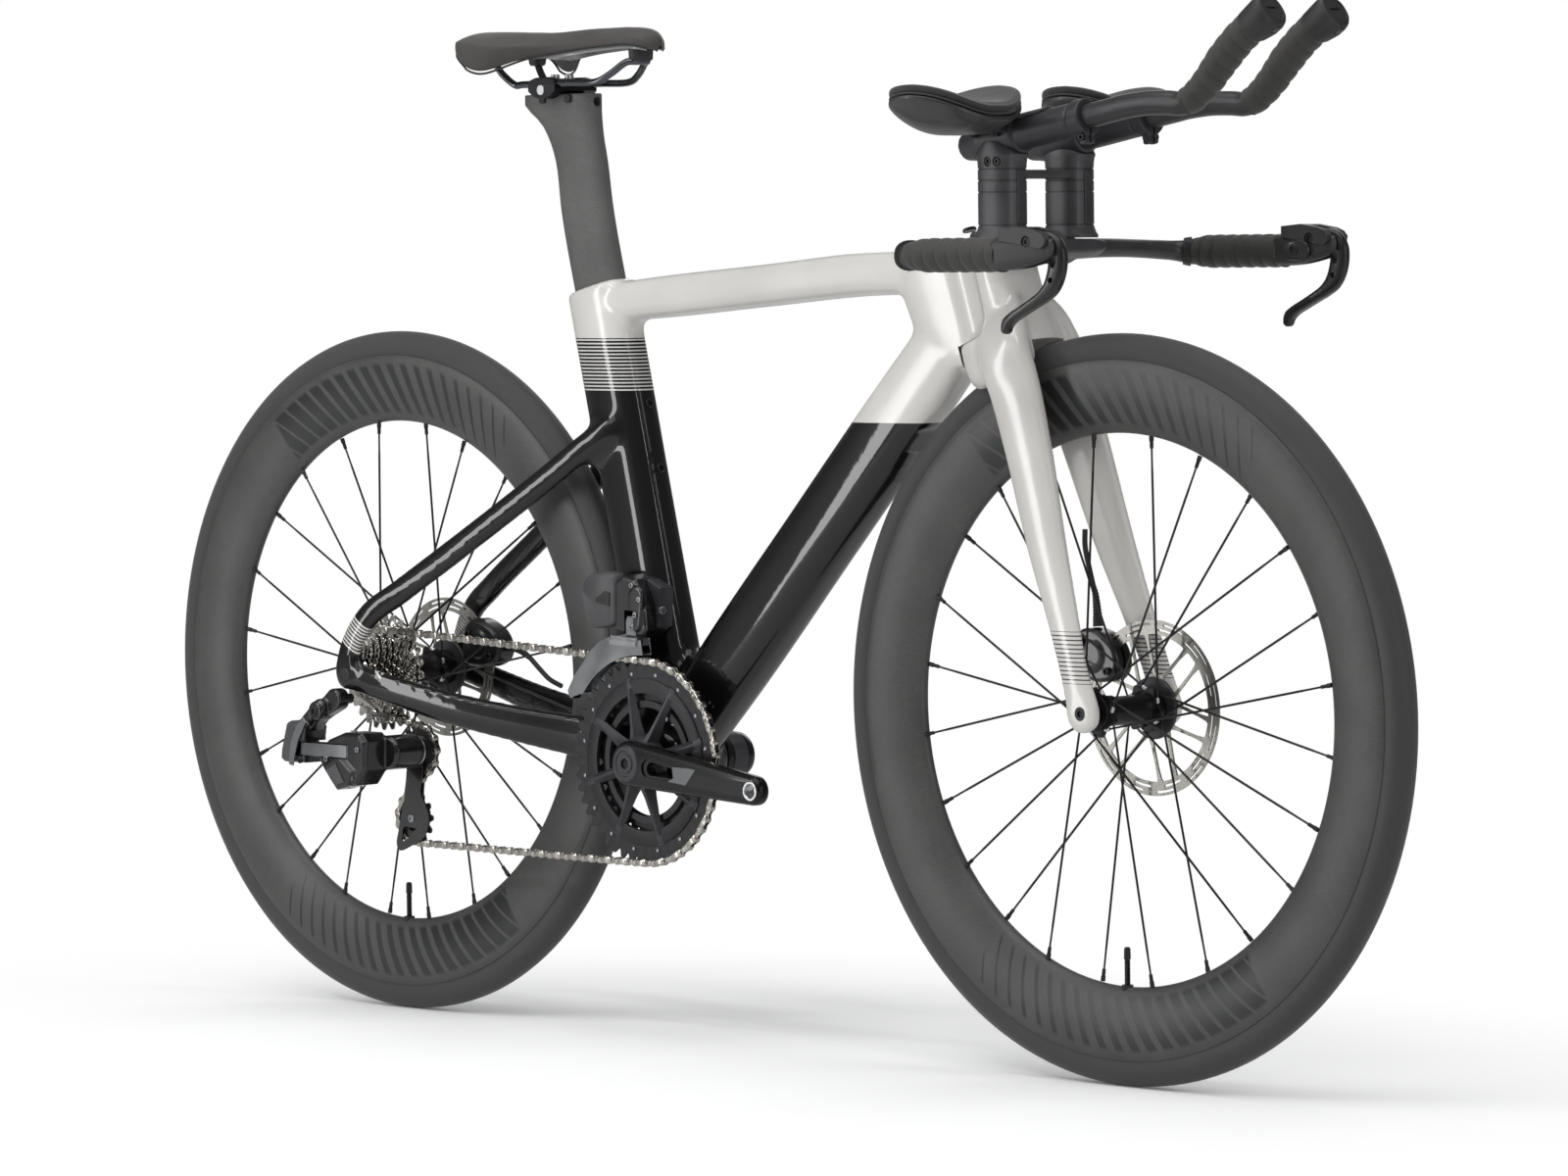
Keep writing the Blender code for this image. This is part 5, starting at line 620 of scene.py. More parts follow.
# Two groups a half turn apart: the turn's share, doubled and wrapped, is the same in both. The
# bars lean, and each is a little wider than the one before it.
twice = add_node(tree, "Math", {0: spread.outputs["X"], 1: 2}, operation="MULTIPLY")
wrapped = add_node(tree, "Math", {0: twice}, operation="FRACT")
group = between(tree, wrapped, 0.3, 0.7, 0.002)
radial = between(tree, spread.outputs["Y"], 0.259, 0.3075, 0.002)
lean = add_node(
    tree, "Math", {0: spread.outputs["Y"], 1: -0.31, 2: spread.outputs["X"]}, operation="MULTIPLY_ADD",
)
bars = add_node(tree, "Math", {0: lean, 1: 192}, operation="MULTIPLY")
saw = add_node(tree, "Math", {0: bars, 1: 1}, operation="PINGPONG")
share = add_node(tree, "MapRange", {
    "Value": wrapped, "From Min": 0.3, "From Max": 0.7, "To Min": 0.14, "To Max": 0.86,
})
past = add_node(tree, "Math", {0: saw, 1: share}, operation="SUBTRACT")
stripe = add_node(tree, "MapRange", {"Value": past, "From Min": 0.05, "From Max": -0.05})
zone = add_node(tree, "Math", {0: group, 1: radial}, operation="MULTIPLY")
gloss = add_node(tree, "Math", {0: zone, 1: stripe}, operation="MULTIPLY")
old_rough = shader.inputs["Roughness"].links[0].from_socket
rough = add_node(tree, "Mix", {"Factor": gloss, "A": old_rough, "B": 0.34})
feed(shader, {"Roughness": rough})
old_colour = shader.inputs["Base Color"].links[0].from_socket
dark = add_node(tree, "MixRGB", {"Fac": gloss, "Color1": old_colour, "Color2": linear("222324")})
feed(shader, {"Base Color": dark})

# %% [markdown]
# A rotor is stamped from stainless steel and ground flat. The grinding leaves a fine, uneven
# shine, so one noise varies the roughness of a bare metal.

# %% Rotor steel
rotor_steel, tree, shader, place = start_material("ground_stainless_steel")
feed(shader, {"Base Color": linear("96948F"), "Metallic": 1})
grain = add_node(tree, "TexNoise", {"Vector": place, "Scale": 420, "Detail": 4})
rough = add_node(tree, "MapRange", {"Value": grain.outputs["Fac"], "To Min": 0.24, "To Max": 0.42})
feed(shader, {"Roughness": rough})
print("wheel finishes are ready")

# %% [markdown]
# The tyre's crown is round and its flanks pull in to the rim's edge. The rim bulges to its
# widest just under the tyre and tapers to a rounded spoke bed. Both are turned in 180 steps,
# which keeps their outlines round in the render.

# %% Tyre and rim
AXLE_Z = 340
FRONT_X, REAR_X = 490, -490
WHEEL_STEPS = 180
SPOKES = 24
SPOKE_BED = 250
FRONT_ROTOR, REAR_ROTOR = 80, 70
FRONT_ROTOR_Y, REAR_ROTOR_Y = 38, 55.5
ROTOR_THICK = 1.8
TYRE_PROFILE = [
    (340, 1.5), (339.6, 4), (338.2, 7.2), (335.4, 10.2), (331.6, 12.7), (327, 13.9), (322, 13.7),
    (317.4, 12.4), (314.6, 11.3),
]
RIM_PROFILE = [
    (313.2, 10.8), (316.2, 11.5), (316.5, 12.6), (315.2, 13.4), (309, 14.1), (300, 14.5), (288, 14),
    (276, 12.5), (264, 9.7), (255.5, 6.6), (251.2, 3.4), (250.2, 1.2),
]


def both_sides(half):
    return [(r, -y) for r, y in half] + [(r, y) for r, y in reversed(half)]


def place_at(x, y, radius, angle):
    """A place at an angle on a circle round the axle at x."""
    px, pz = polar(x, AXLE_Z, radius, angle)
    return Vector((px, y, pz))


def add_valve(bm, x):
    """The valve: a threaded stem, its nut at the spoke bed and a knurled cap."""
    top = AXLE_Z - SPOKE_BED
    rows = [(-6, 3), (-6, 5.4), (1.4, 5.4), (1.8, 3), (2.4, 2.4)]
    rows += [(2.6 + 0.6 * k, 2.4 if k % 2 else 2.75) for k in range(36)]
    rows += [(24.4, 2.4), (24.6, 3.2), (34, 3), (35.6, 2)]
    loft(bm, [
        section(Vector((x, 0, top + rise)), Vector((1, 0, 0)), SIDE, 2 * r, 2 * r, 16, 2)
        for rise, r in rows
    ])


# %% [markdown]
# The rotor is a slotted band on slanted arms with a carrier, as real ones are riveted together.
# The hub is turned, and its flanges have a lobe for each pair of spokes. The spokes are placed by
# a loop: half of them lean each way, and each runs from its hole in a flange to the rim.

# %% Rotor
def rotor_arc(bm, x, low, high, r1, r2, a1, a2, ends=6):
    """A slot-shaped cutter along an arc of the rotor's band."""
    mid, half = (r1 + r2) / 2, (r2 - r1) / 2
    outline = []
    for k in range(9):
        a = a1 + (a2 - a1) * k / 8
        outline.append((mid + half, a))
    for k in range(1, ends):
        turn = math.pi * k / ends
        outline.append((mid + half * math.cos(turn), a2 + half * math.sin(turn) / mid))
    for k in range(9):
        a = a2 + (a1 - a2) * k / 8
        outline.append((mid - half, a))
    for k in range(1, ends):
        turn = math.pi * k / ends
        outline.append((mid - half * math.cos(turn), a1 - half * math.sin(turn) / mid))
    plate(bm, [polar(x, AXLE_Z, r, a) for r, a in outline], low, high)


def cut_with(obj, cutters, operation="DIFFERENCE", solver="MANIFOLD"):
    """Runs a Boolean with a helper mesh drawn in millimetres, and keeps only its result."""
    mesh = bpy.data.meshes.new("cutter")
    bmesh.ops.recalc_face_normals(cutters, faces=cutters.faces)
    cutters.to_mesh(mesh)
    cutters.free()
    mesh.transform(Matrix.Scale(MM, 4))
    helper = bpy.data.objects.new("cutter", mesh)
    bpy.context.scene.collection.objects.link(helper)
    step = obj.modifiers.new("cut", "BOOLEAN")
    step.operation, step.solver, step.object = operation, solver, helper
    obj.modifiers.move(len(obj.modifiers) - 1, 0)
    bpy.context.view_layer.update()
    graph = bpy.context.evaluated_depsgraph_get()
    shown = {m.name: m.show_viewport for m in obj.modifiers}
    for m in obj.modifiers:
        m.show_viewport = m == step
    graph.update()
    result = bpy.data.meshes.new_from_object(obj.evaluated_get(graph), depsgraph=graph)
    obj.modifiers.remove(step)
    for m in obj.modifiers:
        m.show_viewport = shown[m.name]
    obj.data = result
    result.set_sharp_from_angle(angle=math.radians(35))
    bpy.data.objects.remove(helper)


def carve(obj, draw, *shape):
    """Draws one shape and cuts it out of a piece."""
    cutters = bmesh.new()
    draw(cutters, *shape)
    cut_with(obj, cutters)


def make_rotor(name, x, y, radius, body):
    """A ground steel rotor: slotted band, six pairs of arms and a splined carrier with its lock ring."""
    low, high = y - ROTOR_THICK / 2, y + ROTOR_THICK / 2
    bm = bmesh.new()
    turned(
        bm, x, AXLE_Z, [(radius - 13, low), (radius, low), (radius, high), (radius - 13, high)], 144,
        closed=True,
    )
    band = finish_piece(name + "_band", bm, rotor_steel, body, replaces=[name])
    slots = bmesh.new()
    for a in angles(12):
        rotor_arc(slots, x, low - 2, high + 2, radius - 4.6, radius - 2.6, a + 0.05, a + 0.34)
        rotor_arc(slots, x, low - 2, high + 2, radius - 9.6, radius - 7.4, a + 0.20, a + 0.46)
    cut_with(band, slots, solver="EXACT")
    arms = bmesh.new()
    inner = 26
    for base in angles(6, 0.3):
        for lean_in, lean_out in ((-0.10, -0.42), (0.10, 0.34)):
            a, b = base + lean_in, base + lean_out
            start = place_at(x, 0, inner, a)
            end = place_at(x, 0, radius - 11.5, b)
            across = (end - start).cross(SIDE).normalized()
            outline = []
            for share, half in ((0, 2.6), (0.2, 1.7), (0.7, 1.5), (0.92, 2.4), (1, 4.4)):
                p = start.lerp(end, share)
                outline.append((p + across * half, p - across * half))
            corners = [p for p, _ in outline] + [q for _, q in reversed(outline)]
            plate(arms, [(p.x, p.z) for p in corners], low + 0.02, high - 0.02)
    finish_piece(name + "_arms", arms, rotor_steel, body, bevel=0.25)
    carrier = bmesh.new()
    turned(
        carrier, x, AXLE_Z,
        [
            (17.2, low - 0.8), (27.5, low - 0.8), (28.5, low), (28.5, high), (27.5, high + 0.8),
            (17.2, high + 0.8),
        ],
        72, closed=True,
    )
    rivet_y = high + 0.8
    for a in angles(12, 0.3 / 2):
        socket_bolt(carrier, place_at(x, rivet_y, 25, a), SIDE, 1.5, 0.7, 12)
    finish_piece(name + "_carrier", carrier, satin_black_alloy, body)
    ring = bmesh.new()
    turned(
        ring, x, AXLE_Z,
        [(10, high + 0.9), (19.6, high + 0.9), (19.6, high + 2.8), (18.6, high + 3.6), (10, high + 3.6)],
        48, closed=True,
    )
    notched = finish_piece(name + "_lock_ring", ring, anodised_black, body, bevel=0.3)
    notches = bmesh.new()
    for a in angles(16):
        turned(notches, *polar(x, AXLE_Z, 20.2, a), [(1.5, high), (1.5, high + 6)], 10)
    cut_with(notched, notches, solver="EXACT")


print("rotors are", ROTOR_THICK, "mm thick")

# %% Hub and spokes
def lobed(x, radius, dip, lobes, turn, steps=96):
    """The outline of a flange with a lobe for each pair of spokes."""
    outline = []
    for a in angles(steps):
        bulge = 0.5 + 0.5 * math.cos(lobes * (a - turn))
        outline.append(polar(x, AXLE_Z, dip + (radius - dip) * bulge ** 1.6, a))
    return outline


def spoke_ends(x, flange_ys):
    """Each spoke's two ends, the flange's side and which way it leans."""
    found = []
    per_side = SPOKES // 2
    for side, flange_y in enumerate(flange_ys):
        for k in range(per_side):
            lean = 1 if k % 2 else -1
            rim = 2 * math.pi * (k + side / 2 + 0.25) / per_side
            hub = rim + lean * math.radians(58)
            y = flange_y + lean * 1.3
            start = place_at(x, y, 19, hub)
            end = place_at(x, math.copysign(2.5, flange_y), SPOKE_BED, rim)
            found.append((start, end, hub, lean, flange_y))
    return found


def make_spokes(name, x, flange_ys, body):
    """Bladed black spokes with a nipple at the rim and a round head at the hub."""
    blades, heads = bmesh.new(), bmesh.new()
    for start, end, hub, lean, flange_y in spoke_ends(x, flange_ys):
        along = (end - start).normalized()
        route = [start.lerp(end, s) for s in (0, 0.06, 0.09, 0.86, 0.89, 1)]
        swept(blades, route, [1, 1, 1.15, 1.15, 1, 1], 8)
        nipple = [end - along * d for d in (11.5, 11, 5, 4.6, 0)]
        swept(blades, nipple, [1.3, 1.75, 1.75, 2.2, 2.2], 10)
        tail = start - along * 2.6
        swept(
            heads, [tail, tail + along * 0.5, start + along * 2.4, start + along * 2.8],
            [1.3, 1.9, 1.9, 1.5], 12,
        )
    finish_piece(name + "_spokes", blades, black_bolt, body)
    finish_piece(name + "_spoke_heads", heads, silver_alloy, body)


def make_hub(name, x, half_width, flange_ys, rotor_y, body, node):
    """A machined shell: waisted barrel, two lobed flanges, end caps and the rotor's seat."""
    right, left = flange_ys
    bm = bmesh.new()
    profile = [
        (6.6, -half_width + 0.4), (9, -half_width + 0.4), (9.5, -half_width + 1), (9.5, right - 6),
        (12, right - 5.4), (15.4, right - 4.4), (16.4, right - 2.4), (16.4, right + 3.4),
        (14.4, right + 8), (13.2, right + 13), (13.2, left - 13), (14.4, left - 8), (16.4, left - 3.4),
        (16.9, left + 3.2), (16.9, rotor_y + 0.9), (9.5, rotor_y + 1), (9.5, half_width - 1),
        (9, half_width - 0.4), (6.6, half_width - 0.4),
    ]
    turned(bm, x, AXLE_Z, profile, 72, closed=True)
    finish_piece(name, bm, anodised_black, body, replaces=[node])
    for index, (side, y) in enumerate((("right", right), ("left", left))):
        flange = bmesh.new()
        turn = 2 * math.pi * (index / 2 + 0.25) / 12 + math.radians(32)
        plate(flange, lobed(x, 23, 17.5, 6, turn), y - 3.1, y + 3.1)
        finish_piece(f"{name}_{side}_flange", flange, anodised_black, body, bevel=0.7)


print("spokes in each wheel:", SPOKES)

# %% Both wheels
# Axle's x, half the hub's width, the flanges' places, the rotor's place and radius, and the body.
HUBS = {
    "front": (FRONT_X, 50, (-36, 26), FRONT_ROTOR_Y, FRONT_ROTOR, "front_wheel"),
    "rear": (REAR_X, 71, (-19, 36), REAR_ROTOR_Y, REAR_ROTOR, "rear_wheel"),
}
for end, (x, half_width, flange_ys, rotor_y, rotor_radius, body) in HUBS.items():
    bm = bmesh.new()
    turned(bm, x, AXLE_Z, both_sides(TYRE_PROFILE), WHEEL_STEPS, closed=True)
    finish_piece(end + "_slick_tyre", bm, rubber, body, replaces=[end + "_tyre"], sharp=60)
    bm = bmesh.new()
    turned(bm, x, AXLE_Z, both_sides(RIM_PROFILE), WHEEL_STEPS, closed=True)
    finish_piece(
        end + "_deep_rim", bm, rim_carbon, body, replaces=[end + "_rim"], sharp=60,
    )
    bm = bmesh.new()
    add_valve(bm, x)
    finish_piece(end + "_valve", bm, black_bolt, body)
    make_hub(end + "_hub", x, half_width, flange_ys, rotor_y, body, end + "_hub_and_spokes")
    make_spokes(end, x, flange_ys, body)
    make_rotor(end + "_rotor", x, rotor_y, rotor_radius, body)

# %% [markdown]
# ## Frame and fork
#
# The frame is moulded carbon. Its tubes run into each other with rounded corners about 10 mm
# deep, so the skin is made the same way: the tubes are lofted, melted together with a voxel
# remesh, swollen, melted again and drawn back in, which leaves the outside where it was and fills
# the inside corners. Openings that have machined edges are cut afterwards.

# %% Melting and cutting helpers
def settle(obj):
    """Applies the modifiers of a piece to its mesh."""
    bpy.context.view_layer.update()
    graph = bpy.context.evaluated_depsgraph_get()
    mesh = bpy.data.meshes.new_from_object(obj.evaluated_get(graph), depsgraph=graph)
    obj.modifiers.clear()
    obj.data = mesh


def melt(obj, voxel):
    """Turns overlapping shells into one skin of even quads."""
    step = obj.modifiers.new("melt", "REMESH")
    step.mode = "VOXEL"
    step.voxel_size = voxel * MM
    step.use_smooth_shade = True
    settle(obj)


def swell(obj, distance):
    """Moves a skin outwards, or inwards where the distance is negative."""
    step = obj.modifiers.new("swell", "DISPLACE")
    step.strength = distance * MM
    step.mid_level = 0
    settle(obj)


def relax(obj, rounds):
    """Evens a skin out."""
    step = obj.modifiers.new("relax", "SMOOTH")
    step.iterations = rounds
    step.factor = 0.5
    settle(obj)


def moulded(name, shells, corner, voxel, rounds, material, body, node):
    """A moulded skin: shells melted together, with inside corners of about the given radius."""
    bm = bmesh.new()
    for draw in shells:
        draw(bm)
    obj = finish_piece(name, bm, material, body, replaces=[node])
    melt(obj, voxel)
    if corner:
        relax(obj, 2)
        swell(obj, corner)
        melt(obj, voxel)
        relax(obj, 3)
        swell(obj, -corner)
        melt(obj, voxel)
    relax(obj, rounds)
    return obj


# %% [markdown]
# The frame is laid out from a few places and two angles: both axles, the bottom bracket, the
# steering axis with its head angle, and the seat tube. All other pieces take their places from
# these.

# %% Places on the frame
HEAD_ANGLE = math.radians(72)
SEAT_ANGLE = math.radians(76.6)
BB_X, BB_Z = -87, 269
HEAD_TOP, HEAD_BOTTOM = 756, 676
WHEEL_ROOM = 347
AXLE_BORE = 6.4
STEER_AHEAD = Vector((math.sin(HEAD_ANGLE), 0, math.cos(HEAD_ANGLE)))
SEAT_AHEAD = Vector((math.sin(SEAT_ANGLE), 0, math.cos(SEAT_ANGLE)))
SEAT_UP = Vector((-math.cos(SEAT_ANGLE), 0, math.sin(SEAT_ANGLE)))
STEER_FOOT_X = FRONT_X - 45 / math.sin(HEAD_ANGLE)


def steer_point(z, ahead=0, side=0):
    x = STEER_FOOT_X - (z - AXLE_Z) / math.tan(HEAD_ANGLE)
    return Vector((x, 0, z)) + STEER_AHEAD * ahead + SIDE * side


def seat_x(z):
    return BB_X - (z - BB_Z) / math.tan(SEAT_ANGLE)


def top_tube_z(x):
    return 707 + (x - seat_x(707)) * 0.0745


def disc(bm, x, z, radius, low_y, high_y, count=72):
    turned(bm, x, z, [(radius, low_y), (radius, high_y)], count)


def steer_bar(bm, low_z, high_z, radius, count=64):
    ends = [steer_point(low_z), steer_point(high_z)]
    loft(bm, [section(p, STEER_AHEAD, SIDE, 2 * radius, 2 * radius, count, 2) for p in ends])


# %% [markdown]
# The frame is sprayed: pearl white over gloss black, split along straight edges, under a clear
# coat. The split and the thin parallel lines are worked out from the place on the frame, because
# a moulded skin has no seams to follow. The pearl is duller and whiter, the black is glossier.

# %% Pearl and black paint
def painted(name, white_mask, stripes):
    """Pearl white over black, split by a mask, with groups of thin parallel lines.

    A group of lines is where it starts, how many lines, their pitch, the share of it that is
    painted, the way across the lines as (x, z), and the x range that it covers, in metres.
    """
    material, tree, shader, place = start_material(name)
    feed(shader, {"Coat IOR": 1.5})
    spot = add_node(tree, "SeparateXYZ", {"Vector": place})
    mask = white_mask(tree, spot)
    for start, count, pitch, share, (x_share, z_share), (low_x, high_x) in stripes:
        along = add_node(tree, "Math", {0: spot.outputs["X"], 1: x_share}, operation="MULTIPLY")
        along = add_node(
            tree, "Math", {0: spot.outputs["Z"], 1: z_share, 2: along}, operation="MULTIPLY_ADD",
        )
        step = add_node(tree, "Math", {0: along, 1: start}, operation="SUBTRACT")
        step = add_node(tree, "Math", {0: step, 1: pitch}, operation="DIVIDE")
        inside = between(tree, step, 0, count, 0.01)
        saw = add_node(tree, "Math", {0: step}, operation="FRACT")
        line = between(tree, saw, 0.5 - share / 2, 0.5 + share / 2, 0.04)
        across = between(tree, spot.outputs["X"], low_x, high_x, 0.001)
        zone = add_node(tree, "Math", {0: inside, 1: across}, operation="MULTIPLY")
        mask = add_node(tree, "Mix", {"Factor": zone, "A": mask, "B": line})
    cloud = add_node(tree, "TexNoise", {"Vector": place, "Scale": 9, "Detail": 2})
    flake = add_node(tree, "TexNoise", {"Vector": place, "Scale": 2600, "Detail": 1})
    pearl = add_node(tree, "ValToRGB", {"Fac": cloud.outputs["Fac"]})
    set_ramp(pearl, (0.3, linear("D0CECA")), (0.7, linear("DCDAD6")))
    black = add_node(tree, "ValToRGB", {"Fac": flake.outputs["Fac"]})
    set_ramp(black, (0.35, linear("0B0B0C")), (0.75, linear("101012")))
    colour = add_node(tree, "MixRGB", {"Fac": mask, "Color1": black, "Color2": pearl})
    feed(shader, {"Base Color": colour})
    shine = add_node(tree, "MapRange", {"Value": mask, "To Min": 0.12, "To Max": 0.5})
    feed(shader, {"Specular IOR Level": shine})
    clear = add_node(tree, "MapRange", {"Value": mask, "To Min": 0.75, "To Max": 0.8})
    feed(shader, {"Coat Weight": clear})
    polish = add_node(tree, "MapRange", {"Value": mask, "To Min": 0.04, "To Max": 0.13})
    feed(shader, {"Coat Roughness": polish})
    rough = add_node(tree, "MapRange", {"Value": flake.outputs["Fac"], "To Min": 0.26, "To Max": 0.4})
    feed(shader, {"Roughness": rough})
    peel = add_node(tree, "TexNoise", {"Vector": place, "Scale": 130, "Detail": 1})
    bump = add_node(tree, "Bump", {"Height": peel.outputs["Fac"], "Strength": 0.02, "Distance": 0.001})
    feed(shader, {"Coat Normal": bump})
    return material


def frame_white(tree, spot):
    """White above 596 mm on the down tube and above 674 mm on the seat tube."""
    ahead = add_node(tree, "Math", {0: spot.outputs["X"], 1: 0.02}, operation="GREATER_THAN")
    limit = add_node(tree, "MapRange", {"Value": ahead, "To Min": 0.674, "To Max": 0.5965})
    rise = add_node(tree, "Math", {0: spot.outputs["Z"], 1: limit}, operation="SUBTRACT")
    return add_node(tree, "MapRange", {"Value": rise, "From Min": -0.0003, "From Max": 0.0003})


def all_white(tree, spot):
    return add_node(tree, "Math", {0: spot.outputs["Z"], 1: -1}, operation="GREATER_THAN")


stay_way = Vector((0.56, 0, 0.83)).normalized()
seat_lines = (0.6225, 15, 0.00343, 0.42, (0, 1), (-0.3, 0))
stay_lines = (stay_way.dot((-0.487, 0, 0.367)), 9, 0.0034, 0.55, (stay_way.x, stay_way.z), (-0.52, -0.44))
fork_lines = (0.3665, 12, 0.0039, 0.72, (0, 1), (0.4, 0.6))
frame_paint = painted("pearl_and_black_lacquer", frame_white, [seat_lines, stay_lines])
fork_paint = painted("pearl_white_lacquer", all_white, [fork_lines])
print("paint has", len(frame_paint.node_tree.nodes), "nodes")

# %% [markdown]
# The tubes of the frame are deep and narrow, with flat sides that catch one long reflection each.
# The seat tube wraps the rear wheel, and the stays drop below the top tube to a low junction.

# %% Frame tubes
def draw_seat_tube(bm):
    table = [
        (seat_x(z), 0, z, 75, w)
        for z, w in ((724, 44), (640, 44), (500, 44), (380, 46), (BB_Z, 50))
    ]
    tube(bm, table[::-1], 64, 2.9, 36)


def draw_top_tube(bm):
    rear = seat_x(707) - 4
    table = [
        (x, 0, top_tube_z(x), 40 * f, 40)
        for x, f in ((rear, 0.9), (rear + 90, 1), (40, 1), (175, 1.02))
    ]
    end_x = steer_point(HEAD_TOP).x - 8
    table.append((end_x, 0, HEAD_TOP - 20.5, 41, 47))
    tube(bm, table, 64, 3.2, 30)


DOWN_TOP = Vector((steer_point(HEAD_BOTTOM).x - 55, 0, HEAD_BOTTOM - 6))
DOWN_FOOT = Vector((BB_X + 14, 0, BB_Z + 34))


def draw_down_tube(bm):
    table = []
    for share, depth, width in (
        (0, 0.95, 0.92), (0.16, 1, 1), (0.5, 1, 1), (0.8, 1, 0.96), (1, 0.95, 0.92),
    ):
        p = DOWN_FOOT.lerp(DOWN_TOP, share)
        table.append((p.x, 0, p.z, 72 * depth, 50 * width))
    tube(bm, table, 72, 3.4, 30)


def draw_head(bm):
    rings = []
    table = [(648, 72, 42), (662, 84, 46), (682, 96, 48), (718, 102, 48), (HEAD_TOP - 0.5, 96, 47)]
    for z, reach, width in table:
        front = Vector((steer_point(z).x + 6, 0, z))
        rings.append(section(front - AHEAD * (reach / 2), AHEAD, SIDE, reach, width, 64, 3.4))
    loft(bm, rings)
    steer_bar(bm, HEAD_BOTTOM, HEAD_TOP, 28)


def draw_shell(bm):
    turned(bm, BB_X, BB_Z, [(27.5, -34), (29, -32.5), (29, 32.5), (27.5, 34)], 72)


def draw_stays(bm):
    for side in (-1, 1):
        seat = [
            (-136, 10, 590), (-160, 20, 586), (-190, 26, 570.5), (-235, 33, 541), (-334, 48, 479),
            (-430, 62, 421), (-466, 70, 398), (-487, 75, 367), (-495, 76, 342),
        ]
        tube(bm, [(x, side * y, z, 27, 13) for x, y, z in seat], 48, 2.7, 48)
        chain = [
            (-104, 20, 278, 1.3, 18), (-150, 27, 283, 1.22, 17), (-200, 33, 288, 1.15, 16),
            (-270, 46, 297, 1.02, 14.5), (-360, 61, 311, 0.92, 13), (-450, 73, 330, 0.82, 11),
            (-490, 76, 339, 0.8, 10.5),
        ]
        tube(bm, [(x, side * y, z, 36 * f, w) for x, y, z, f, w in chain], 48, 3.4, 44)
        low, high = sorted((side * 71, side * 81))
        disc(bm, REAR_X, AXLE_Z, 16.5, low, high)


frame_skin = moulded(
    "frame_skin",
    [draw_seat_tube, draw_top_tube, draw_down_tube, draw_head, draw_shell, draw_stays],
    corner=9, voxel=2.5, rounds=8, material=frame_paint, body="frame", node="frame",
)
print("frame skin:", len(frame_skin.data.polygons), "faces")

# %% [markdown]
# The machined openings are cut after the melting, so that their edges stay sharp: the rooms for
# both wheels, the faces of the dropouts, the axle holes and both ends of the head tube.

# %% Cut-outs of the frame
carve(frame_skin, disc, REAR_X, AXLE_Z, WHEEL_ROOM, -22, 22, 120)
carve(frame_skin, disc, FRONT_X, AXLE_Z, WHEEL_ROOM + 2, -60, 60, 120)
cuts = bmesh.new()
for low, high in ((-71, 71), (81, 95), (-95, -81)):
    disc(cuts, REAR_X, AXLE_Z, 20, low, high)
disc(cuts, REAR_X, AXLE_Z, AXLE_BORE, -90, -70)
disc(cuts, REAR_X, AXLE_Z, AXLE_BORE, 70, 90)
steer_bar(cuts, HEAD_TOP, HEAD_TOP + 40, 70)
cut_with(frame_skin, cuts)
carve(frame_skin, steer_bar, HEAD_BOTTOM - 80, HEAD_BOTTOM, 36)
print("frame skin after cuts:", len(frame_skin.data.polygons), "faces")

# %% [markdown]
# The fork is moulded in one piece with the fin ahead of the head tube. The fin turns with the
# wheel, so a narrow gap follows the round of the head tube and shows as a dark line.

# %% Fork skin
def draw_fin(bm):
    rings = []
    table = [(640, 64, 62), (656, 66, 61), (680, 62, 58), (710, 60, 55), (HEAD_TOP, 60, 54)]
    for z, reach, width in table:
        rings.append(section(steer_point(z, reach / 2), STEER_AHEAD, SIDE, reach, width, 64, 2.3))
    loft(bm, rings)


def draw_crown(bm):
    rings = []
    for z, radius in ((632, 26), (640, 31.5), (652, 34), (HEAD_BOTTOM - 1.5, 34)):
        rings.append(section(steer_point(z), STEER_AHEAD, SIDE, 2 * radius, 2 * radius, 64, 2))
    loft(bm, rings)


# Stations of the left leg below the crown: x, y, z, depth and width.
LEG = [
    (390, 35, 630, 58, 22), (408, 38, 580, 54, 20), (438, 45, 488, 45, 16), (463, 50.5, 420, 36, 12.5),
    (480, 54.5, 372, 33, 10), (490, 55, 342, 36, 10), (495, 55, 326, 26, 10),
]


def draw_legs(bm):
    root = [(363.5, 20, 706, 45, 6), (369.5, 28, 690, 53, 15), (375.7, 34, 666, 58.5, 24)]
    for side in (-1, 1):
        tube(bm, [(x, side * y, z, d, w) for x, y, z, d, w in root + LEG], 48, 2.7, 56)


def draw_tips(bm):
    for side in (-1, 1):
        low, high = sorted((side * 50, side * 60))
        disc(bm, FRONT_X, AXLE_Z, 18, low, high)


fork_skin = moulded(
    "fork_skin",
    [draw_fin, draw_crown, draw_legs, draw_tips],
    corner=6, voxel=2.1, rounds=6, material=fork_paint, body="steering", node="fork",
)
carve(fork_skin, steer_bar, HEAD_BOTTOM - 1.5, HEAD_TOP + 20, 31.5)
cuts = bmesh.new()
rear = [steer_point(z, -40) for z in (HEAD_BOTTOM - 1.5, HEAD_TOP + 20)]
loft(cuts, [section(p, STEER_AHEAD, SIDE, 114 * 1.414, 200, 4, 2) for p in rear])
cut_with(fork_skin, cuts)
carve(fork_skin, disc, FRONT_X, AXLE_Z, WHEEL_ROOM, -21, 21, 120)
cuts = bmesh.new()
step_x, step_z = 354, 745.5
plate(
    cuts, [(200, HEAD_TOP), (step_x, HEAD_TOP), (step_x, step_z), (480, step_z), (480, 816), (200, 816)],
    -60, 60,
)
cut_with(fork_skin, cuts)
cuts = bmesh.new()
for low, high in ((-50, 50), (60, 80), (-80, -60)):
    disc(cuts, FRONT_X, AXLE_Z, 22, low, high)
cut_with(fork_skin, cuts)
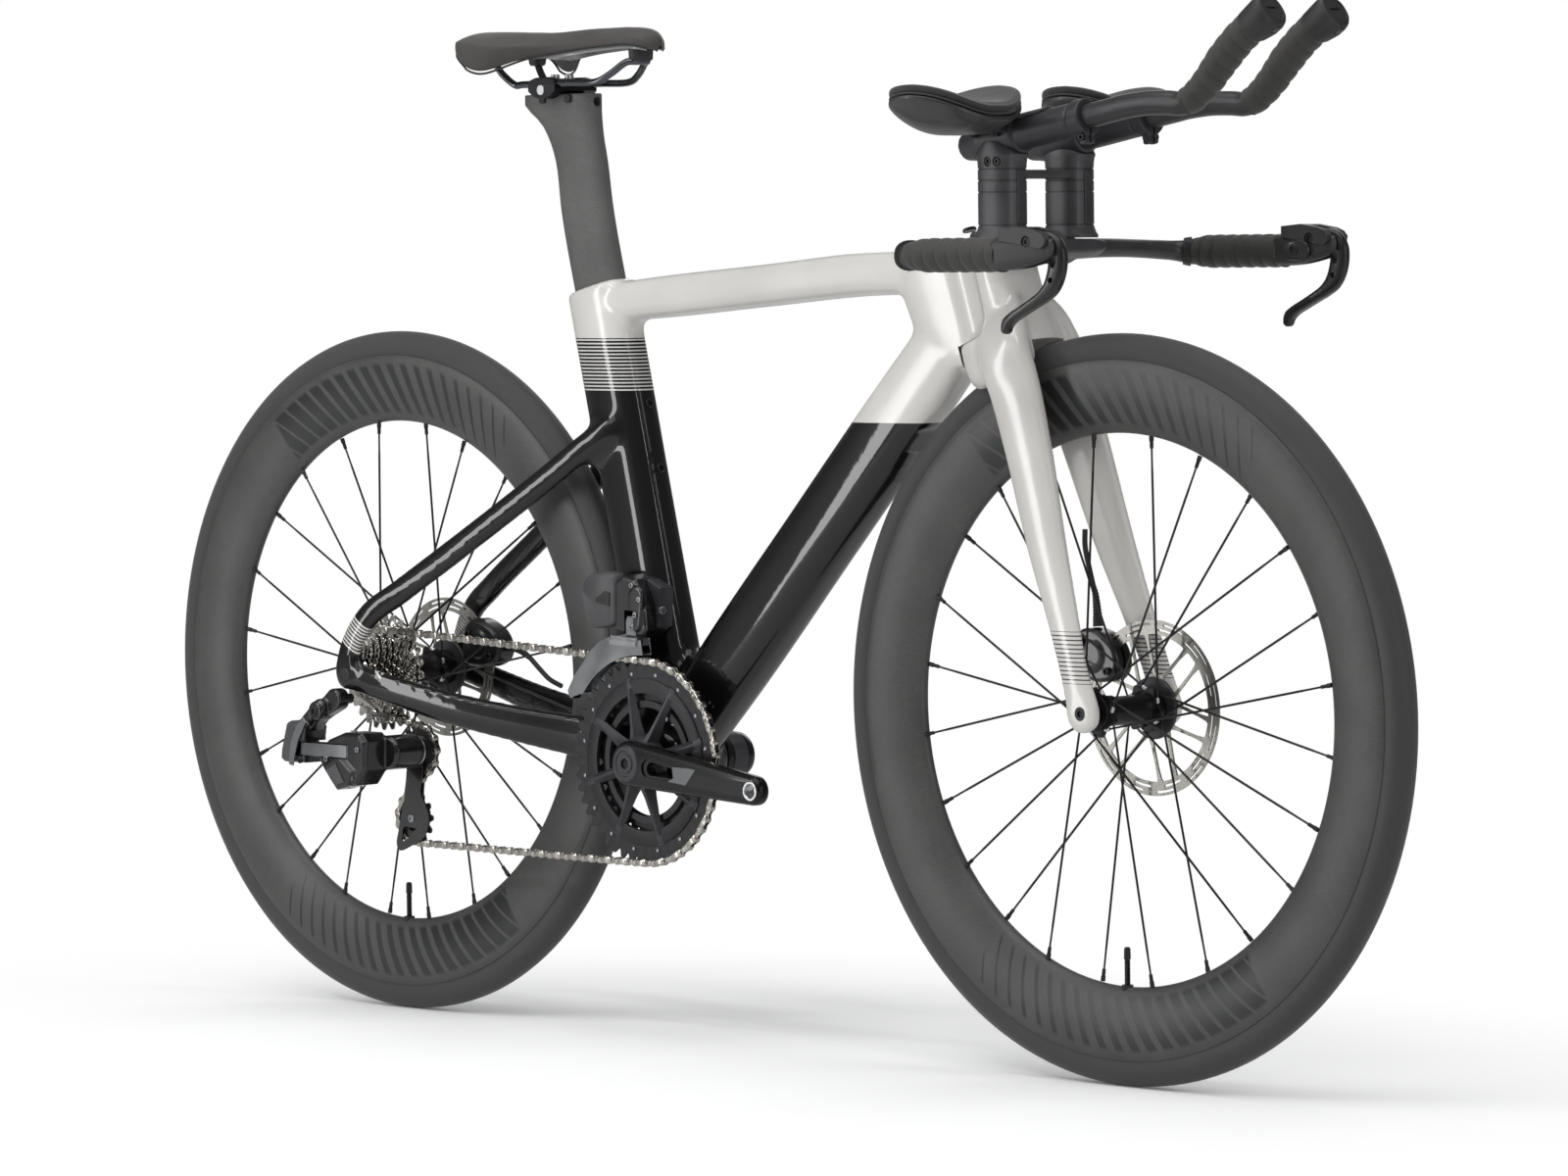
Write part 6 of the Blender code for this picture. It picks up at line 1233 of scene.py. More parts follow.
carve(fork_skin, disc, FRONT_X, AXLE_Z, AXLE_BORE, -70, 70)
print("fork skin:", len(fork_skin.data.polygons), "faces")

# %% [markdown]
# Each wheel is held by a hollow axle that is turned and screwed in from the left, with a six-sided
# socket in its head.

# %% Thru axles and their hex sockets
for end, x, half, body in (("front", FRONT_X, 50, "steering"), ("rear", REAR_X, 71, "frame")):
    bm = bmesh.new()
    out = half + 10
    turned(
        bm, x, AXLE_Z,
        [
            (6, 1.6 - out), (6, out + 0.2), (10, out + 0.3), (10, out + 1.6), (9, out + 3.2),
            (4.4, out + 3.4),
        ],
        40,
    )
    finish_piece(end + "_axle", bm, black_bolt, body, replaces=[end + "_thru_axle"])
    bm = bmesh.new()
    spot = Vector((x, out + 3, AXLE_Z))
    socket_bolt(bm, spot, SIDE, 5.4, 0.9, 24)
    turned(
        bm, x, AXLE_Z, [(3.2, -out + 0.9), (6.3, -out + 0.9), (6.3, -out + 0.1), (3.2, -out + 0.1)], 40,
        closed=True,
    )
    finish_piece(end + "_axle_ends", bm, black_bolt, body)
print("axles seated in both dropouts")

# %% [markdown]
# ## Padding
#
# Foam under a knit cover isn't a machined shape. The cover is stretched over the block, so the
# top of a pad swells while its rim stays drawn in by the hem. A short cloth simulation with air
# pressure inside finds that swell. It runs on a coarse copy, and the fine mesh follows the copy,
# so the hem and the channel stay crisp.

# %% Swell of a padded piece
SWELL_FRAMES = 20


def inflate(piece, cap):
    """Blows a coarse copy up as cloth and moves the piece's own points after it. cap is in mm."""
    scene = bpy.context.scene
    coarse = bpy.data.objects.new(piece.name + "_air", piece.data.copy())
    scene.collection.objects.link(coarse)
    even = coarse.modifiers.new("even_grid", "REMESH")
    even.mode = "VOXEL"
    even.voxel_size = 3.5 * MM
    mesh = bpy.data.meshes.new_from_object(coarse.evaluated_get(bpy.context.evaluated_depsgraph_get()))
    coarse.modifiers.clear()
    coarse.data = mesh
    held = coarse.vertex_groups.new(name="held")
    held.add([v.index for v in mesh.vertices if v.normal.z < 0.25], 1, "REPLACE")
    cloth = coarse.modifiers.new("cover", "CLOTH")
    cloth.settings.vertex_group_mass = "held"
    cloth.settings.use_pressure = True
    cloth.settings.uniform_pressure_force = 4
    cloth.settings.effector_weights.gravity = 0
    for frame_number in range(1, SWELL_FRAMES + 1):
        scene.frame_set(frame_number)
    blown = coarse.evaluated_get(bpy.context.evaluated_depsgraph_get()).data
    moves = [after.co - before.co for after, before in zip(blown.vertices, mesh.vertices)]
    reach = max(move.length for move in moves)
    share = min(1, cap * MM / reach) if reach else 0
    tree = KDTree(len(moves))
    for index, vertex in enumerate(mesh.vertices):
        tree.insert(vertex.co, index)
    tree.balance()
    for vertex in piece.data.vertices:
        near = [(moves[index], 1 / (gap + 0.3 * MM)) for _, index, gap in tree.find_n(vertex.co, 8)]
        total = sum(weight for _, weight in near)
        vertex.co += sum((move * weight for move, weight in near), Vector()) * (share / total)
    bpy.data.objects.remove(coarse)
    scene.frame_set(1)
    return reach / MM


print("padding swells by cloth pressure over", SWELL_FRAMES, "frames")

# %% [markdown]
# ## Seatpost and saddle
#
# The aero post is wide in side view and its back is cut square for clean airflow. It spreads at
# the top into a head with a round window for the clamp bolts. The saddle is a padded cover over a
# nylon shell, with a channel down its middle, on two bent rails.

# %% Seatpost
CLAMP_X, CLAMP_Z = -247, 921
WINDOW_Z = 935
post_carbon = carbon("matte_carbon_post", "595958", 0.55)
bm = bmesh.new()
rings = []
post_table = [
    (seat_x(560), 560, 62.5, 26, 1), (seat_x(700), 700, 62.5, 26, 1), (seat_x(800), 800, 62.8, 26, 1),
    (CLAMP_X + 25, 852, 64, 26, 0), (CLAMP_X + 19.5, 868, 67.5, 27, 0), (CLAMP_X + 13, 883, 76, 29, 0),
    (CLAMP_X + 5, 894, 90, 31, 0), (CLAMP_X + 1, 901, 98, 32, 0), (CLAMP_X + 1, 910, 98, 32, 0),
    (CLAMP_X + 1, 911, 96.5, 30.5, 0),
]
fine_rows = stations([(x, 0, z, d, w, lean) for x, z, d, w, lean in post_table[:7]], 40)
fine_rows = [(row[0], row[2], row[3], row[4], row[5]) for row in fine_rows] + post_table[7:]
for x, z, depth, width, lean in fine_rows:
    way = AHEAD.lerp(SEAT_AHEAD, min(1, max(0, lean))).normalized()
    ring = section(Vector((x, 0, z)), way, SIDE, depth, width, 64, 2.9)
    # The tail is cut nearly flat: what lies too far behind the middle is drawn forward.
    flat = []
    for p in ring:
        back = -(p - Vector((x, 0, z))).dot(way)
        hollow = max(0, back - depth * 0.455)
        flat.append(p + way * hollow * 0.9)
    rings.append(flat)
loft(bm, rings)
post = finish_piece(
    "aero_post", bm, post_carbon, "seatpost", replaces=["seatpost"], sharp=50,
)
carve(post, turned, CLAMP_X, WINDOW_Z, [(28.5, -40), (28.5, 40)], 96)
carve(post, loft, [
    section(Vector((x, 0, 903)), SIDE, UP, 9.6, 9.6, 32, 2)
    for x in (CLAMP_X + 34, CLAMP_X + 60)
])
print("post:", len(post.data.polygons), "faces")

# %% [markdown]
# The rails are held by a machined cradle in the post's round window and a pair of claws above it.
# Both are drawn whole, and the bores for the rails are cut out of them, as a mill would do it.

# %% Clamp and rails
RAIL_REAR, RAIL_FRONT = -66, 112


def rail_bores(bm):
    for side in (-1, 1):
        route = [Vector((CLAMP_X + reach, side * 22, CLAMP_Z)) for reach in (-60, 0, 60)]
        swept(bm, route, 3.8, 24)


bm = bmesh.new()
turned(bm, CLAMP_X, WINDOW_Z, [(28.2, -28), (28.2, 28)], 128)
cradle = finish_piece(
    "rail_cradle", bm, anodised_black, "saddle_clamp", replaces=["saddle_cradle"], bevel=0.7,
)
cuts = bmesh.new()
plate(cuts, oblong(CLAMP_X - 19, 901, CLAMP_X + 19, CLAMP_Z - 0.3), -28, 28)
cut_with(cradle, cuts, "INTERSECT")
carve(cradle, rail_bores)
for y in (-15, 0, 15):
    carve(cradle, plate, oblong(CLAMP_X - 12, 906, CLAMP_X + 12, 917), y - 4.5, y + 4.5)
bm = bmesh.new()
for side in (-1, 1):
    rings = []
    for out, lift, half in (
        (10.5, 0, 12), (13, 1.2, 15), (22, 2, 18.5), (27, 1.4, 18.5), (28, 0.4, 17.5),
    ):
        arch = [
            (-half, 0.3), (half, 0.3), (half, 3.2), (half * 0.5, 4.6 + lift), (-half * 0.5, 4.6 + lift),
            (-half, 3.2),
        ]
        rings.append([Vector((CLAMP_X + dx, side * out, CLAMP_Z + dz)) for dx, dz in arch])
    loft(bm, rings)
loft(bm, [section(Vector((CLAMP_X, y, CLAMP_Z + 3)), AHEAD, UP, 15, 5, 24, 2.6) for y in (-11, 0, 11)])
cap = finish_piece(
    "rail_claws", bm, anodised_black, "saddle_clamp", replaces=["saddle_clamp_cap"], bevel=0.5,
)
carve(cap, rail_bores)

bm = bmesh.new()
for x in (CLAMP_X - 10, CLAMP_X + 10):
    socket_bolt(bm, Vector((x, 0, CLAMP_Z + 5)), UP, 4.3, 4.5, 24)
turned(bm, CLAMP_X, CLAMP_Z - 6, [(5, -29.5), (5, 29.5)], 32)
finish_piece("clamp_bolts", bm, silver_alloy, "saddle_clamp", bevel=0.3)

rail_chrome = fine_finish("dark_chrome_rail", "55565A", 0.22, metallic=1, grain=700, rise=0.02, worn=0.1)
# The left rail from its rear end to the nose: ahead of the clamp, to the left, above the clamp.
rail_half = [
    (RAIL_REAR, 28, 22), (-58, 26, 11), (-44, 22, 0), (-30, 22, 0), (30, 22, 0),
    (70, 22, 0), (88, 19, 7), (104, 13, 18), (RAIL_FRONT, 7, 19),
]
bm = bmesh.new()
route = [Vector((CLAMP_X + dx, y, CLAMP_Z + dz)) for dx, y, dz in rail_half]
route += [Vector((p.x, -p.y, p.z)) for p in reversed(route)]
swept(bm, smooth_route(route, 2), 3.5, 24)
finish_piece("saddle_rail", bm, rail_chrome, "saddle", replaces=["saddle_rails"])
print("clamp and rails done")

# %% [markdown]
# Cover, shell and hem share one shape, so it is written once as functions of the share of the
# length: how wide the saddle is, how high its crown stands and how far its edge drops.

# %% Shape of the saddle
SADDLE_TAIL, SADDLE_NOSE = -350, -108
SADDLE_TOP = 966


def tail_lift(share):
    """How much higher the rim of the saddle sits near its wide, flat tail."""
    return 9 * (1 - share) * max(0, 1 - share / 0.26)


def saddle_shape(share):
    """Half-width, crown height and edge drop from tail to nose."""
    waist = 66 * (0.27 + 0.73 / (1 + math.exp((share - 0.34) * 15)))
    nose = math.sqrt(max(0, 1 - (max(0, share - 0.9) / 0.101) ** 2))
    rear = math.sqrt(max(0, 1 - (max(0, 0.1 - share) / 0.104) ** 2))
    half = waist * max(0.2, nose) * max(0.45, rear)
    dip = math.exp(-(((share - 0.42) / 0.16) ** 2))
    crown = SADDLE_TOP + 8.2 - 2.4 * dip - 7 * max(0, (share - 0.82) / 0.18) ** 2
    return half, crown, 9 + 9 * (1 - share) - tail_lift(share)


def saddle_top(share, across):
    """Crowned surface with the pressure channel down its middle."""
    _, crown, drop = saddle_shape(share)
    channel = math.exp(-((across / 0.2) ** 2)) * 6 * math.sin(math.pi * min(
        1, max(0, (share - 0.04) / 0.88),
    ))
    return crown - drop * abs(across) ** 2.6 - channel


def saddle_under(share, across):
    _, crown, drop = saddle_shape(share)
    return crown - drop * abs(across) ** 2.6 - 14 + 5 * share


print("saddle: length", SADDLE_NOSE - SADDLE_TAIL, "mm, width", 2 * saddle_shape(0.12)[0])

# %% [markdown]
# The cover is knit cloth over foam. Its sections are drawn with a crown, a channel down the
# middle, a rolled edge and a skirt, and the cloth pressure then swells its top.

# %% Saddle cover
def saddle_section(share):
    """One cross-section of the padded cover: crowned top, rolled edge, skirt and underside."""
    half, crown, drop = saddle_shape(share)
    x = SADDLE_TAIL + share * (SADDLE_NOSE - SADDLE_TAIL)
    end = max(0, (share - 0.93) / 0.07, (0.06 - share) / 0.06)
    fall = (7 if share > 0.5 else 5) * (1 - math.sqrt(max(0, 1 - min(1, end) ** 2)))
    wing = math.exp(-(((share - 0.2) / 0.15) ** 2)) * min(1, max(0, share - 0.015) / 0.12)
    skirt = 7 + 19 * wing + tail_lift(share) * min(1, share / 0.22) - 0.5 * fall
    brim = saddle_top(share, 1)
    points = [(half * t, saddle_top(share, t) - fall) for t in np.linspace(-0.95, 0.95, 41)]
    rim = [(0.985, 0.6), (1, -1.6), (1.004, -0.45 * skirt), (0.992, -0.85 * skirt), (0.965, -skirt)]
    points += [(half * t, brim - fall + lift) for t, lift in rim]
    points += [
        (half * t, min(saddle_under(share, t), brim - 1) - 0.4 * fall)
        for t in np.linspace(0.9, -0.9, 19)
    ]
    points += [(-half * t, brim - fall + lift) for t, lift in reversed(rim)]
    return [Vector((x, y, z)) for y, z in points]


saddle_cloth = fine_finish(
    "saddle_cover_microfibre", "3A3735", 0.6, grain=2400, rise=0.25, spread=0.08, sheen=0.3,
)
bm = bmesh.new()
shares = [0.5 - 0.5 * math.cos(math.pi * i / 72) for i in range(73)]
loft(bm, [saddle_section(share) for share in shares])
cover = finish_piece(
    "padded_cover", bm, saddle_cloth, "saddle", replaces=["saddle_cover"], sharp=70, subdivide=1,
)
blown = inflate(cover, 1.2)
print("cover swell: cloth moved", round(blown, 2), "mm, kept to 1.2 mm")
print("saddle cover: crown", round(saddle_top(0.1, 0.45)), "mm above the ground")

# %% [markdown]
# Under the cover lies a moulded nylon shell. It follows the same shape a little lower down, and
# three sockets on its underside hold the ends of the rails.

# %% Saddle shell
bm = bmesh.new()
rings = []
for share in np.linspace(0.025, 0.965, 60):
    half = 0.93 * (saddle_shape(share)[0] - 2)
    x = SADDLE_TAIL + share * (SADDLE_NOSE - SADDLE_TAIL)
    across = np.linspace(-0.95, 0.95, 25)
    top = [Vector((x, half * t, saddle_under(share, t * 0.93) - 0.9)) for t in across]
    base = [p + Vector((0, 0, -3.2)) for p in reversed(top)]
    rings.append(top + base)
loft(bm, rings)
shell_grey = fine_finish("moulded_shell_grey", "8A8A8B", 0.34, grain=700, rise=0.04, coat=0.3)
finish_piece("saddle_base_shell", bm, shell_grey, "saddle", replaces=["saddle_shell"], sharp=45)
bm = bmesh.new()
for side in (-1, 1):
    share = (CLAMP_X + RAIL_REAR - SADDLE_TAIL) / (SADDLE_NOSE - SADDLE_TAIL)
    top = saddle_under(share, 0.5) - 2
    plinth = [(z, grow) for z, grow in ((top - 16, 0.8), (top - 14, 1), (top, 1.25))]
    loft(bm, [
        section(Vector((CLAMP_X + RAIL_REAR, side * 28, z)), AHEAD, SIDE, 14 * g, 15 * g, 24, 3)
        for z, g in plinth
    ])
share = (CLAMP_X + RAIL_FRONT - SADDLE_TAIL) / (SADDLE_NOSE - SADDLE_TAIL)
top = saddle_under(share, 0.3) - 1
plinth = ((top - 22, 0.8), (top - 20, 1), (top, 1.1))
loft(bm, [
    section(Vector((CLAMP_X + RAIL_FRONT, 0, z)), AHEAD, SIDE, 14 * g, 26 * g, 24, 3)
    for z, g in plinth
])
finish_piece("rail_sockets", bm, nylon_black, "saddle", bevel=0.6)
print("saddle shell: 3.2 mm nylon with three rail sockets")

# %% [markdown]
# ## Cockpit
#
# A flat base bar carries two grips for climbing and two towers for the forearm rests. The grips
# are wound with padded tape: each turn overlaps the last, so the tape bulges between its seams.

# %% Padded tape
grip_tape = fine_finish("padded_bar_tape", "302F2D", 0.62, grain=1900, rise=0.22, spread=0.08, sheen=0.25)
tree = grip_tape.node_tree
shader = tree.nodes["Principled BSDF"]
# Painted shade: the base colour is darkened in the hollow seams between the turns of tape, where shade falls
# in the creases.
folds = add_node(tree, "NewGeometry").outputs["Pointiness"]
seam = add_node(tree, "MapRange", {
    "Value": folds, "From Min": 0.44, "From Max": 0.492, "To Min": 0.12, "To Max": 1,
})
plain = shader.inputs["Base Color"].links[0].from_socket
shaded = add_node(tree, "VectorMath", {0: plain, "Scale": seam}, operation="SCALE")
feed(shader, {"Base Color": shaded})


def wound(bm, route, radii, turn, thickness, start, count=64):
    """A bar wound with tape. turn is the distance from one seam to the next along the bar."""
    reach, rings = reach_along(route), []
    for i, (centre, across, third) in enumerate(ways_across(route)):
        ends = min(1, reach[i] / 4 + 0.55, (reach[-1] - reach[i]) / 4 + 0.55)
        ring = []
        for k, a in enumerate(angles(count)):
            lap = (reach[i] / turn + k / count + start) % 1
            bulge = math.sin(math.pi * lap) ** 0.3 * (0.6 + 0.4 * lap)
            r = (radii[i] - thickness + thickness * bulge) * ends
            ring.append(centre + (across * math.cos(a) + third * math.sin(a)) * r)
        rings.append(ring)
    loft(bm, rings)


print("tape: seams pull in by the tape's own thickness")

# %% [markdown]
# Bar and stem are one anodised piece with soft inside corners, so it is melted together in the
# same way as the frame. The grips are wound on its forward ends.

# %% Base bar and stem
BAR_X = 392
GRIP_X, GRIP_Y = 406, 187
bar_black = fine_finish("anodised_bar_black", "3A3A3C", 0.4, metallic=0.25, grain=1600, rise=0.05)


def draw_wing(bm):
    half = [
        (388, 40, 755.5, 30, 19), (392, 70, 756.3, 24, 18), (392, 160, 754, 22, 18),
        (396, 176, 753, 23, 19), (404, 184, 752, 24, 22), (414, 187, 752, 27, 26),
    ]
    for side in (-1, 1):
        rows = stations([(x, side * y, z, d, w) for x, y, z, d, w in half], 40)
        rings = []
        for i, row in enumerate(rows):
            after, before = rows[min(i + 1, 39)], rows[max(i - 1, 0)]
            along = Vector(after[:3] - before[:3]).normalized()
            flat = (along.cross(UP)).normalized()
            rings.append(section(Vector(row[:3]), flat, flat.cross(along), row[3], row[4], 40, 2.3))
        loft(bm, rings)
    swept(bm, [Vector((388, y, 755.5)) for y in (-42, -20, 20, 42)], 9.5, 40, 1.4)


def draw_stem(bm):
    # From the rear to the front: x, width and the height of the underside.
    rows = [
        (314, 26, 759), (322, 42, 758), (336, 58, 758), (348, 78, 757.5), (357, 104, 749),
        (374, 132, 747), (406, 132, 747.5), (419, 118, 753),
    ]
    rings = []
    for x, width, low in rows:
        high = 773.5 if x < 352 else 765.4
        rings.append(section(Vector((x, 0, (low + high) / 2)), SIDE, UP, width, high - low, 48, 4))
    loft(bm, rings)


stem_skin = moulded(
    "base_bar_skin", [draw_wing, draw_stem], corner=3, voxel=1.5, rounds=6, material=bar_black,
    body="steering", node="base_bar",
)
print("base bar:", len(stem_skin.data.polygons), "faces")

bm = bmesh.new()
for side in (-1, 1):
    route = [Vector((GRIP_X + i * 0.6, side * GRIP_Y, 752)) for i in range(198)]
    girth = [15.8 - 4.6 * max(0, 1 - (p.x - GRIP_X) / 26) ** 1.6 for p in route]
    wound(bm, route, girth, side * 15, 2.2, start=0.2 * side)
    back = Vector((408.5, side * GRIP_Y, 752))
    loft(bm, [
        section(back + AHEAD * dx, SIDE, UP, 2 * r, 2 * r, 48, 2)
        for dx, r in ((-5, 4), (-4.4, 7), (-2.6, 9), (0.5, 10.2), (4, 10.6))
    ])
finish_piece("bar_grip_tape", bm, grip_tape, "steering", sharp=60)
bm = bmesh.new()
for side in (-1, 1):
    band = Vector((404.5, side * 183.6, 752.2))
    way = Vector((0.75, side * 0.6, -0.05)).normalized()
    flat = way.cross(UP).normalized()
    loft(bm, [
        section(band + way * s, flat, flat.cross(way), d, w, 40, 2.3)
        for s, d, w in ((-3.5, 27, 24.4), (-3, 27.8, 25.4), (3, 29.6, 27.4), (3.5, 28.8, 26.8))
    ])
finish_piece("grip_end_bands", bm, satin_black_alloy, "steering")
bm = bmesh.new()
socket_bolt(bm, Vector((BAR_X - 22, 0, 765.2)), UP, 5, 3, 24)
steer_up = Vector((-math.cos(HEAD_ANGLE), 0, math.sin(HEAD_ANGLE)))
socket_bolt(bm, steer_point(773.4), steer_up, 6.5, 2.6, 24)
finish_piece("stem_bolts", bm, black_bolt, "steering")
print("grips wound, stem bolted")

# %% [markdown]
# The forearm rests stand on two stacks of spacers with a bridge between them. Each stack is one
# loft with thin grooves for the seams, because the spacers are clamped together and move as one.

# %% Towers
TOWER_X, TOWER_Y = 386, 44.5
BRIDGE_Z, RISER_BOLT_Z = 824, 835.6
ARM_Z = 857
ARM_SLOPE = math.radians(9.5)
ARM_UP = Vector((-math.sin(ARM_SLOPE), 0, math.cos(ARM_SLOPE)))
ARM_Y = 42
tower_black = fine_finish("anodised_tower_black", "4A4A4C", 0.42, metallic=0.4, grain=1600, rise=0.04)


def arm_point(x, side, lift=0):
    """A point on the axis of a forearm extension's straight part."""
    return Vector((x, side * ARM_Y, ARM_Z + (x - TOWER_X) * math.tan(ARM_SLOPE))) + ARM_UP * lift


def arm_rings(bm, side, rows, count=48, lift=0):
    """Round rings about the arm's axis from (x, diameter) rows."""
    loft(bm, [section(arm_point(x, side, lift), ARM_UP, SIDE, d, d, count, 2) for x, d in rows])


for side, hand in HANDS:
    bm = bmesh.new()
    # (height, depth, width): the foot flares, thin seams part the spacers, and the cradle spreads.
    rows = [(766, 54, 39), (768.5, 54, 39), (771, 50.5, 37), (775, 47, 34.8), (777, 46, 34)]
    for seam in (778, 808, 818.5, 829):
        rows += [
            (seam - 0.7, 46, 34), (seam - 0.35, 44.6, 32.6), (seam + 0.35, 44.6, 32.6),
            (seam + 0.7, 46, 34),
        ]
    rows += [
        (834, 46.2, 34.2), (838, 47.6, 34.8), (840.5, 50, 35.4), (842, 50.4, 35.6), (846, 45, 35.2),
        (850, 38, 34.8), (853, 30, 34),
    ]
    loft(bm, [
        section(Vector((TOWER_X, side * TOWER_Y, z)), AHEAD, SIDE, d, w, 64, 2.7)
        for z, d, w in rows
    ])
    tower = finish_piece(
        hand + "_riser", bm, tower_black, "steering", replaces=[hand + "_tower"], sharp=30,
    )
    carve(tower, arm_rings, side, [(340, 37.2), (432, 37.2)], 64)
    cuts = bmesh.new()
    out = side * (TOWER_Y + 17.6)
    for dx in (-2, 8.6):
        ends = [
            Vector((TOWER_X + dx, out - side * 3, RISER_BOLT_Z)),
            Vector((TOWER_X + dx, out + side * 4, RISER_BOLT_Z)),
        ]
        loft(cuts, [section(p, AHEAD, UP, 8.8, 8.8, 32, 2) for p in ends])
    cut_with(tower, cuts)
    bm = bmesh.new()
    ends = [(779, 1.6, 9), (779.6, 2.6, 10), (827.4, 2.6, 10), (828, 1.6, 9)]
    loft(bm, [
        section(Vector((TOWER_X + 22.7, side * TOWER_Y, z)), AHEAD, SIDE, d, w, 32, 5)
        for z, d, w in ends
    ])
    finish_piece(hand + "_riser_strip", bm, bar_black, "steering")
    bm = bmesh.new()
    for dx in (-2, 8.6):
        socket_bolt(
            bm, Vector((TOWER_X + dx, out - side * 2.9, RISER_BOLT_Z)), (0, side, 0), 3.7, 1.9, 24,
        )
    finish_piece(hand + "_riser_bolts", bm, black_bolt, "steering")

bm = bmesh.new()
for x in (374, 398):
    loft(bm, [
        section(Vector((x, y, BRIDGE_Z)), AHEAD, UP, 7, 8, 24, 3.2)
        for y in np.linspace(-36.5, 36.5, 9)
    ])
loft(bm, [section(Vector((x, 0, BRIDGE_Z)), SIDE, UP, 8, 7, 24, 3.4) for x in (372, 400)])
finish_piece("riser_bridge", bm, tower_black, "steering", replaces=["tower_bridge"])
bm = bmesh.new()
for side in (-1, 1):
    turned(bm, TOWER_X, BRIDGE_Z, [(4.4, side * 5), (4.4, side * 6.6), (2, side * 6.6)], 6)
finish_piece("bridge_nuts", bm, black_bolt, "steering")
print("towers, seams and bridge done")

# %% [markdown]
# Each clamp is a split sleeve round the forearm extension. The ears and the sleeve are cast in
# one, so they are melted together before the bore and the slit are cut.

# %% Extension clamps
# Where the two ears of the clamp are pulled together by its bolt.
EAR_X = 485.5
for side, hand in HANDS:
    bm = bmesh.new()
    arm_rings(
        bm, side,
        [
            (340, 24), (342, 25.6), (350, 29), (358, 33.4), (364, 35.4), (366, 36), (408, 36),
            (409, 35.4), (410, 31.6), (474, 30.6), (475, 29.2), (476.8, 29.2), (477.6, 33.4), (490, 33.4),
            (491, 32.2),
        ],
        64,
    )
    for y0, y1 in ((1.2, 6), (-6, -1.2)):
        rings = []
        for lift, half in ((-24.5, 4.5 - 2.2 * 0.6), (-23, 4.5 - 0.6 * 0.6), (-19.5, 4.5), (-10, 4.5)):
            rings.append([
                arm_point(EAR_X + dx, side, lift) + SIDE * y
                for dx, y in oblong(-half, y0, half, y1)
            ])
        loft(bm, rings)
    clamp = finish_piece(
        hand + "_arm_clamp", bm, satin_black_alloy, "steering", replaces=[hand + "_extension_clamp"],
        sharp=35,
    )
    melt(clamp, 0.9)
    relax(clamp, 3)
    carve(clamp, arm_rings, side, [(343.5, 22.6), (600, 22.6)], 64)
    cuts = bmesh.new()
    tread = [arm_point(x, side, lift) for x, lift in ((470, -30), (496, -30), (496, -9), (470, -9))]
    plate(cuts, [(p.x, p.z) for p in tread], side * ARM_Y - 1, side * ARM_Y + 1)
    cut_with(clamp, cuts)
    # A tongue of the clamp lies along the top of its sleeve.
    bm = bmesh.new()
    rings = []
    for x, outer, spread in ((398, 17.7, 44), (440, 17.5, 40), (446, 17.3, 30), (447, 16.6, 27)):
        fan = [math.radians(a) for a in np.linspace(-spread, spread, 17)]
        ring = [
            arm_point(x, side) + ARM_UP * outer * math.cos(a) + SIDE * outer * math.sin(a)
            for a in fan
        ]
        ring += [
            arm_point(x, side) + ARM_UP * 14.6 * math.cos(a) + SIDE * 14.6 * math.sin(a)
            for a in reversed(fan)
        ]
        rings.append(ring)
    loft(bm, rings)
    finish_piece(hand + "_clamp_tongue", bm, satin_black_alloy, "steering", bevel=0.4)
    # The arm that carries the cup reaches out sideways from the clamp.
    bm = bmesh.new()
    rows = [
        (34, 40, 7), (44, 46, 8), (60, 50, 9), (84, 52, 9), (104, 50, 8.6), (109, 46, 7), (110.5, 40, 4),
    ]
    loft(bm, [
        section(Vector((380, side * y, 865.4)), AHEAD, UP, depth, thick, 48, 4)
        for y, depth, thick in rows
    ])
    finish_piece(hand + "_cup_arm", bm, satin_black_alloy, "steering")
    bm = bmesh.new()
    socket_bolt(bm, arm_point(EAR_X, side, -18) + SIDE * side * 5.8, (0, side, 0), 3.4, 2.6, 20)
    for dx in (-14, 14):
        socket_bolt(bm, Vector((380 + dx, side * 62, 861.2)), -UP, 4, 3.2, 20)
    finish_piece(hand + "_clamp_bolts", bm, black_bolt, "steering")
print("clamps done")

# %% [markdown]
# An extension is a bent aluminium tube that slides in its clamp. A smooth curve through a few
# places gives its bends, the tape is wound on its raised end, and a pod with the shift button
# closes it.

# %% Forearm extensions and their grips
extension_black = fine_finish(
    "anodised_extension_black", "333335", 0.36, metallic=0.35, grain=1500, rise=0.04,
)
GRIP_PATH = [
    (562, 884.4), (586, 884.2), (603, 883.4), (617, 888.4), (634, 902), (652, 921), (672, 939),
    (690, 951), (696, 955.2),
]
POD_ALONG = Vector((6, 0, 4.2)).normalized()
POD_DOWN = Vector((POD_ALONG.z, 0, -POD_ALONG.x))


def arm_route(side, step):
    straight = [arm_point(x, side) for x in (360, 420, 500, 520, 536)]
    return smooth_route(straight + [Vector((x, side * ARM_Y, z)) for x, z in GRIP_PATH], step)


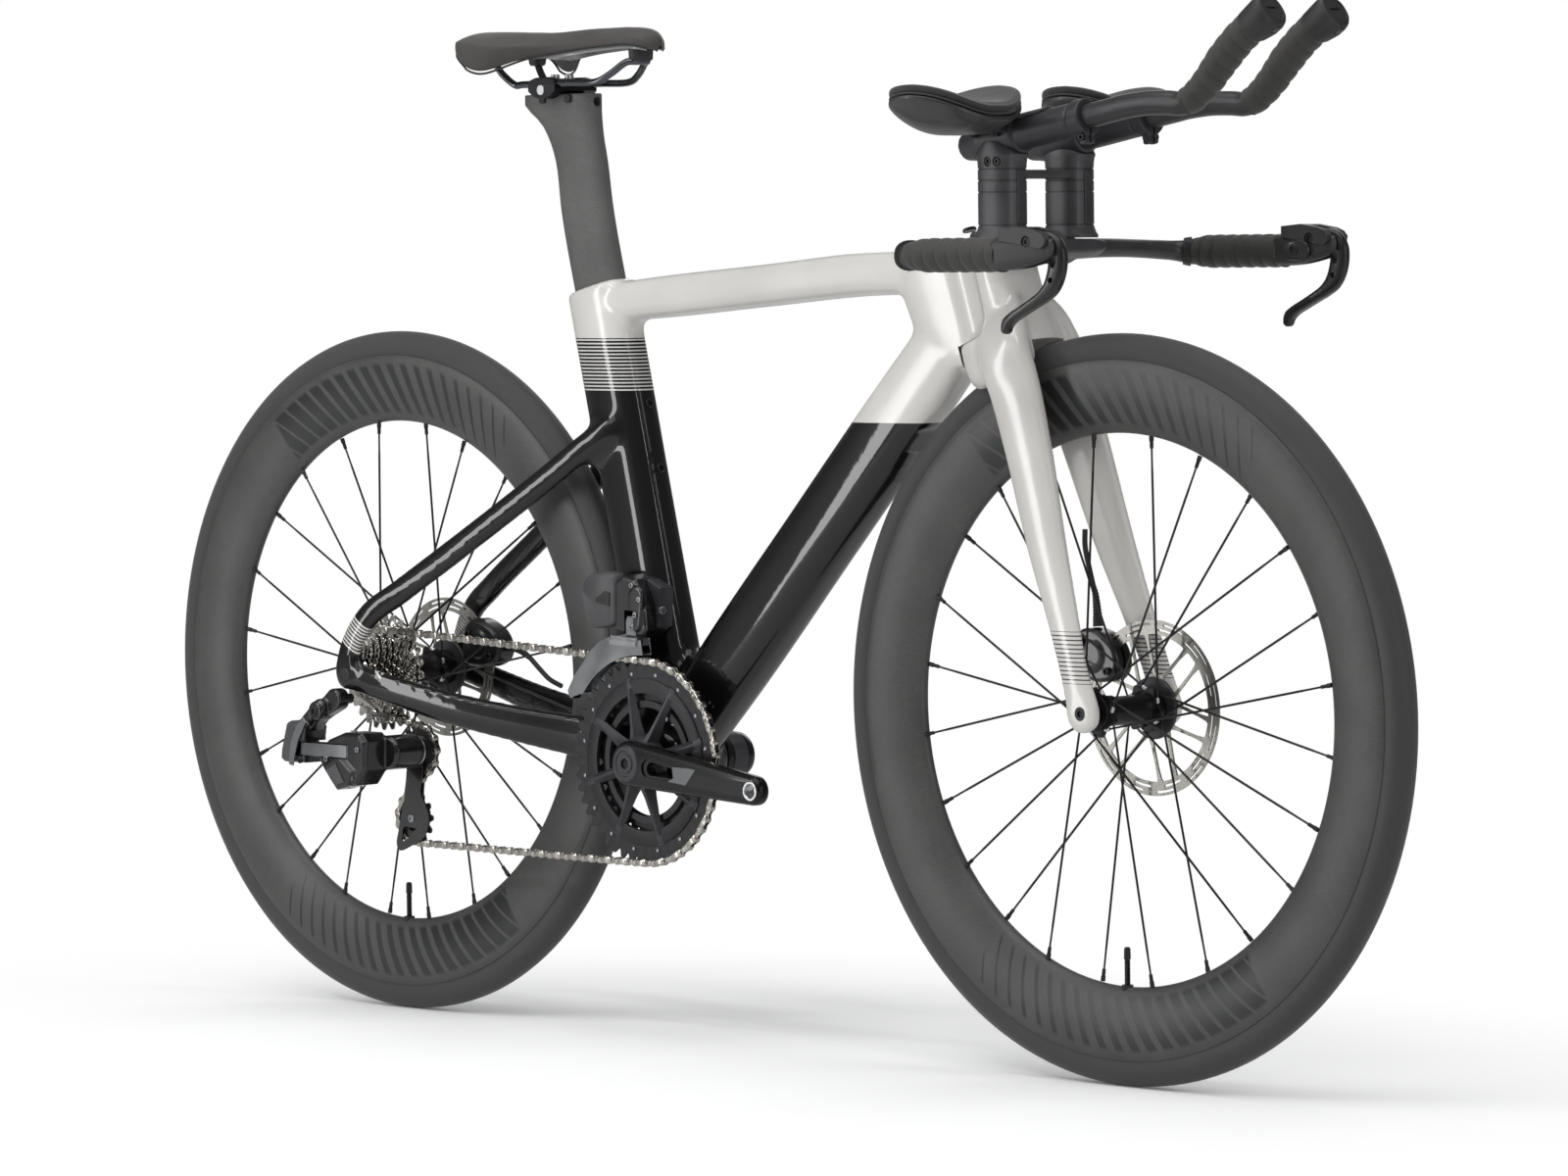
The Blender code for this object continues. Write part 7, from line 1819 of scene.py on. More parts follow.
for side, hand in HANDS:
    route = arm_route(side, 1)
    bm = bmesh.new()
    bare = [p for p in route if p.x < 625]
    swept(bm, bare, 11, 48)
    finish_piece(
        hand + "_arm_tube", bm, extension_black, hand + "_extension", replaces=[hand + "_extension"],
    )
    bm = bmesh.new()
    wrapped = [p for p in route if 607 < p.x < 688]
    girth = [13.2 + 2.4 * min(1, i / 60) for i in range(len(wrapped))]
    wound(bm, wrapped, girth, 13.5, 2, start=0.3)
    finish_piece(hand + "_arm_grip_tape", bm, grip_tape, hand + "_extension", sharp=60)

    foot = Vector((GRIP_PATH[-1][0], side * ARM_Y, GRIP_PATH[-1][1]))
    bm = bmesh.new()
    rows = [
        (-12.6, 14.4, 0), (-11.8, 15.6, 0.2), (-6, 16.2, 0.8), (1, 16.8, 1.5), (9, 17, 1.5),
        (13, 16.4, 1.2), (15.2, 15.2, 0.8), (16.2, 13.6, 0.4), (16.4, 12.6, 0.2), (15.6, 12.2, 0.2),
        (15.4, 0.6, 0.2),
    ]
    loft(bm, [
        section(foot + POD_ALONG * d + POD_DOWN * sag, POD_DOWN, SIDE, 2 * r + sag, 2 * r, 64, 2.2)
        for d, r, sag in rows
    ])
    pod = finish_piece(
        hand + "_end_pod", bm, nylon_black, hand + "_extension", replaces=[hand + "_grip_pod"],
    )
    cuts = bmesh.new()
    centre = foot + POD_ALONG * 8
    loft(cuts, [section(centre + POD_DOWN * d, POD_ALONG, SIDE, 8.8, 8.8, 32, 2) for d in (10, 26)])
    cut_with(pod, cuts)
    cuts = bmesh.new()
    slit = foot + POD_ALONG * 14
    loft(cuts, [section(slit + POD_ALONG * d, POD_DOWN, SIDE, 2, 13, 24, 3) for d in (-1, 3)])
    cut_with(pod, cuts)
    bm = bmesh.new()
    rows = [(11.8, 3.6), (12.2, 4), (18.3, 4), (19.1, 3.6), (19.4, 2.4), (19.3, 0.5)]
    loft(bm, [section(centre + POD_DOWN * d, POD_ALONG, SIDE, 2 * r, 2 * r, 32, 2) for d, r in rows])
    finish_piece(
        hand + "_shift_key", bm, satin_black_alloy, hand + "_shift_button",
        replaces=[hand + "_shift_button"],
    )
print("extensions: tape seams every 13.5 mm")

# %% [markdown]
# ## Arm rests
#
# Each forearm lies in a moulded cup with a foam pad on it. The cup is a shallow saddle: its
# sides curl up to hold the arm. The pad follows the cup, and its edge is pulled in by the hem.

# %% Arm rests
PAD_X, PAD_Y, CUP_BASE = 384, 100, 870.4


def rest_point(share, angle, side, lift, size=1):
    """A place on a rest: share runs from its middle to its rim, angle goes round it."""
    c, s = math.cos(angle), math.sin(angle)
    u = share * size * math.copysign(abs(c) ** 0.74, c)
    v = share * size * math.copysign(abs(s) ** 0.74, s)
    half = 60 * (1 - 0.16 * max(0, u))
    rise = 27 * (1 - 0.22 * max(0, u)) * max(0, abs(v) - 0.16) ** 1.8 + 8 * max(0, -u - 0.25) ** 2
    return Vector((PAD_X + u * 52, side * PAD_Y + v * half, CUP_BASE + rise + lift))


def rest_body(bm, side, low, high, size, roll, belly=0):
    """A closed saddle-shaped body between two heights; roll draws the rim in and rounds it."""
    rows = []
    for share in np.linspace(0.06, 1, 20):
        edge = max(0, (share - 0.86) / 0.14)
        rows.append((
            share, low + roll * 0.5 * (1 - math.sqrt(max(0, 1 - edge**2))) - belly * (1 - share**2.6),
        ))
    for k in range(1, 8):
        a = math.pi * k / 8
        middle, half = (low + high) / 2, (high - low) / 2
        rows.append((1 + 0.012 * math.sin(a) * roll / 3, middle - (half - roll * 0.5) * math.cos(a)))
    for share in np.linspace(1, 0.06, 24):
        edge = max(0, (share - 0.8) / 0.2)
        rows.append((share, high - roll * 0.55 * (1 - math.sqrt(max(0, 1 - edge**2)))))
    loft(bm, [
        [rest_point(share, 2 * math.pi * k / 96, side, lift, size) for k in range(96)]
        for share, lift in rows
    ])


pad_cloth = fine_finish("arm_pad_knit", "2B2A2A", 0.74, grain=2600, rise=0.3, spread=0.08, sheen=0.35)
cup_black = fine_finish("moulded_cup_black", "2C2C2D", 0.4, grain=1300, rise=0.06, coat=0.15)
for side, hand in HANDS:
    bm = bmesh.new()
    rest_body(bm, side, 0, 5.6, 1, 2, 11.5)
    finish_piece(hand + "_rest_cup", bm, cup_black, "steering", replaces=[hand + "_arm_cup"], sharp=60)
    bm = bmesh.new()
    rest_body(bm, side, 5.9, 18.5, 0.975, 7)
    pad = finish_piece(
        hand + "_rest_pad", bm, pad_cloth, "steering", replaces=[hand + "_arm_pad"], sharp=70,
    )
    blown = inflate(pad, 1.8)
    print(hand, "pad swell: cloth moved", round(blown, 2), "mm, kept to 1.8 mm")
    bm = bmesh.new()
    hem = [rest_point(1, 2 * math.pi * k / 128, side, 7.3, 0.99) for k in range(129)]
    rings = []
    for k in range(128):
        along = (hem[(k + 1) % 128] - hem[k - 1 if k else 127]).normalized()
        out = along.cross(UP).normalized()
        rings.append(section(hem[k], out, UP, 1.6, 1.6, 10, 2))
    loft(bm, rings, closed=True)
    finish_piece(hand + "_pad_hem", bm, grip_tape, "steering")
print("arm rests: pads 12.6 mm thick")

# %% [markdown]
# ## Brake levers
#
# The lever's body fills the end of the grip and forks round the blade, which turns on a pin.
# The blade is a cast part: broad with two lightening holes near its pivot, thin at its hook.

# %% Brake levers
LEVER_X, LEVER_Z = 562, 763
lever_nylon = fine_finish("glass_filled_nylon_lever", "29292A", 0.44, grain=1700, rise=0.1, worn=0.1)
lever_black = fine_finish(
    "cast_lever_black", "1F1F20", 0.33, metallic=0.3, grain=1200, rise=0.05, coat=0.2,
)

for side, hand in HANDS:
    y = side * GRIP_Y
    bm = bmesh.new()
    body_table = [
        (517, 741, 765, 24), (519, 739, 766.5, 26.5), (524, 738.5, 767, 27.6), (545, 739.5, 768, 26.6),
        (560, 742, 768, 25), (575, 745.5, 767, 23), (584, 748.5, 766, 21), (588, 751.5, 764, 18),
        (589, 754, 761, 12),
    ]
    rows = stations(
        [(x, y, (low + high) / 2, high - low, width) for x, low, high, width in body_table], 44,
    )
    loft(bm, [section(Vector(row[:3]), UP, SIDE, row[3], row[4], 56, 3.6) for row in rows])
    body = finish_piece(
        hand + "_lever_housing", bm, lever_nylon, "steering", replaces=[hand + "_lever_body"], sharp=40,
    )
    bm = bmesh.new()
    hood = [
        (529, 764.3), (579, 757), (584, 760), (585, 765), (581, 769.6), (573, 772.8), (552, 776.2),
        (529, 774.4),
    ]
    plate(bm, hood, y - 14.2, y + 14.2)
    hood_piece = finish_piece(hand + "_lever_hood", bm, lever_nylon, "steering", bevel=1.1)
    slot = [(542, 725), (612, 725), (612, 800), (566, 800), (552, 758)]
    for piece in (body, hood_piece):
        carve(piece, plate, slot, y - 6.2, y + 6.2)
    for face in (-1, 1):
        for piece in (body, hood_piece):
            cuts = bmesh.new()
            low, high = sorted((y + face * 12, y + face * 16))
            disc(cuts, LEVER_X, LEVER_Z, 5.2, low, high, 40)
            cut_with(piece, cuts)
    # The plate that pulls the clamp tight lies on the cheek that faces the wheel.
    bm = bmesh.new()
    inner = -side
    rings = [(11, 0.9), (15.2, 1), (16.4, 0.95), (16.6, 0.9)]
    loft(bm, [
        section(Vector((546, y + inner * out, 752.6)), AHEAD, UP, 36 * g, 19.5 * g, 48, 2.3)
        for out, g in rings
    ])
    finish_piece(hand + "_lever_clamp_plate", bm, lever_black, "steering", bevel=0.3)
    bm = bmesh.new()
    socket_bolt(bm, Vector((546, y + inner * 16.4, 752.6)), (0, inner, 0), 5.6, 1.4, 24)
    finish_piece(hand + "_lever_clamp_bolt", bm, black_bolt, "steering")
    bm = bmesh.new()
    for face in (-1, 1):
        socket_bolt(bm, Vector((LEVER_X, y + face * 11.6, LEVER_Z)), (0, face, 0), 4.4, 1.6, 24)
    finish_piece(hand + "_lever_pivot_bolt", bm, black_bolt, "steering")

    bm = bmesh.new()
    blade_table = [
        (562, 763, 13, 10), (571, 764, 16, 10), (580, 762, 18, 10), (586.5, 755, 19, 10),
        (587.5, 744, 19.5, 9.6), (585, 733, 18.5, 10), (579.5, 723, 15.5, 11), (571, 715.8, 11.5, 12),
        (559, 709.4, 9.6, 12.6), (545, 702.6, 9, 12.6), (533, 696.6, 9.2, 12), (527.6, 692.4, 10, 11),
        (525.6, 687.6, 9, 10), (525.4, 683.8, 6.6, 8), (525.4, 682.6, 3.4, 5),
    ]
    tube(bm, [(x, y, z, depth, width) for x, z, depth, width in blade_table], 40, 3.2, 84)
    blade = finish_piece(
        hand + "_lever_blade", bm, lever_black, hand + "_brake_lever", replaces=[hand + "_brake_lever"],
        sharp=50,
    )
    carve(
        blade, plate,
        [
            (p.x, p.z)
            for p in section(
                Vector((585.5, 0, 746.5)), Vector((0.15, 0, 0.99)), Vector((0.99, 0, -0.15)), 13, 7, 32,
                2.4,
            )
        ],
        y - 9, y + 9,
    )
    carve(blade, disc, 582.5, 729.5, 2.6, y - 9, y + 9, 32)
    bm = bmesh.new()
    turned(bm, LEVER_X, LEVER_Z, [(3, y - 10.4), (3, y + 10.4)], 24)
    turned(bm, LEVER_X, LEVER_Z, [(6.4, y - 5), (6.4, y + 5)], 32)
    finish_piece(hand + "_lever_pin", bm, steel_bolt, hand + "_brake_lever")
print("brake levers: two lightening holes each")

# %% [markdown]
# ## Drivetrain
#
# The chain wraps a cog, the big ring and two pulleys. Its way is worked out as arcs and tangents,
# then cut into links of 12.7 mm. Outer plates straddle inner ones, so the links alternate.

# %% Way of the chain
PITCH = 12.7
LINKS = 112
COG_TEETH = (10, 11, 12, 13, 14, 15, 16, 17, 18, 21, 24, 28)
CHAIN_COG, BIG_RING, SMALL_RING, PULLEY_TEETH = 21, 48, 35, 12
FIRST_COG_Y, COG_STEP = -64.5, 3.3
CHAIN_Y, RING_Y = -34.8, -50.5
GUIDE = (-431, 264)
TENSION = (-439.2907, 195.4999)


def pitch_radius(teeth):
    return PITCH / 2 / math.sin(math.pi / teeth)


def chain_way():
    """Arcs and straights of the chain. The turn is +1 on the guide pulley and -1 on the others."""
    wheels = [
        (REAR_X, AXLE_Z, pitch_radius(CHAIN_COG), -1, CHAIN_Y),
        (BB_X, BB_Z, pitch_radius(BIG_RING), -1, RING_Y),
        (*TENSION, pitch_radius(PULLEY_TEETH), -1, CHAIN_Y),
        (*GUIDE, pitch_radius(PULLEY_TEETH), 1, CHAIN_Y),
    ]
    spans = []
    for k in range(4):
        (x1, z1, r1, s1, _), (x2, z2, r2, s2, _) = wheels[k], wheels[(k + 1) % 4]
        span = math.hypot(x2 - x1, z2 - z1)
        ux, uz = (x2 - x1) / span, (z2 - z1) / span
        a = (s1 * r1 - s2 * r2) / span
        b = math.sqrt(1 - a * a)
        nx, nz = ux * a + uz * b, uz * a - ux * b
        spans.append(((x1 + s1 * r1 * nx, z1 + s1 * r1 * nz), (x2 + s2 * r2 * nx, z2 + s2 * r2 * nz)))
    pieces = []
    for k, (x, z, radius, turn, y) in enumerate(wheels):
        land, leave = spans[k - 1][1], spans[k][0]
        start = math.atan2(land[1] - z, land[0] - x)
        sweep = (turn * (math.atan2(leave[1] - z, leave[0] - x) - start)) % (2 * math.pi)
        pieces.append(("arc", radius * sweep, (x, z, radius, turn, y, start)))
        pieces.append(("straight", math.dist(*spans[k]), (*spans[k], y, wheels[(k + 1) % 4][4])))
    return pieces


def chain_point(pieces, along):
    """The place of a pin this far along the chain."""
    for kind, length, data in pieces:
        if along <= length:
            break
        along -= length
    if kind == "arc":
        x, z, radius, turn, y, start = data
        px, pz = polar(x, z, radius, start + turn * along / radius)
        return Vector((px, y, pz))
    leave, land, y, other = data
    share = along / length
    shift = min(1, max(0, (along - 3 * PITCH) / (length - 6 * PITCH)))
    return Vector((
        leave[0] + (land[0] - leave[0]) * share, y + (other - y) * shift,
        leave[1] + (land[1] - leave[1]) * share,
    ))


way = chain_way()
pins = [chain_point(way, k * PITCH) for k in range(LINKS)]
print("chain:", LINKS, "links,", round(sum(piece[1] for piece in way), 1), "mm round")


# %% Chain links
def link_plate(bm, a, b, y, thick, waist, end):
    """One side plate between two pins: round ends with a drawn-in waist and a softened outer edge."""
    run = Vector((b.x - a.x, 0, b.z - a.z)).normalized()
    up = Vector((-run.z, 0, run.x))
    outline = []
    for k in range(9):
        angle = math.radians(-100 + 200 * k / 8)
        outline.append(b + (run * math.cos(angle) + up * math.sin(angle)) * end)
    outline.append((a + b) / 2 + up * waist)
    for k in range(9):
        angle = math.radians(80 + 200 * k / 8)
        outline.append(a + (run * math.cos(angle) + up * math.sin(angle)) * end)
    outline.append((a + b) / 2 - up * waist)
    centre = (a + b) / 2
    out = math.copysign(1, y)
    inner = [Vector((p.x, p.y + y, p.z)) for p in outline]
    outer = [p + SIDE * out * (thick - 0.25) for p in inner]
    cap = [centre + SIDE * (y + out * thick) + (p - centre - SIDE * y) * 0.93 for p in inner]
    loft(bm, [inner, outer, cap])


bm = bmesh.new()
for k in range(LINKS):
    a, b = pins[k], pins[(k + 1) % LINKS]
    for face in (-1, 1):
        if k % 2:
            link_plate(bm, a, b, face * 1.25, 0.85, 2.1, 3.7)
        else:
            link_plate(bm, a, b, face * 2.15, 0.85, 2.4, 3.8)
    turned(bm, a.x, a.z, [(2, a.y - 3.3), (2.2, a.y - 3.1), (2.2, a.y + 3.1), (2, a.y + 3.3)], 12)
    turned(bm, a.x, a.z, [(3.8, a.y - 1.2), (3.8, a.y + 1.2)], 16)
chain_nickel = fine_finish(
    "nickel_plated_chain", "9A9791", 0.2, metallic=1, grain=420, rise=0.04, spread=0.1, worn=0.25,
)
chain_obj = finish_piece("chain_links", bm, chain_nickel, "frame", replaces=["chain"], sharp=40)
print("chain links:", len(chain_obj.data.polygons), "faces")


# %% [markdown]
# Every toothed wheel is cut to the same rule: the pitch radius follows from the number of teeth,
# a roller sits in each gap, and a tooth stands between two gaps. One function draws them all.

# %% Cogs and rings
def tooth_reach(phase, radius):
    """Distance from the axle at a share of one tooth: a seat for the roller, then a tooth."""
    lift = 0.5 - 0.5 * math.cos(2 * math.pi * phase)
    return radius - 3.9 + 6.6 * min(1, max(0, (lift - 0.12) / 0.72)) ** 0.8


def sprocket(bm, x, z, y, teeth, thick, rotate, hollow):
    """A toothed disc with a round hole; phase 0 lies under a roller."""
    radius = pitch_radius(teeth)
    count = teeth * 12
    loops = []
    for r_in, dy, shave in (
        (True, -1, 0), (False, -1, 0.5), (False, -0.55, 0), (False, 0.55, 0), (False, 1, 0.5),
        (True, 1, 0),
    ):
        loop = []
        for k in range(count):
            a = rotate + 2 * math.pi * k / count
            reach = hollow if r_in else tooth_reach((k / 12) % 1, radius) - shave
            loop.append(Vector((x + reach * math.cos(a), y + dy * thick / 2, z + reach * math.sin(a))))
        loops.append(loop)
    loft(bm, loops, cap=False, closed=True)


def pin_turn(x, z):
    """The angle at which a roller sits on the wheel at x, z."""
    near = min(pins, key=lambda p: abs(math.hypot(p.x - x, p.z - z) - pitch_of[(x, z)]) + 0.001 * p.z)
    return math.atan2(near.z - z, near.x - x)


pitch_of = {
    (REAR_X, AXLE_Z): pitch_radius(CHAIN_COG), (BB_X, BB_Z): pitch_radius(BIG_RING),
    TENSION: pitch_radius(PULLEY_TEETH), GUIDE: pitch_radius(PULLEY_TEETH),
}
cog_steel = fine_finish(
    "nickel_plated_cogs", "C2BFB9", 0.16, metallic=1, grain=350, rise=0.03, spread=0.08, worn=0.2,
)


def cog_hole(teeth):
    """Radius inside a cog's ring: small cogs reach the freehub, larger ones stand on the next step."""
    return 17.5 if teeth < 16 else pitch_radius(teeth) - 12


bm = bmesh.new()
for k, teeth in enumerate(COG_TEETH[:8]):
    sprocket(
        bm, REAR_X, AXLE_Z, FIRST_COG_Y + k * COG_STEP, teeth, 1.7, math.pi / 2 + 0.13 * k,
        cog_hole(teeth),
    )
# Machined steps join each cog to the next, larger one.
for k, teeth in enumerate(COG_TEETH[:-1]):
    y = FIRST_COG_Y + k * COG_STEP
    reach = min(pitch_radius(teeth) - 6.5, cog_hole(COG_TEETH[k + 1]) + 2)
    turned(
        bm, REAR_X, AXLE_Z,
        [(reach, y), (reach, y + COG_STEP), (reach - 2.2, y + COG_STEP), (reach - 2.2, y)], 96,
        closed=True,
    )
turned(
    bm, REAR_X, AXLE_Z, [(13.8, -67), (16.5, -67), (17.5, -66), (17.5, -40), (15, -27), (13.8, -27)], 72,
    closed=True,
)
finish_piece("cassette_small_cogs", bm, cog_steel, "cassette", replaces=["cassette"], sharp=30)
for k, holes, radius, place in (
    (8, 12, 2.4, 28.5), (9, 12, 3, 34.5), (10, 12, 3.6, 40.5), (11, 14, 4.2, 48.5),
):
    teeth = COG_TEETH[k]
    y = FIRST_COG_Y + k * COG_STEP
    rotate = pin_turn(REAR_X, AXLE_Z) if teeth == CHAIN_COG else math.pi / 2 + 0.13 * k
    bm = bmesh.new()
    sprocket(bm, REAR_X, AXLE_Z, y, teeth, 1.7, rotate, cog_hole(teeth) - 2)
    cog = finish_piece("cassette_cog_" + str(teeth), bm, cog_steel, "cassette", sharp=30)
    cuts = bmesh.new()
    for a in angles(holes, 0.2 * k):
        disc(cuts, *polar(REAR_X, AXLE_Z, place, a), radius, y - 1.2, y + 1.2, 20)
    cut_with(cog, cuts)
print("cassette:", len(COG_TEETH), "cogs")

# %% [markdown]
# Two hard-anodised rings are machined from plate. The teeth of the big one are turned so that a
# roller of the chain sits in each gap.

# %% Chainrings
ring_black = fine_finish(
    "hard_anodised_ring", "202022", 0.42, metallic=0.55, grain=1300, rise=0.04, worn=0.2,
)
bm = bmesh.new()
sprocket(bm, BB_X, BB_Z, RING_Y, BIG_RING, 2, pin_turn(BB_X, BB_Z), 66)
sprocket(bm, BB_X, BB_Z, RING_Y + 7, SMALL_RING, 2, math.pi / 2, 52)
# A raised band stiffens the big ring's face.
turned(
    bm, BB_X, BB_Z,
    [(66.5, RING_Y), (66.5, RING_Y - 2.2), (79, RING_Y - 2.8), (80.5, RING_Y - 2.2), (81, RING_Y)], 144,
    closed=True,
)
turned(
    bm, BB_X, BB_Z, [(52.5, RING_Y + 1.5), (52.5, RING_Y + 8.5), (59, RING_Y + 8.5), (59, RING_Y + 1.5)],
    144, closed=True,
)
rings_skin = finish_piece("chainring_pair", bm, ring_black, "crankset", replaces=["chainrings"], sharp=30)
bm = bmesh.new()
for a in angles(16, math.pi / 16):
    turned(bm, *polar(BB_X, BB_Z, 85.5, a), [(1.7, RING_Y - 1.9), (1.7, RING_Y + 3.8)], 12)
finish_piece("shift_pins", bm, steel_bolt, "crankset")
print("chainrings:", len(rings_skin.data.polygons), "faces")

# %% [markdown]
# Each crank arm is a long plate with rounded edges, drawn between a large boss and a small eye,
# with a pocket milled into its face. It is painted gloss black.

# %% Cranks
crank_gloss = fine_finish(
    "painted_crank_gloss_black", "070708", 0.28, grain=500, rise=0.02, spread=0.05, coat=0.35,
)
feed(crank_gloss.node_tree.nodes["Principled BSDF"], {"Specular IOR Level": 0.15})
crank_grey = fine_finish("painted_crank_grey", "4C4E50", 0.3, grain=500, rise=0, coat=0.8)


def slot_outline(x, z, *ends):
    """A slot along an arm between two (share of its length, radius) ends."""
    return hull([(BB_X + (x - BB_X) * share, BB_Z + (z - BB_Z) * share, r) for share, r in ends], 12)


def draw_arm(bm, x, z, side):
    """An arm from its boss to the pedal eye at x, z: outlines at heights, each drawn in by its inset."""
    rows = ((64, 1.6), (65.4, 0.2), (68, 0), (73.5, 0.3), (75.6, 1.6), (76.7, 3.6), (77, 5.4))
    rings = []
    for y, inset in rows:
        outline = hull([(BB_X, BB_Z, 22 - inset), (x, z, 14 - inset)], 24)
        rings.append([Vector((px, side * y, pz)) for px, pz in outline])
    loft(bm, rings)


for side, hand, x, z in ((-1, "right", 82.1, 251.2), (1, "left", -256.1, 286.8)):
    bm = bmesh.new()
    draw_arm(bm, x, z, side)
    arm = finish_piece(
        hand + "_crank_arm", bm, crank_gloss, "crankset", replaces=[hand + "_crank"], sharp=30,
    )
    cuts = bmesh.new()
    low, high = sorted((side * 55, side * 90))
    plate(cuts, slot_outline(x, z, (0.2, 6.4), (0.36, 5)), low, high)
    cut_with(arm, cuts)
    cuts = bmesh.new()
    low, high = sorted((side * 75.4, side * 90))
    plate(cuts, slot_outline(x, z, (0.18, 9), (0.42, 7.4)), low, high)
    cut_with(arm, cuts)
    carve(arm, disc, x, z, 7.3, *sorted((side * 55, side * 90)), 48)
    bm = bmesh.new()
    turned(
        bm, x, z,
        [
            (6.6, side * 66), (6.6, side * 76.6), (7.2, side * 77.2), (8.8, side * 77.2),
            (9.2, side * 76.8), (7.2, side * 76.5), (7.2, side * 66),
        ],
        48, closed=True,
    )
    finish_piece(hand + "_pedal_thread", bm, silver_alloy, "crankset", sharp=25)
    bm = bmesh.new()
    rows = [
        (17.5, 71), (17.5, 77.2), (16, 78.2), (13, 78.4), (12.4, 77.4), (9.5, 77.4), (9, 78.6),
        (5.2, 78.8), (5, 76), (0, 76),
    ]
    turned(bm, BB_X, BB_Z, [(r, side * y) for r, y in rows], 48)
    finish_piece(hand + "_crank_cap", bm, satin_black_alloy, "crankset", sharp=25)
    # A grey wedge is painted on the arm beyond its pocket.
    bm = bmesh.new()
    run = Vector((x - BB_X, 0, z - BB_Z))
    up = Vector((-run.z, 0, run.x)).normalized()
    wedge = [(0.375, 6.5), (0.5, 8.6), (0.56, 8.6), (0.49, -8), (0.35, -8), (0.39, -4)]
    points = [Vector((BB_X, 0, BB_Z)) + run * share + up * off for share, off in wedge]
    plate(bm, [(p.x, p.z) for p in points], *sorted((side * 76.5, side * 77.1)))
    finish_piece(hand + "_crank_wedge", bm, crank_grey, "crankset")

# %% [markdown]
# Eight ribbed arms carry the rings. The spindle runs through the frame in two bearing cups.

# %% Spider and spindle
def draw_spider(bm):
    turned(
        bm, BB_X, BB_Z, [(12, -66), (22, -66), (25, -60.5), (27, -55), (27, -49.5), (12, -49.5)], 72,
        closed=True,
    )
    for i in range(8):
        a = 2 * math.pi * (i + 0.35) / 8
        run = Vector((math.cos(a), 0, math.sin(a)))
        across = Vector((-run.z, 0, run.x))
        rings = []
        for reach, face, back, broad, ridge in (
            (18, -64, -50, 8, 3), (34, -60, -51, 6, 1.8), (54, -57, -51.5, 5, 1.2),
            (72, -54.6, -51.5, 5.5, 1.2), (82, -52.6, -51.4, 6, 2.5),
        ):
            centre = Vector((BB_X, 0, BB_Z)) + run * reach
            rings.append([
                centre + across * off + SIDE * y
                for off, y in (
                    (-broad, back), (-broad * 0.8, back - 1.4), (-ridge, face), (ridge, face),
                    (broad * 0.8, back - 1.4), (broad, back),
                )
            ])
        loft(bm, rings)


bm = bmesh.new()
draw_spider(bm)
finish_piece("ring_spider", bm, satin_black_alloy, "crankset", sharp=28)
bm = bmesh.new()
turned(bm, BB_X, BB_Z, [(14, -66), (14, 73)], 64)
turned(bm, BB_X, BB_Z, [(19.5, 50.5), (20.5, 54), (22, 66), (14.3, 66), (14.3, 50.5)], 64, closed=True)
finish_piece("crank_spindle", bm, satin_black_alloy, "crankset")
bm = bmesh.new()
for side in (-1, 1):
    rows = [(14.4, 41), (20.5, 41), (21.5, 42), (21.5, 47.2), (20, 48.2), (14.4, 48.2)]
    turned(bm, BB_X, BB_Z, [(r, side * y) for r, y in rows], 96, closed=True)
finish_piece("bearing_cups", bm, anodised_black, "frame", replaces=["bottom_bracket"], sharp=30)
print("cranks, spider and bearings done")

# %% [markdown]
# ## Rear derailleur
#
# A wireless derailleur: a knuckle hangs from the dropout and holds the battery behind it, two
# links carry the motor body, and the cage with both pulleys swings on the motor body's pivot.

# %% Rear derailleur knuckle and battery
HINGE_X, LINK_Z, MOTOR_X = -530, 265, -464
OUTER_Y, INNER_Y = -100, -85
HANGER, PIVOT = (-493, 315), (-512, 303)
battery_black = fine_finish("moulded_battery_shell", "454547", 0.46, grain=2000, rise=0.1)
derailleur_black = fine_finish(
    "painted_derailleur_black", "121214", 0.26, metallic=0.2, grain=700, rise=0.02, coat=0.5,
)
derailleur_silver = fine_finish(
    "brushed_derailleur_silver", "77797B", 0.3, metallic=1, grain=900, rise=0.04,
)


def eased_plate(bm, outline, low_y, high_y, edge=1.2):
    """A plate with both faces drawn in along their edges, like a cast part."""
    centre = Vector((
        sum(x for x, _ in outline) / len(outline), 0, sum(z for _, z in outline) / len(outline),
    ))
    reach = max(math.hypot(x - centre.x, z - centre.z) for x, z in outline)
    inset = 1 - edge / reach
    rings = []
    for y, share in ((low_y, inset), (low_y + edge, 1), (high_y - edge, 1), (high_y, inset)):
        rings.append([
            Vector((centre.x + (x - centre.x) * share, y, centre.z + (z - centre.z) * share))
            for x, z in outline
        ])
    loft(bm, rings)


def draw_knuckle(bm):
    eased_plate(bm, hull([(*HANGER, 11), (*PIVOT, 8)]), -95, -81.3)
    eased_plate(bm, hull([(-508, 307, 8.5), (-532, 286, 9)]), -101, -84)
    eased_plate(
        bm,
        [(-541.5, 251), (-523.5, 251), (-522.5, 260), (-523, 276), (-521, 288), (-530, 292), (-541, 286)],
        -107, -78, 2,
    )
    # The hanger pivot is a short barrel that points outwards.
    turned(bm, *PIVOT, [(8.6, -103), (10, -101.6), (10, -88), (9, -84)], 40)


def link_room(bm, x, toward):
    """The gap between cheeks that the links' ends turn in."""
    near, far = sorted((x - toward * 8.2, x + toward * 60))
    plate(bm, oblong(near, LINK_Z - 7.6, far, LINK_Z + 7.6), -130, -55)


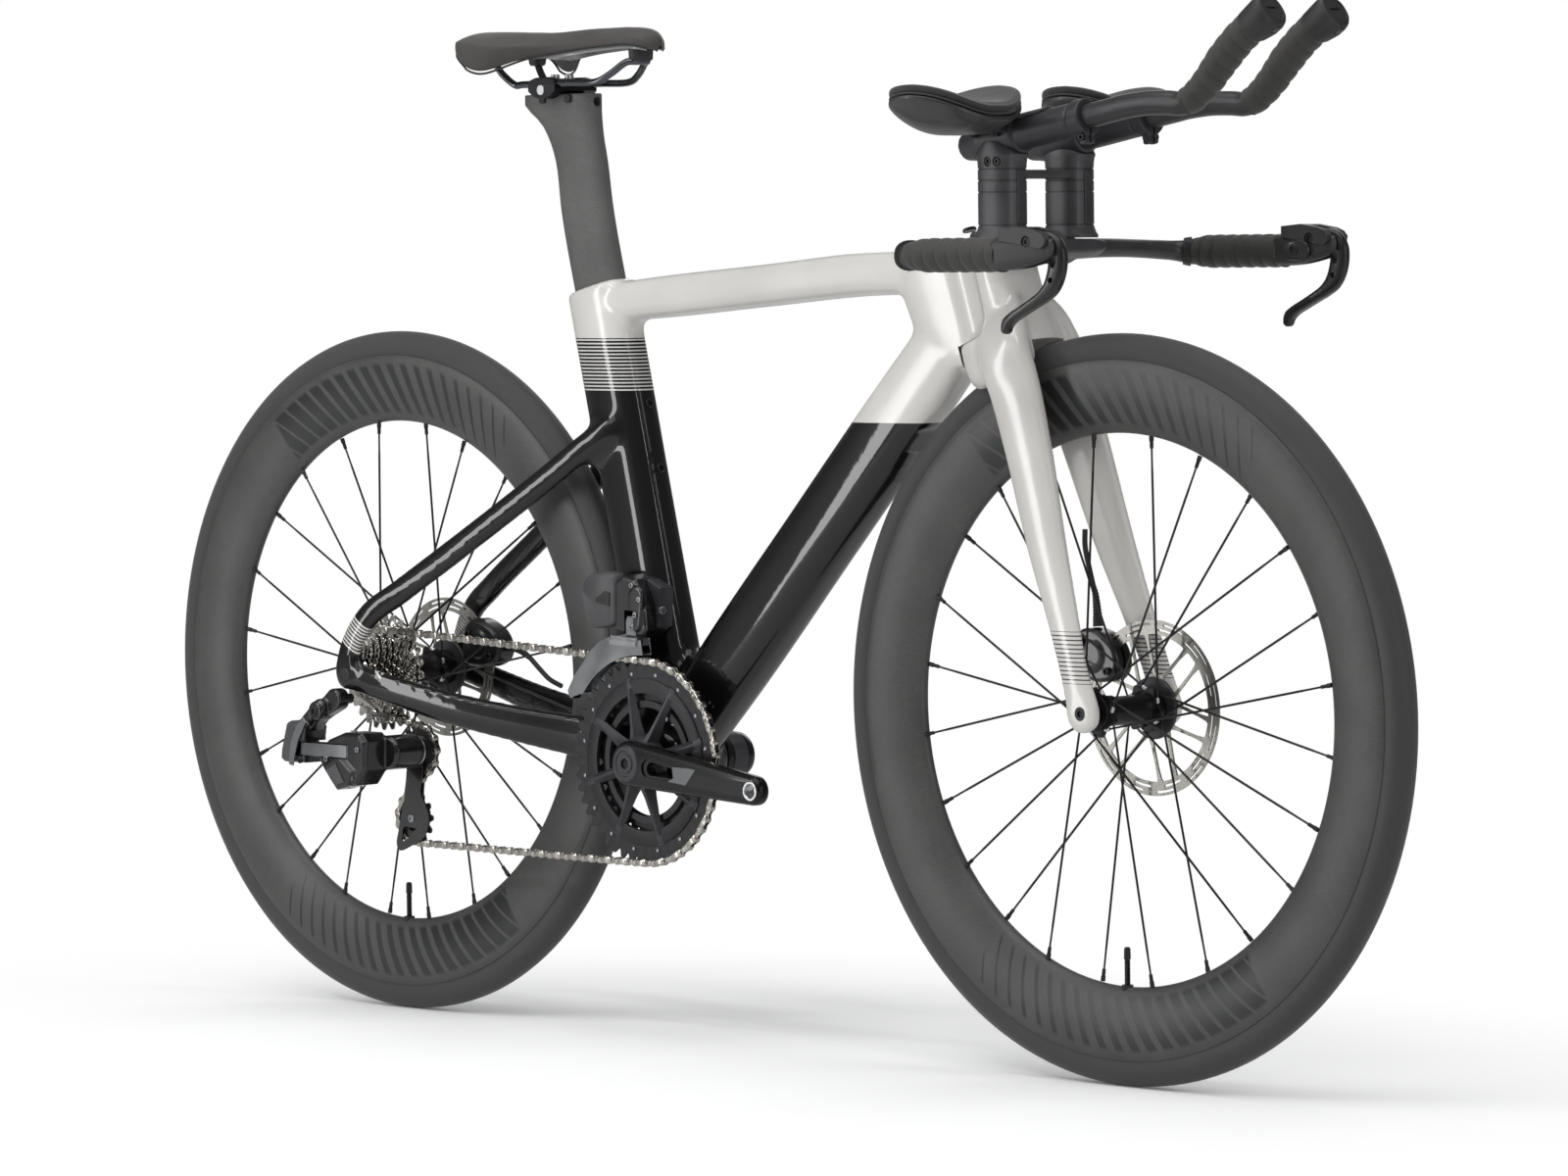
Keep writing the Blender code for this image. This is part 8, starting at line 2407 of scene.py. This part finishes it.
bm = bmesh.new()
draw_knuckle(bm)
knuckle = finish_piece(
    "hanger_knuckle", bm, derailleur_black, "frame", replaces=["derailleur_knuckle"], sharp=40,
)
melt(knuckle, 0.9)
relax(knuckle, 4)
carve(knuckle, link_room, HINGE_X, 1)
bm = bmesh.new()
rings = []
for y, dx in ((-95, 2.5), (-94, 1.2), (-91, 0), (-74, 0), (-71.5, 1.2), (-70.5, 3.5)):
    outline = [
        (-575 + dx, 252 + dx), (-571 + dx, 249.5 + dx), (-544, 249.5 + dx), (-543, 282 - dx),
        (-547, 287 - dx), (-561, 291 - dx), (-566 + dx, 289 - dx), (-574 + dx, 262),
    ]
    rings.append([Vector((x, y, z)) for x, z in outline])
loft(bm, rings)
finish_piece("derailleur_battery", bm, battery_black, "frame", bevel=1)
bm = bmesh.new()
# The silver outer link cover lies along the knuckle's face.
eased_plate(
    bm, [(-546, 249), (-540, 247.5), (-532, 272), (-519, 292), (-523, 297), (-535, 287), (-543, 270)],
    -108.6, -106.8, 0.6,
)
finish_piece("knuckle_plate", bm, derailleur_silver, "frame", bevel=0.2)
bm = bmesh.new()
socket_bolt(bm, Vector((PIVOT[0], -102.6, PIVOT[1])), TO_RIGHT, 5.4, 1.6, 24)
for x, z in ((-537, 256), (-530, 253)):
    socket_bolt(bm, Vector((x, -106.5, z)), TO_RIGHT, 2.6, 1.8, 16)
turned(bm, *HANGER, [(5, -94), (5, -71)], 24)
finish_piece("knuckle_bolts", bm, black_bolt, "frame")
print("knuckle and battery done")

# %% [markdown]
# The two links are parallel arms that keep the motor body level while it swings. Their ends and
# the cheeks round them are cut with room to turn. The cage is two plates joined by the axles.

# %% Links
for name, y, body, finish, high in (
    ("outer", OUTER_Y, "derailleur_outer_link", derailleur_silver, 1),
    ("inner", INNER_Y, "derailleur_inner_link", derailleur_black, 0.8),
):
    bm = bmesh.new()
    rings = []
    for lift, grow in ((-7, -1.2), (-6.2, 0), (6.2, 0), (7, -1.2)):
        ring = []
        for x, start in ((HINGE_X, 90), (MOTOR_X, -90)):
            for k in range(13):
                a = math.radians(start + 15 * k)
                ring.append(Vector(
                    (x + (5 + grow) * math.cos(a), y + (5 + grow) * math.sin(a), LINK_Z + lift * high)
                ))
        rings.append(ring)
    loft(bm, rings)
    link = finish_piece(
        name + "_link_arm", bm, finish, body, replaces=["derailleur_" + name + "_link"], sharp=35,
    )
    carve(link, loft, [
        section(Vector(((HINGE_X + MOTOR_X) / 2, y, LINK_Z + dz)), AHEAD, SIDE, 34, 5, 32, 3)
        for dz in (-12, -3)
    ])
    bm = bmesh.new()
    for x in (HINGE_X, MOTOR_X):
        loft(bm, [
            section(Vector((x, y, LINK_Z + dz)), AHEAD, SIDE, 5.2, 5.2, 20, 2)
            for dz in (-12.4, 12.4)
        ])
    finish_piece(name + "_link_pins", bm, steel_bolt, body)


print("both links swing about x", HINGE_X, "and carry the motor at x", MOTOR_X)

# %% Motor
def draw_motor(bm):
    eased_plate(
        bm,
        [
            (-506, 262), (-496, 246), (-470, 229), (-446, 232), (-432, 248), (-431, 276), (-438, 284),
            (-464, 284), (-488, 276),
        ],
        -108, -74, 4,
    )
    eased_plate(bm, hull([(-452, 261, 16.5), (-431, 264, 17)]), -80, -41.6, 3)
    # The gearbox steps out of the lower edge at an angle.
    corners = [(-492, 250), (-470, 227), (-452, 232), (-446, 246), (-468, 262)]
    eased_plate(bm, corners, -112, -86, 2)


bm = bmesh.new()
draw_motor(bm)
motor = finish_piece(
    "motor_housing", bm, derailleur_black, "derailleur_motor", replaces=["derailleur_motor"], sharp=40,
)
melt(motor, 1)
relax(motor, 4)
carve(motor, link_room, MOTOR_X, -1)
bm = bmesh.new()
eased_plate(bm, [(-484, 246), (-469, 231.5), (-457, 235), (-470, 254)], -113.4, -111.4, 0.8)
finish_piece("motor_cover", bm, battery_black, "derailleur_motor", bevel=0.4)
bm = bmesh.new()
for x, z in ((-488, 257), (-450, 240), (-441, 268)):
    socket_bolt(bm, Vector((x, -108, z)), TO_RIGHT, 2.8, 2, 16)
socket_bolt(bm, Vector((-464, -92.5, 283.6)), UP, 3.4, 1.6, 16)
turned(bm, *GUIDE, [(5.9, -62), (5.9, -42)], 24)
finish_piece("motor_bolts", bm, steel_bolt, "derailleur_motor")


print("motor housing:", len(motor.data.polygons), "faces")

# %% Pulley cage
def cage_point(run, off):
    """A place on the cage: run goes from the guide pulley past the tension pulley, off across it."""
    along = Vector((TENSION[0] - GUIDE[0], 0, TENSION[1] - GUIDE[1])).normalized()
    across = Vector((-along.z, 0, along.x))
    place = Vector((GUIDE[0], 0, GUIDE[1])) + along * run + across * off
    return place.x, place.z


def cage_side(bm, low, high, outline):
    eased_plate(
        bm, rounded_outline([cage_point(*p) for p in outline], 2), CHAIN_Y + low, CHAIN_Y + high, 0.3,
    )


outer_side = [
    (-12, -4), (-11, 6), (0, 12), (20, 11.5), (40, 10.5), (56, 22), (66, 25.5), (84, 21), (96, 3),
    (104, -13), (98, -19.5), (84, -18), (70, -16), (50, -12.5), (20, -12), (0, -12),
]
bm = bmesh.new()
cage_side(bm, -5.4, -4, outer_side)
cage_plate = finish_piece(
    "pulley_cage", bm, derailleur_black, "derailleur_cage", replaces=["derailleur_cage"], sharp=35,
)
cuts = bmesh.new()
window = [cage_point(*p) for p in ((78, 8), (88, -1), (94, -11), (86, -12), (79, -9))]
plate(cuts, rounded_outline(window, 1.5), CHAIN_Y - 9, CHAIN_Y + 9)
cut_with(cage_plate, cuts)
bm = bmesh.new()
cage_side(bm, 4, 5.4, [
    (-10, -6), (-10, 6), (0, 10), (30, 5), (50, 6), (60, 16), (76, 15), (84, 2), (80, -12), (60, -15),
    (40, -6), (20, -6), (0, -10),
])
finish_piece("pulley_cage_inner", bm, derailleur_silver, "derailleur_cage", sharp=35)
bm = bmesh.new()
for x, z in (GUIDE, TENSION):
    turned(bm, x, z, [(3, CHAIN_Y - 4.4), (3, CHAIN_Y + 4.6)], 20)
socket_bolt(bm, Vector((TENSION[0], CHAIN_Y - 5.2, TENSION[1])), TO_RIGHT, 4.2, 1.4, 20)
turned(
    bm, *GUIDE,
    [
        (14, CHAIN_Y - 6.4), (15, CHAIN_Y - 5.4), (15, CHAIN_Y - 5), (5.5, CHAIN_Y - 5),
        (5.5, CHAIN_Y - 6.4),
    ],
    48, closed=True,
)
finish_piece("cage_axles", bm, steel_bolt, "derailleur_cage")
print("pulley cage:", len(cage_plate.data.polygons), "faces")

# %% [markdown]
# Both pulleys are cut to the chain like the cogs, and each has five open spokes.

# %% Pulleys
pulley_black = fine_finish(
    "machined_pulley_black", "2B2B2D", 0.38, metallic=0.5, grain=900, rise=0.04, worn=0.3,
)
for name, (x, z) in (("guide", GUIDE), ("tension", TENSION)):
    bm = bmesh.new()
    sprocket(bm, x, z, CHAIN_Y, PULLEY_TEETH, 2.1, pin_turn(x, z), 14.5)
    turned(
        bm, x, z,
        [(14.8, CHAIN_Y - 1.05), (14.8, CHAIN_Y + 1.05), (13, CHAIN_Y + 1.8), (13, CHAIN_Y - 1.8)], 64,
        closed=True,
    )
    for a in angles(5, 0.2):
        run = Vector((math.cos(a), 0, math.sin(a)))
        across = Vector((-run.z, 0, run.x))
        hub = Vector((x, CHAIN_Y, z))
        loft(bm, [
            [
                hub + run * reach + across * u * broad + SIDE * v * 0.9
                for u, v in ((-1, -1), (1, -1), (1, 1), (-1, 1))
            ]
            for reach, broad in ((6, 2.4), (10, 1.5), (13.6, 2))
        ])
    turned(
        bm, x, z,
        [
            (3.5, CHAIN_Y - 3), (7, CHAIN_Y - 3), (7.6, CHAIN_Y - 2.2), (7.6, CHAIN_Y + 2.2),
            (7, CHAIN_Y + 3), (3.5, CHAIN_Y + 3),
        ],
        48, closed=True,
    )
    finish_piece(
        name + "_wheel", bm, pulley_black, name + "_pulley", replaces=[name + "_pulley"], sharp=30,
    )
print("pulleys: 12 teeth each")

# %% [markdown]
# ## Front derailleur
#
# The body hangs on the seat tube with its battery behind it. The cage swings sideways on a pin
# and wraps the chain: a bright outer plate, an inner one, and a bridge over the top.

# %% Front derailleur
PIN_Y, PIN_Z = -44, 404


def draw_changer(bm):
    eased_plate(
        bm,
        [
            (-128, 396), (-112, 390), (-90, 388), (-82.5, 396), (-84, 418), (-90, 432), (-98, 444),
            (-116, 448), (-127, 441),
        ],
        -52, -20.6, 2.5,
    )
    eased_plate(bm, hull([(-96, 402, 8), (-94, 428, 10)]), -55.5, -48, 1.5)


bm = bmesh.new()
draw_changer(bm)
changer = finish_piece(
    "changer_body", bm, derailleur_black, "frame", replaces=["front_derailleur"], sharp=40,
)
melt(changer, 0.9)
relax(changer, 4)
carve(changer, plate, oblong(-113, 370, -97, 414), -70, -34)
bm = bmesh.new()
shell = [
    (-172, 432), (-168, 442), (-156, 448.5), (-134, 450), (-124.5, 444), (-124, 420), (-126, 401),
    (-146, 396), (-160, 396), (-167, 403),
]
eased_plate(bm, rounded_outline(shell, 1.6), -54, -36, 3)
finish_piece("changer_battery", bm, battery_black, "frame", sharp=50)
bm = bmesh.new()
eased_plate(bm, [(-150, 421), (-131, 417), (-130, 430), (-137, 432), (-150, 424)], -55.4, -53.6, 0.6)
finish_piece("battery_latch", bm, derailleur_black, "frame", bevel=0.3)
bm = bmesh.new()
for x, z in ((-88, 425), (-94, 410), (-102, 438)):
    socket_bolt(bm, Vector((x, -55 if x > -100 else -51.4, z)), TO_RIGHT, 2.7, 2, 16)
for x in (-118.4, -91.6):
    loft(bm, [section(Vector((x + dx, PIN_Y, PIN_Z)), UP, SIDE, 6.4, 6.4, 20, 2) for dx in (-1.4, 1.4)])
socket_bolt(bm, Vector((-78, -36, 414)), (1, 0, 0), 4.2, 3, 20)
finish_piece("changer_bolts", bm, steel_bolt, "frame")
bm = bmesh.new()
# The clamp plate behind the body follows the front of the seat tube.
eased_plate(bm, [(-92, 396), (-79, 398), (-77, 436), (-96, 444)], -38, -20.4, 1.5)
finish_piece("changer_mount", bm, satin_black_alloy, "frame", sharp=40)
print("front derailleur body done")

# %% [markdown]
# The cage is folded from steel sheet that is polished bright. Its lower edge follows the big
# ring, so the first part of each outline is an arc about the bottom bracket.

# %% Front derailleur cage
cage_steel = fine_finish(
    "polished_cage_steel", "9A9B9D", 0.16, metallic=1, grain=500, rise=0.01, spread=0.05,
)
sweep = [polar(BB_X, BB_Z, 102.8, math.radians(d)) for d in range(88, 143, 3)]


def guide_side(bm, low, high, tail):
    eased_plate(bm, sweep + tail, RING_Y + low, RING_Y + high, 0.35)


bm = bmesh.new()
guide_side(bm, -5.9, -4.5, [
    (-187, 327), (-190, 334), (-181, 348), (-168, 362), (-157, 374), (-146, 382), (-133, 387.5),
    (-118, 389), (-100, 388.5), (-86, 386),
])
guide_side(bm, 5.2, 6.6, [(-184, 330), (-186, 337), (-168, 366), (-146, 386), (-118, 391), (-86, 388)])
plate(bm, [(-120, 382.5), (-90, 380.5), (-90, 386), (-120, 388)], RING_Y - 5, RING_Y + 5.8)
plate(bm, [(-188, 327.5), (-184, 326.5), (-183, 332), (-187, 333)], RING_Y - 5, RING_Y + 5.8)
finish_piece(
    "chain_guide", bm, cage_steel, "front_derailleur_cage", replaces=["front_derailleur_cage"], bevel=0.4,
)
bm = bmesh.new()
eased_plate(
    bm, [(-112.2, 382), (-97.8, 382), (-97.8, 404), (-100, 409), (-110, 409), (-112.2, 404)], -51, -38.4,
    1,
)
loft(bm, [section(Vector((x, PIN_Y, PIN_Z)), UP, SIDE, 5.9, 5.9, 24, 2) for x in (-117.4, -92.6)])
finish_piece("guide_tongue", bm, cage_steel, "front_derailleur_cage", bevel=0.3)
bm = bmesh.new()
# A folded ear stiffens the outer plate where the tongue meets it.
loft(bm, [
    [Vector((x, y, z)) for x, z in ((-128, zb), (-92, zb - 1.5), (-90, zt - 2), (-126, zt))]
    for y, zb, zt in ((RING_Y - 5.8, 380, 389.5), (RING_Y - 7.6, 382, 390.5), (RING_Y - 8, 384, 389.5))
])
socket_bolt(bm, Vector((-103, RING_Y - 0.8, 398)), TO_RIGHT, 2.8, 1.8, 16)
finish_piece("guide_ear", bm, cage_steel, "front_derailleur_cage", bevel=0.3)
print("front derailleur cage done")

# %% [markdown]
# ## Brakes
#
# Each caliper is a cast body that straddles its rotor and is bolted flat to the fork leg or the
# stay. The hose enters through a ribbed strain relief, and the pads stand close to the rotor.

# %% Brake calipers
caliper_black = fine_finish(
    "painted_caliper_black", "151517", 0.32, metallic=0.3, grain=800, rise=0.04, coat=0.35,
)
pad_metal = fine_finish("sintered_pad", "6B5F55", 0.7, metallic=0.4, grain=1800, rise=0.2)


def caliper_body(name, outline, low, high, disc_x, disc_y, disc_radius, body, node, keep_out, bolts):
    """A caliper drawn as a body and two piston bosses, then slotted for the rotor."""
    bm = bmesh.new()
    eased_plate(bm, rounded_outline(outline, 2), low, high, 3)
    middle = Vector((
        sum(x for x, _ in outline) / len(outline), 0, sum(z for _, z in outline) / len(outline),
    ))
    turned(bm, middle.x, middle.z, [(15.5, low + 1), (13, low - 1.2), (9, low - 1.4)], 48)
    turned(bm, middle.x, middle.z, [(15.5, high - 1), (13, high + 1.2), (9, high + 1.4)], 48)
    obj = finish_piece(name, bm, caliper_black, body, replaces=[node], sharp=40)
    melt(obj, 1)
    relax(obj, 4)
    carve(obj, disc, disc_x, AXLE_Z, disc_radius + 3, disc_y - 1.8, disc_y + 1.8, 128)
    for draw in keep_out:
        carve(obj, draw)
    bm = bmesh.new()
    for side in (-1, 1):
        faces = sorted((disc_y + side * 1.5, disc_y + side * 3.4))
        plate(bm, oblong(middle.x - 9, middle.z - 9, middle.x + 9, middle.z + 9), *faces)
    finish_piece(name + "_pads", bm, pad_metal, body)
    bm = bmesh.new()
    for place, way in bolts:
        socket_bolt(bm, Vector(place), way, 3.6, 2.4, 20)
    finish_piece(name + "_bolts", bm, black_bolt, body)


def leg_space(bm):
    """The left leg of the fork, grown on all sides by the room that the caliper leaves to it."""
    room = 0.9
    table = [(374, 33, 668, 62, 24)] + LEG
    tube(bm, [(x, y, z, d + 2 * room, w + 2 * room) for x, y, z, d, w in table], 48, 2.7, 56)


front_outline = [
    (398, 398), (400, 384), (406, 371), (424, 362), (446, 364), (455, 378), (449, 396), (434, 407),
    (412, 410),
]
caliper_body(
    "front_caliper", front_outline, 27, 51, FRONT_X, FRONT_ROTOR_Y, FRONT_ROTOR, "steering",
    "front_brake_caliper", [leg_space], [((411, 25.8, 399), TO_RIGHT), ((444, 25.8, 372), TO_RIGHT)],
)
rear_outline = [
    (-456, 352), (-455, 370), (-450, 384), (-436, 391), (-412, 382), (-401, 368), (-402, 352),
    (-420, 343), (-446, 344),
]
caliper_body(
    "rear_caliper", rear_outline, 44, 68, REAR_X, REAR_ROTOR_Y, REAR_ROTOR, "frame", "rear_brake_caliper",
    [], [((-443, 42.8, 376), TO_RIGHT), ((-412, 42.8, 354), TO_RIGHT)],
)
print("calipers straddle both rotors")

# %% [markdown]
# Each hose leaves the leg or the stay and runs to its caliper. Its route is a list of given
# places, and a ribbed boot covers its last few centimetres.

# %% Brake hoses
front_hose = [
    (405.5, 40, 500), (405, 40.5, 484), (409, 41, 466), (414, 41, 449), (417, 41, 440), (419, 41, 424),
    (420, 41, 411.5),
]
rear_hose = [
    (-322, 57, 327), (-340, 58, 333), (-356, 59, 343), (-370, 59.5, 353), (-382, 60, 359),
    (-391, 60, 362), (-399, 60, 363.5),
]
for name, points, body in (("front", front_hose, "steering"), ("rear", rear_hose, "frame")):
    bm = bmesh.new()
    swept(bm, smooth_route(points, 1.5), 2.5, 24)
    finish_piece(name + "_hose", bm, hose_jacket, body, replaces=[name + "_brake_hose"])
    route = smooth_route(points[-4:], 0.5)
    reach = len(route)
    radii = []
    for i in range(reach):
        share = i / (reach - 1)
        rib = 0.45 * (0.5 + 0.5 * math.sin(2 * math.pi * i / 6)) if share < 0.75 else 0
        radii.append(2.7 + 2.2 * share - rib)
    bm = bmesh.new()
    swept(bm, route, radii, 28)
    finish_piece(name + "_hose_boot", bm, soft_rubber, body)
print("hoses and their ribbed boots done")

# %% [markdown]
# ## Small fittings
#
# Two steel bearing rings close the head tube, and threaded inserts on the down tube and the seat
# tube are there for bottles. The inserts are set where a line from outside meets the moulded skin.
# The saddle's cover is folded under its shell, and a black strip hides the fold.

# %% Bearings, inserts and strips
def closed_bar(bm, route, radius, count=10):
    """A thin bar that follows a route and joins up with its own start."""
    rings = []
    for k, centre in enumerate(route):
        along = (route[(k + 1) % len(route)] - route[k - 1]).normalized()
        out = along.cross(UP).normalized()
        rings.append(section(centre, out, out.cross(along), 2 * radius, 2 * radius, count, 2))
    loft(bm, rings, closed=True)


for name, low in (("upper_headset_bearing", HEAD_TOP - 6.66), ("lower_headset_bearing", HEAD_BOTTOM)):
    bm = bmesh.new()
    rings = []
    for radius, z in (
        (14.6, low + 0.3), (15.2, low), (20.4, low), (21, low + 0.6), (21, low + 6), (20.4, low + 6.6),
        (15.2, low + 6.6), (14.6, low + 6.3),
    ):
        rings.append(section(steer_point(z), STEER_AHEAD, SIDE, 2 * radius, 2 * radius, 48, 2))
    loft(bm, rings, closed=True)
    finish_piece(name + "_ring", bm, steel_bolt, "frame", replaces=[name])

tube_way = (DOWN_TOP - DOWN_FOOT).normalized()
tube_up = tube_way.cross(SIDE)
seat_spot = Vector((seat_x(540), 0, 540))
inserts = [(DOWN_FOOT + tube_way * reach, tube_up) for reach in (105, 169)]
inserts += [(seat_spot + SEAT_UP * reach, SEAT_AHEAD) for reach in (0, 64)]
bm = bmesh.new()
for spot, way in inserts:
    found, hit, _, _ = frame_skin.ray_cast((spot + way * 90) * MM, -way)
    socket_bolt(bm, hit / MM, way, 4.6, 1.8, 24)
finish_piece("bottle_inserts", bm, black_bolt, "frame")

bm = bmesh.new()
shares = [0.04 + 0.93 * i / 79 for i in range(80)]
hem = [saddle_section(share)[45] for share in shares] + [
    saddle_section(share)[65]
    for share in reversed(shares)
]
closed_bar(bm, hem, 1.1)
finish_piece("saddle_hem_strip", bm, soft_rubber, "saddle")

bm = bmesh.new()
for x in (CLAMP_X - 11, CLAMP_X + 25):
    for side in (-1, 1):
        loft(bm, [
            section(Vector((x, side * y, 906.5)), AHEAD, UP, w, w, 24, 4)
            for y, w in ((13.5, 8), (17.2, 8.4), (18, 7.4))
        ])
finish_piece("post_clamp_feet", bm, black_bolt, "seatpost")
print("bearings, inserts and strips are in place")
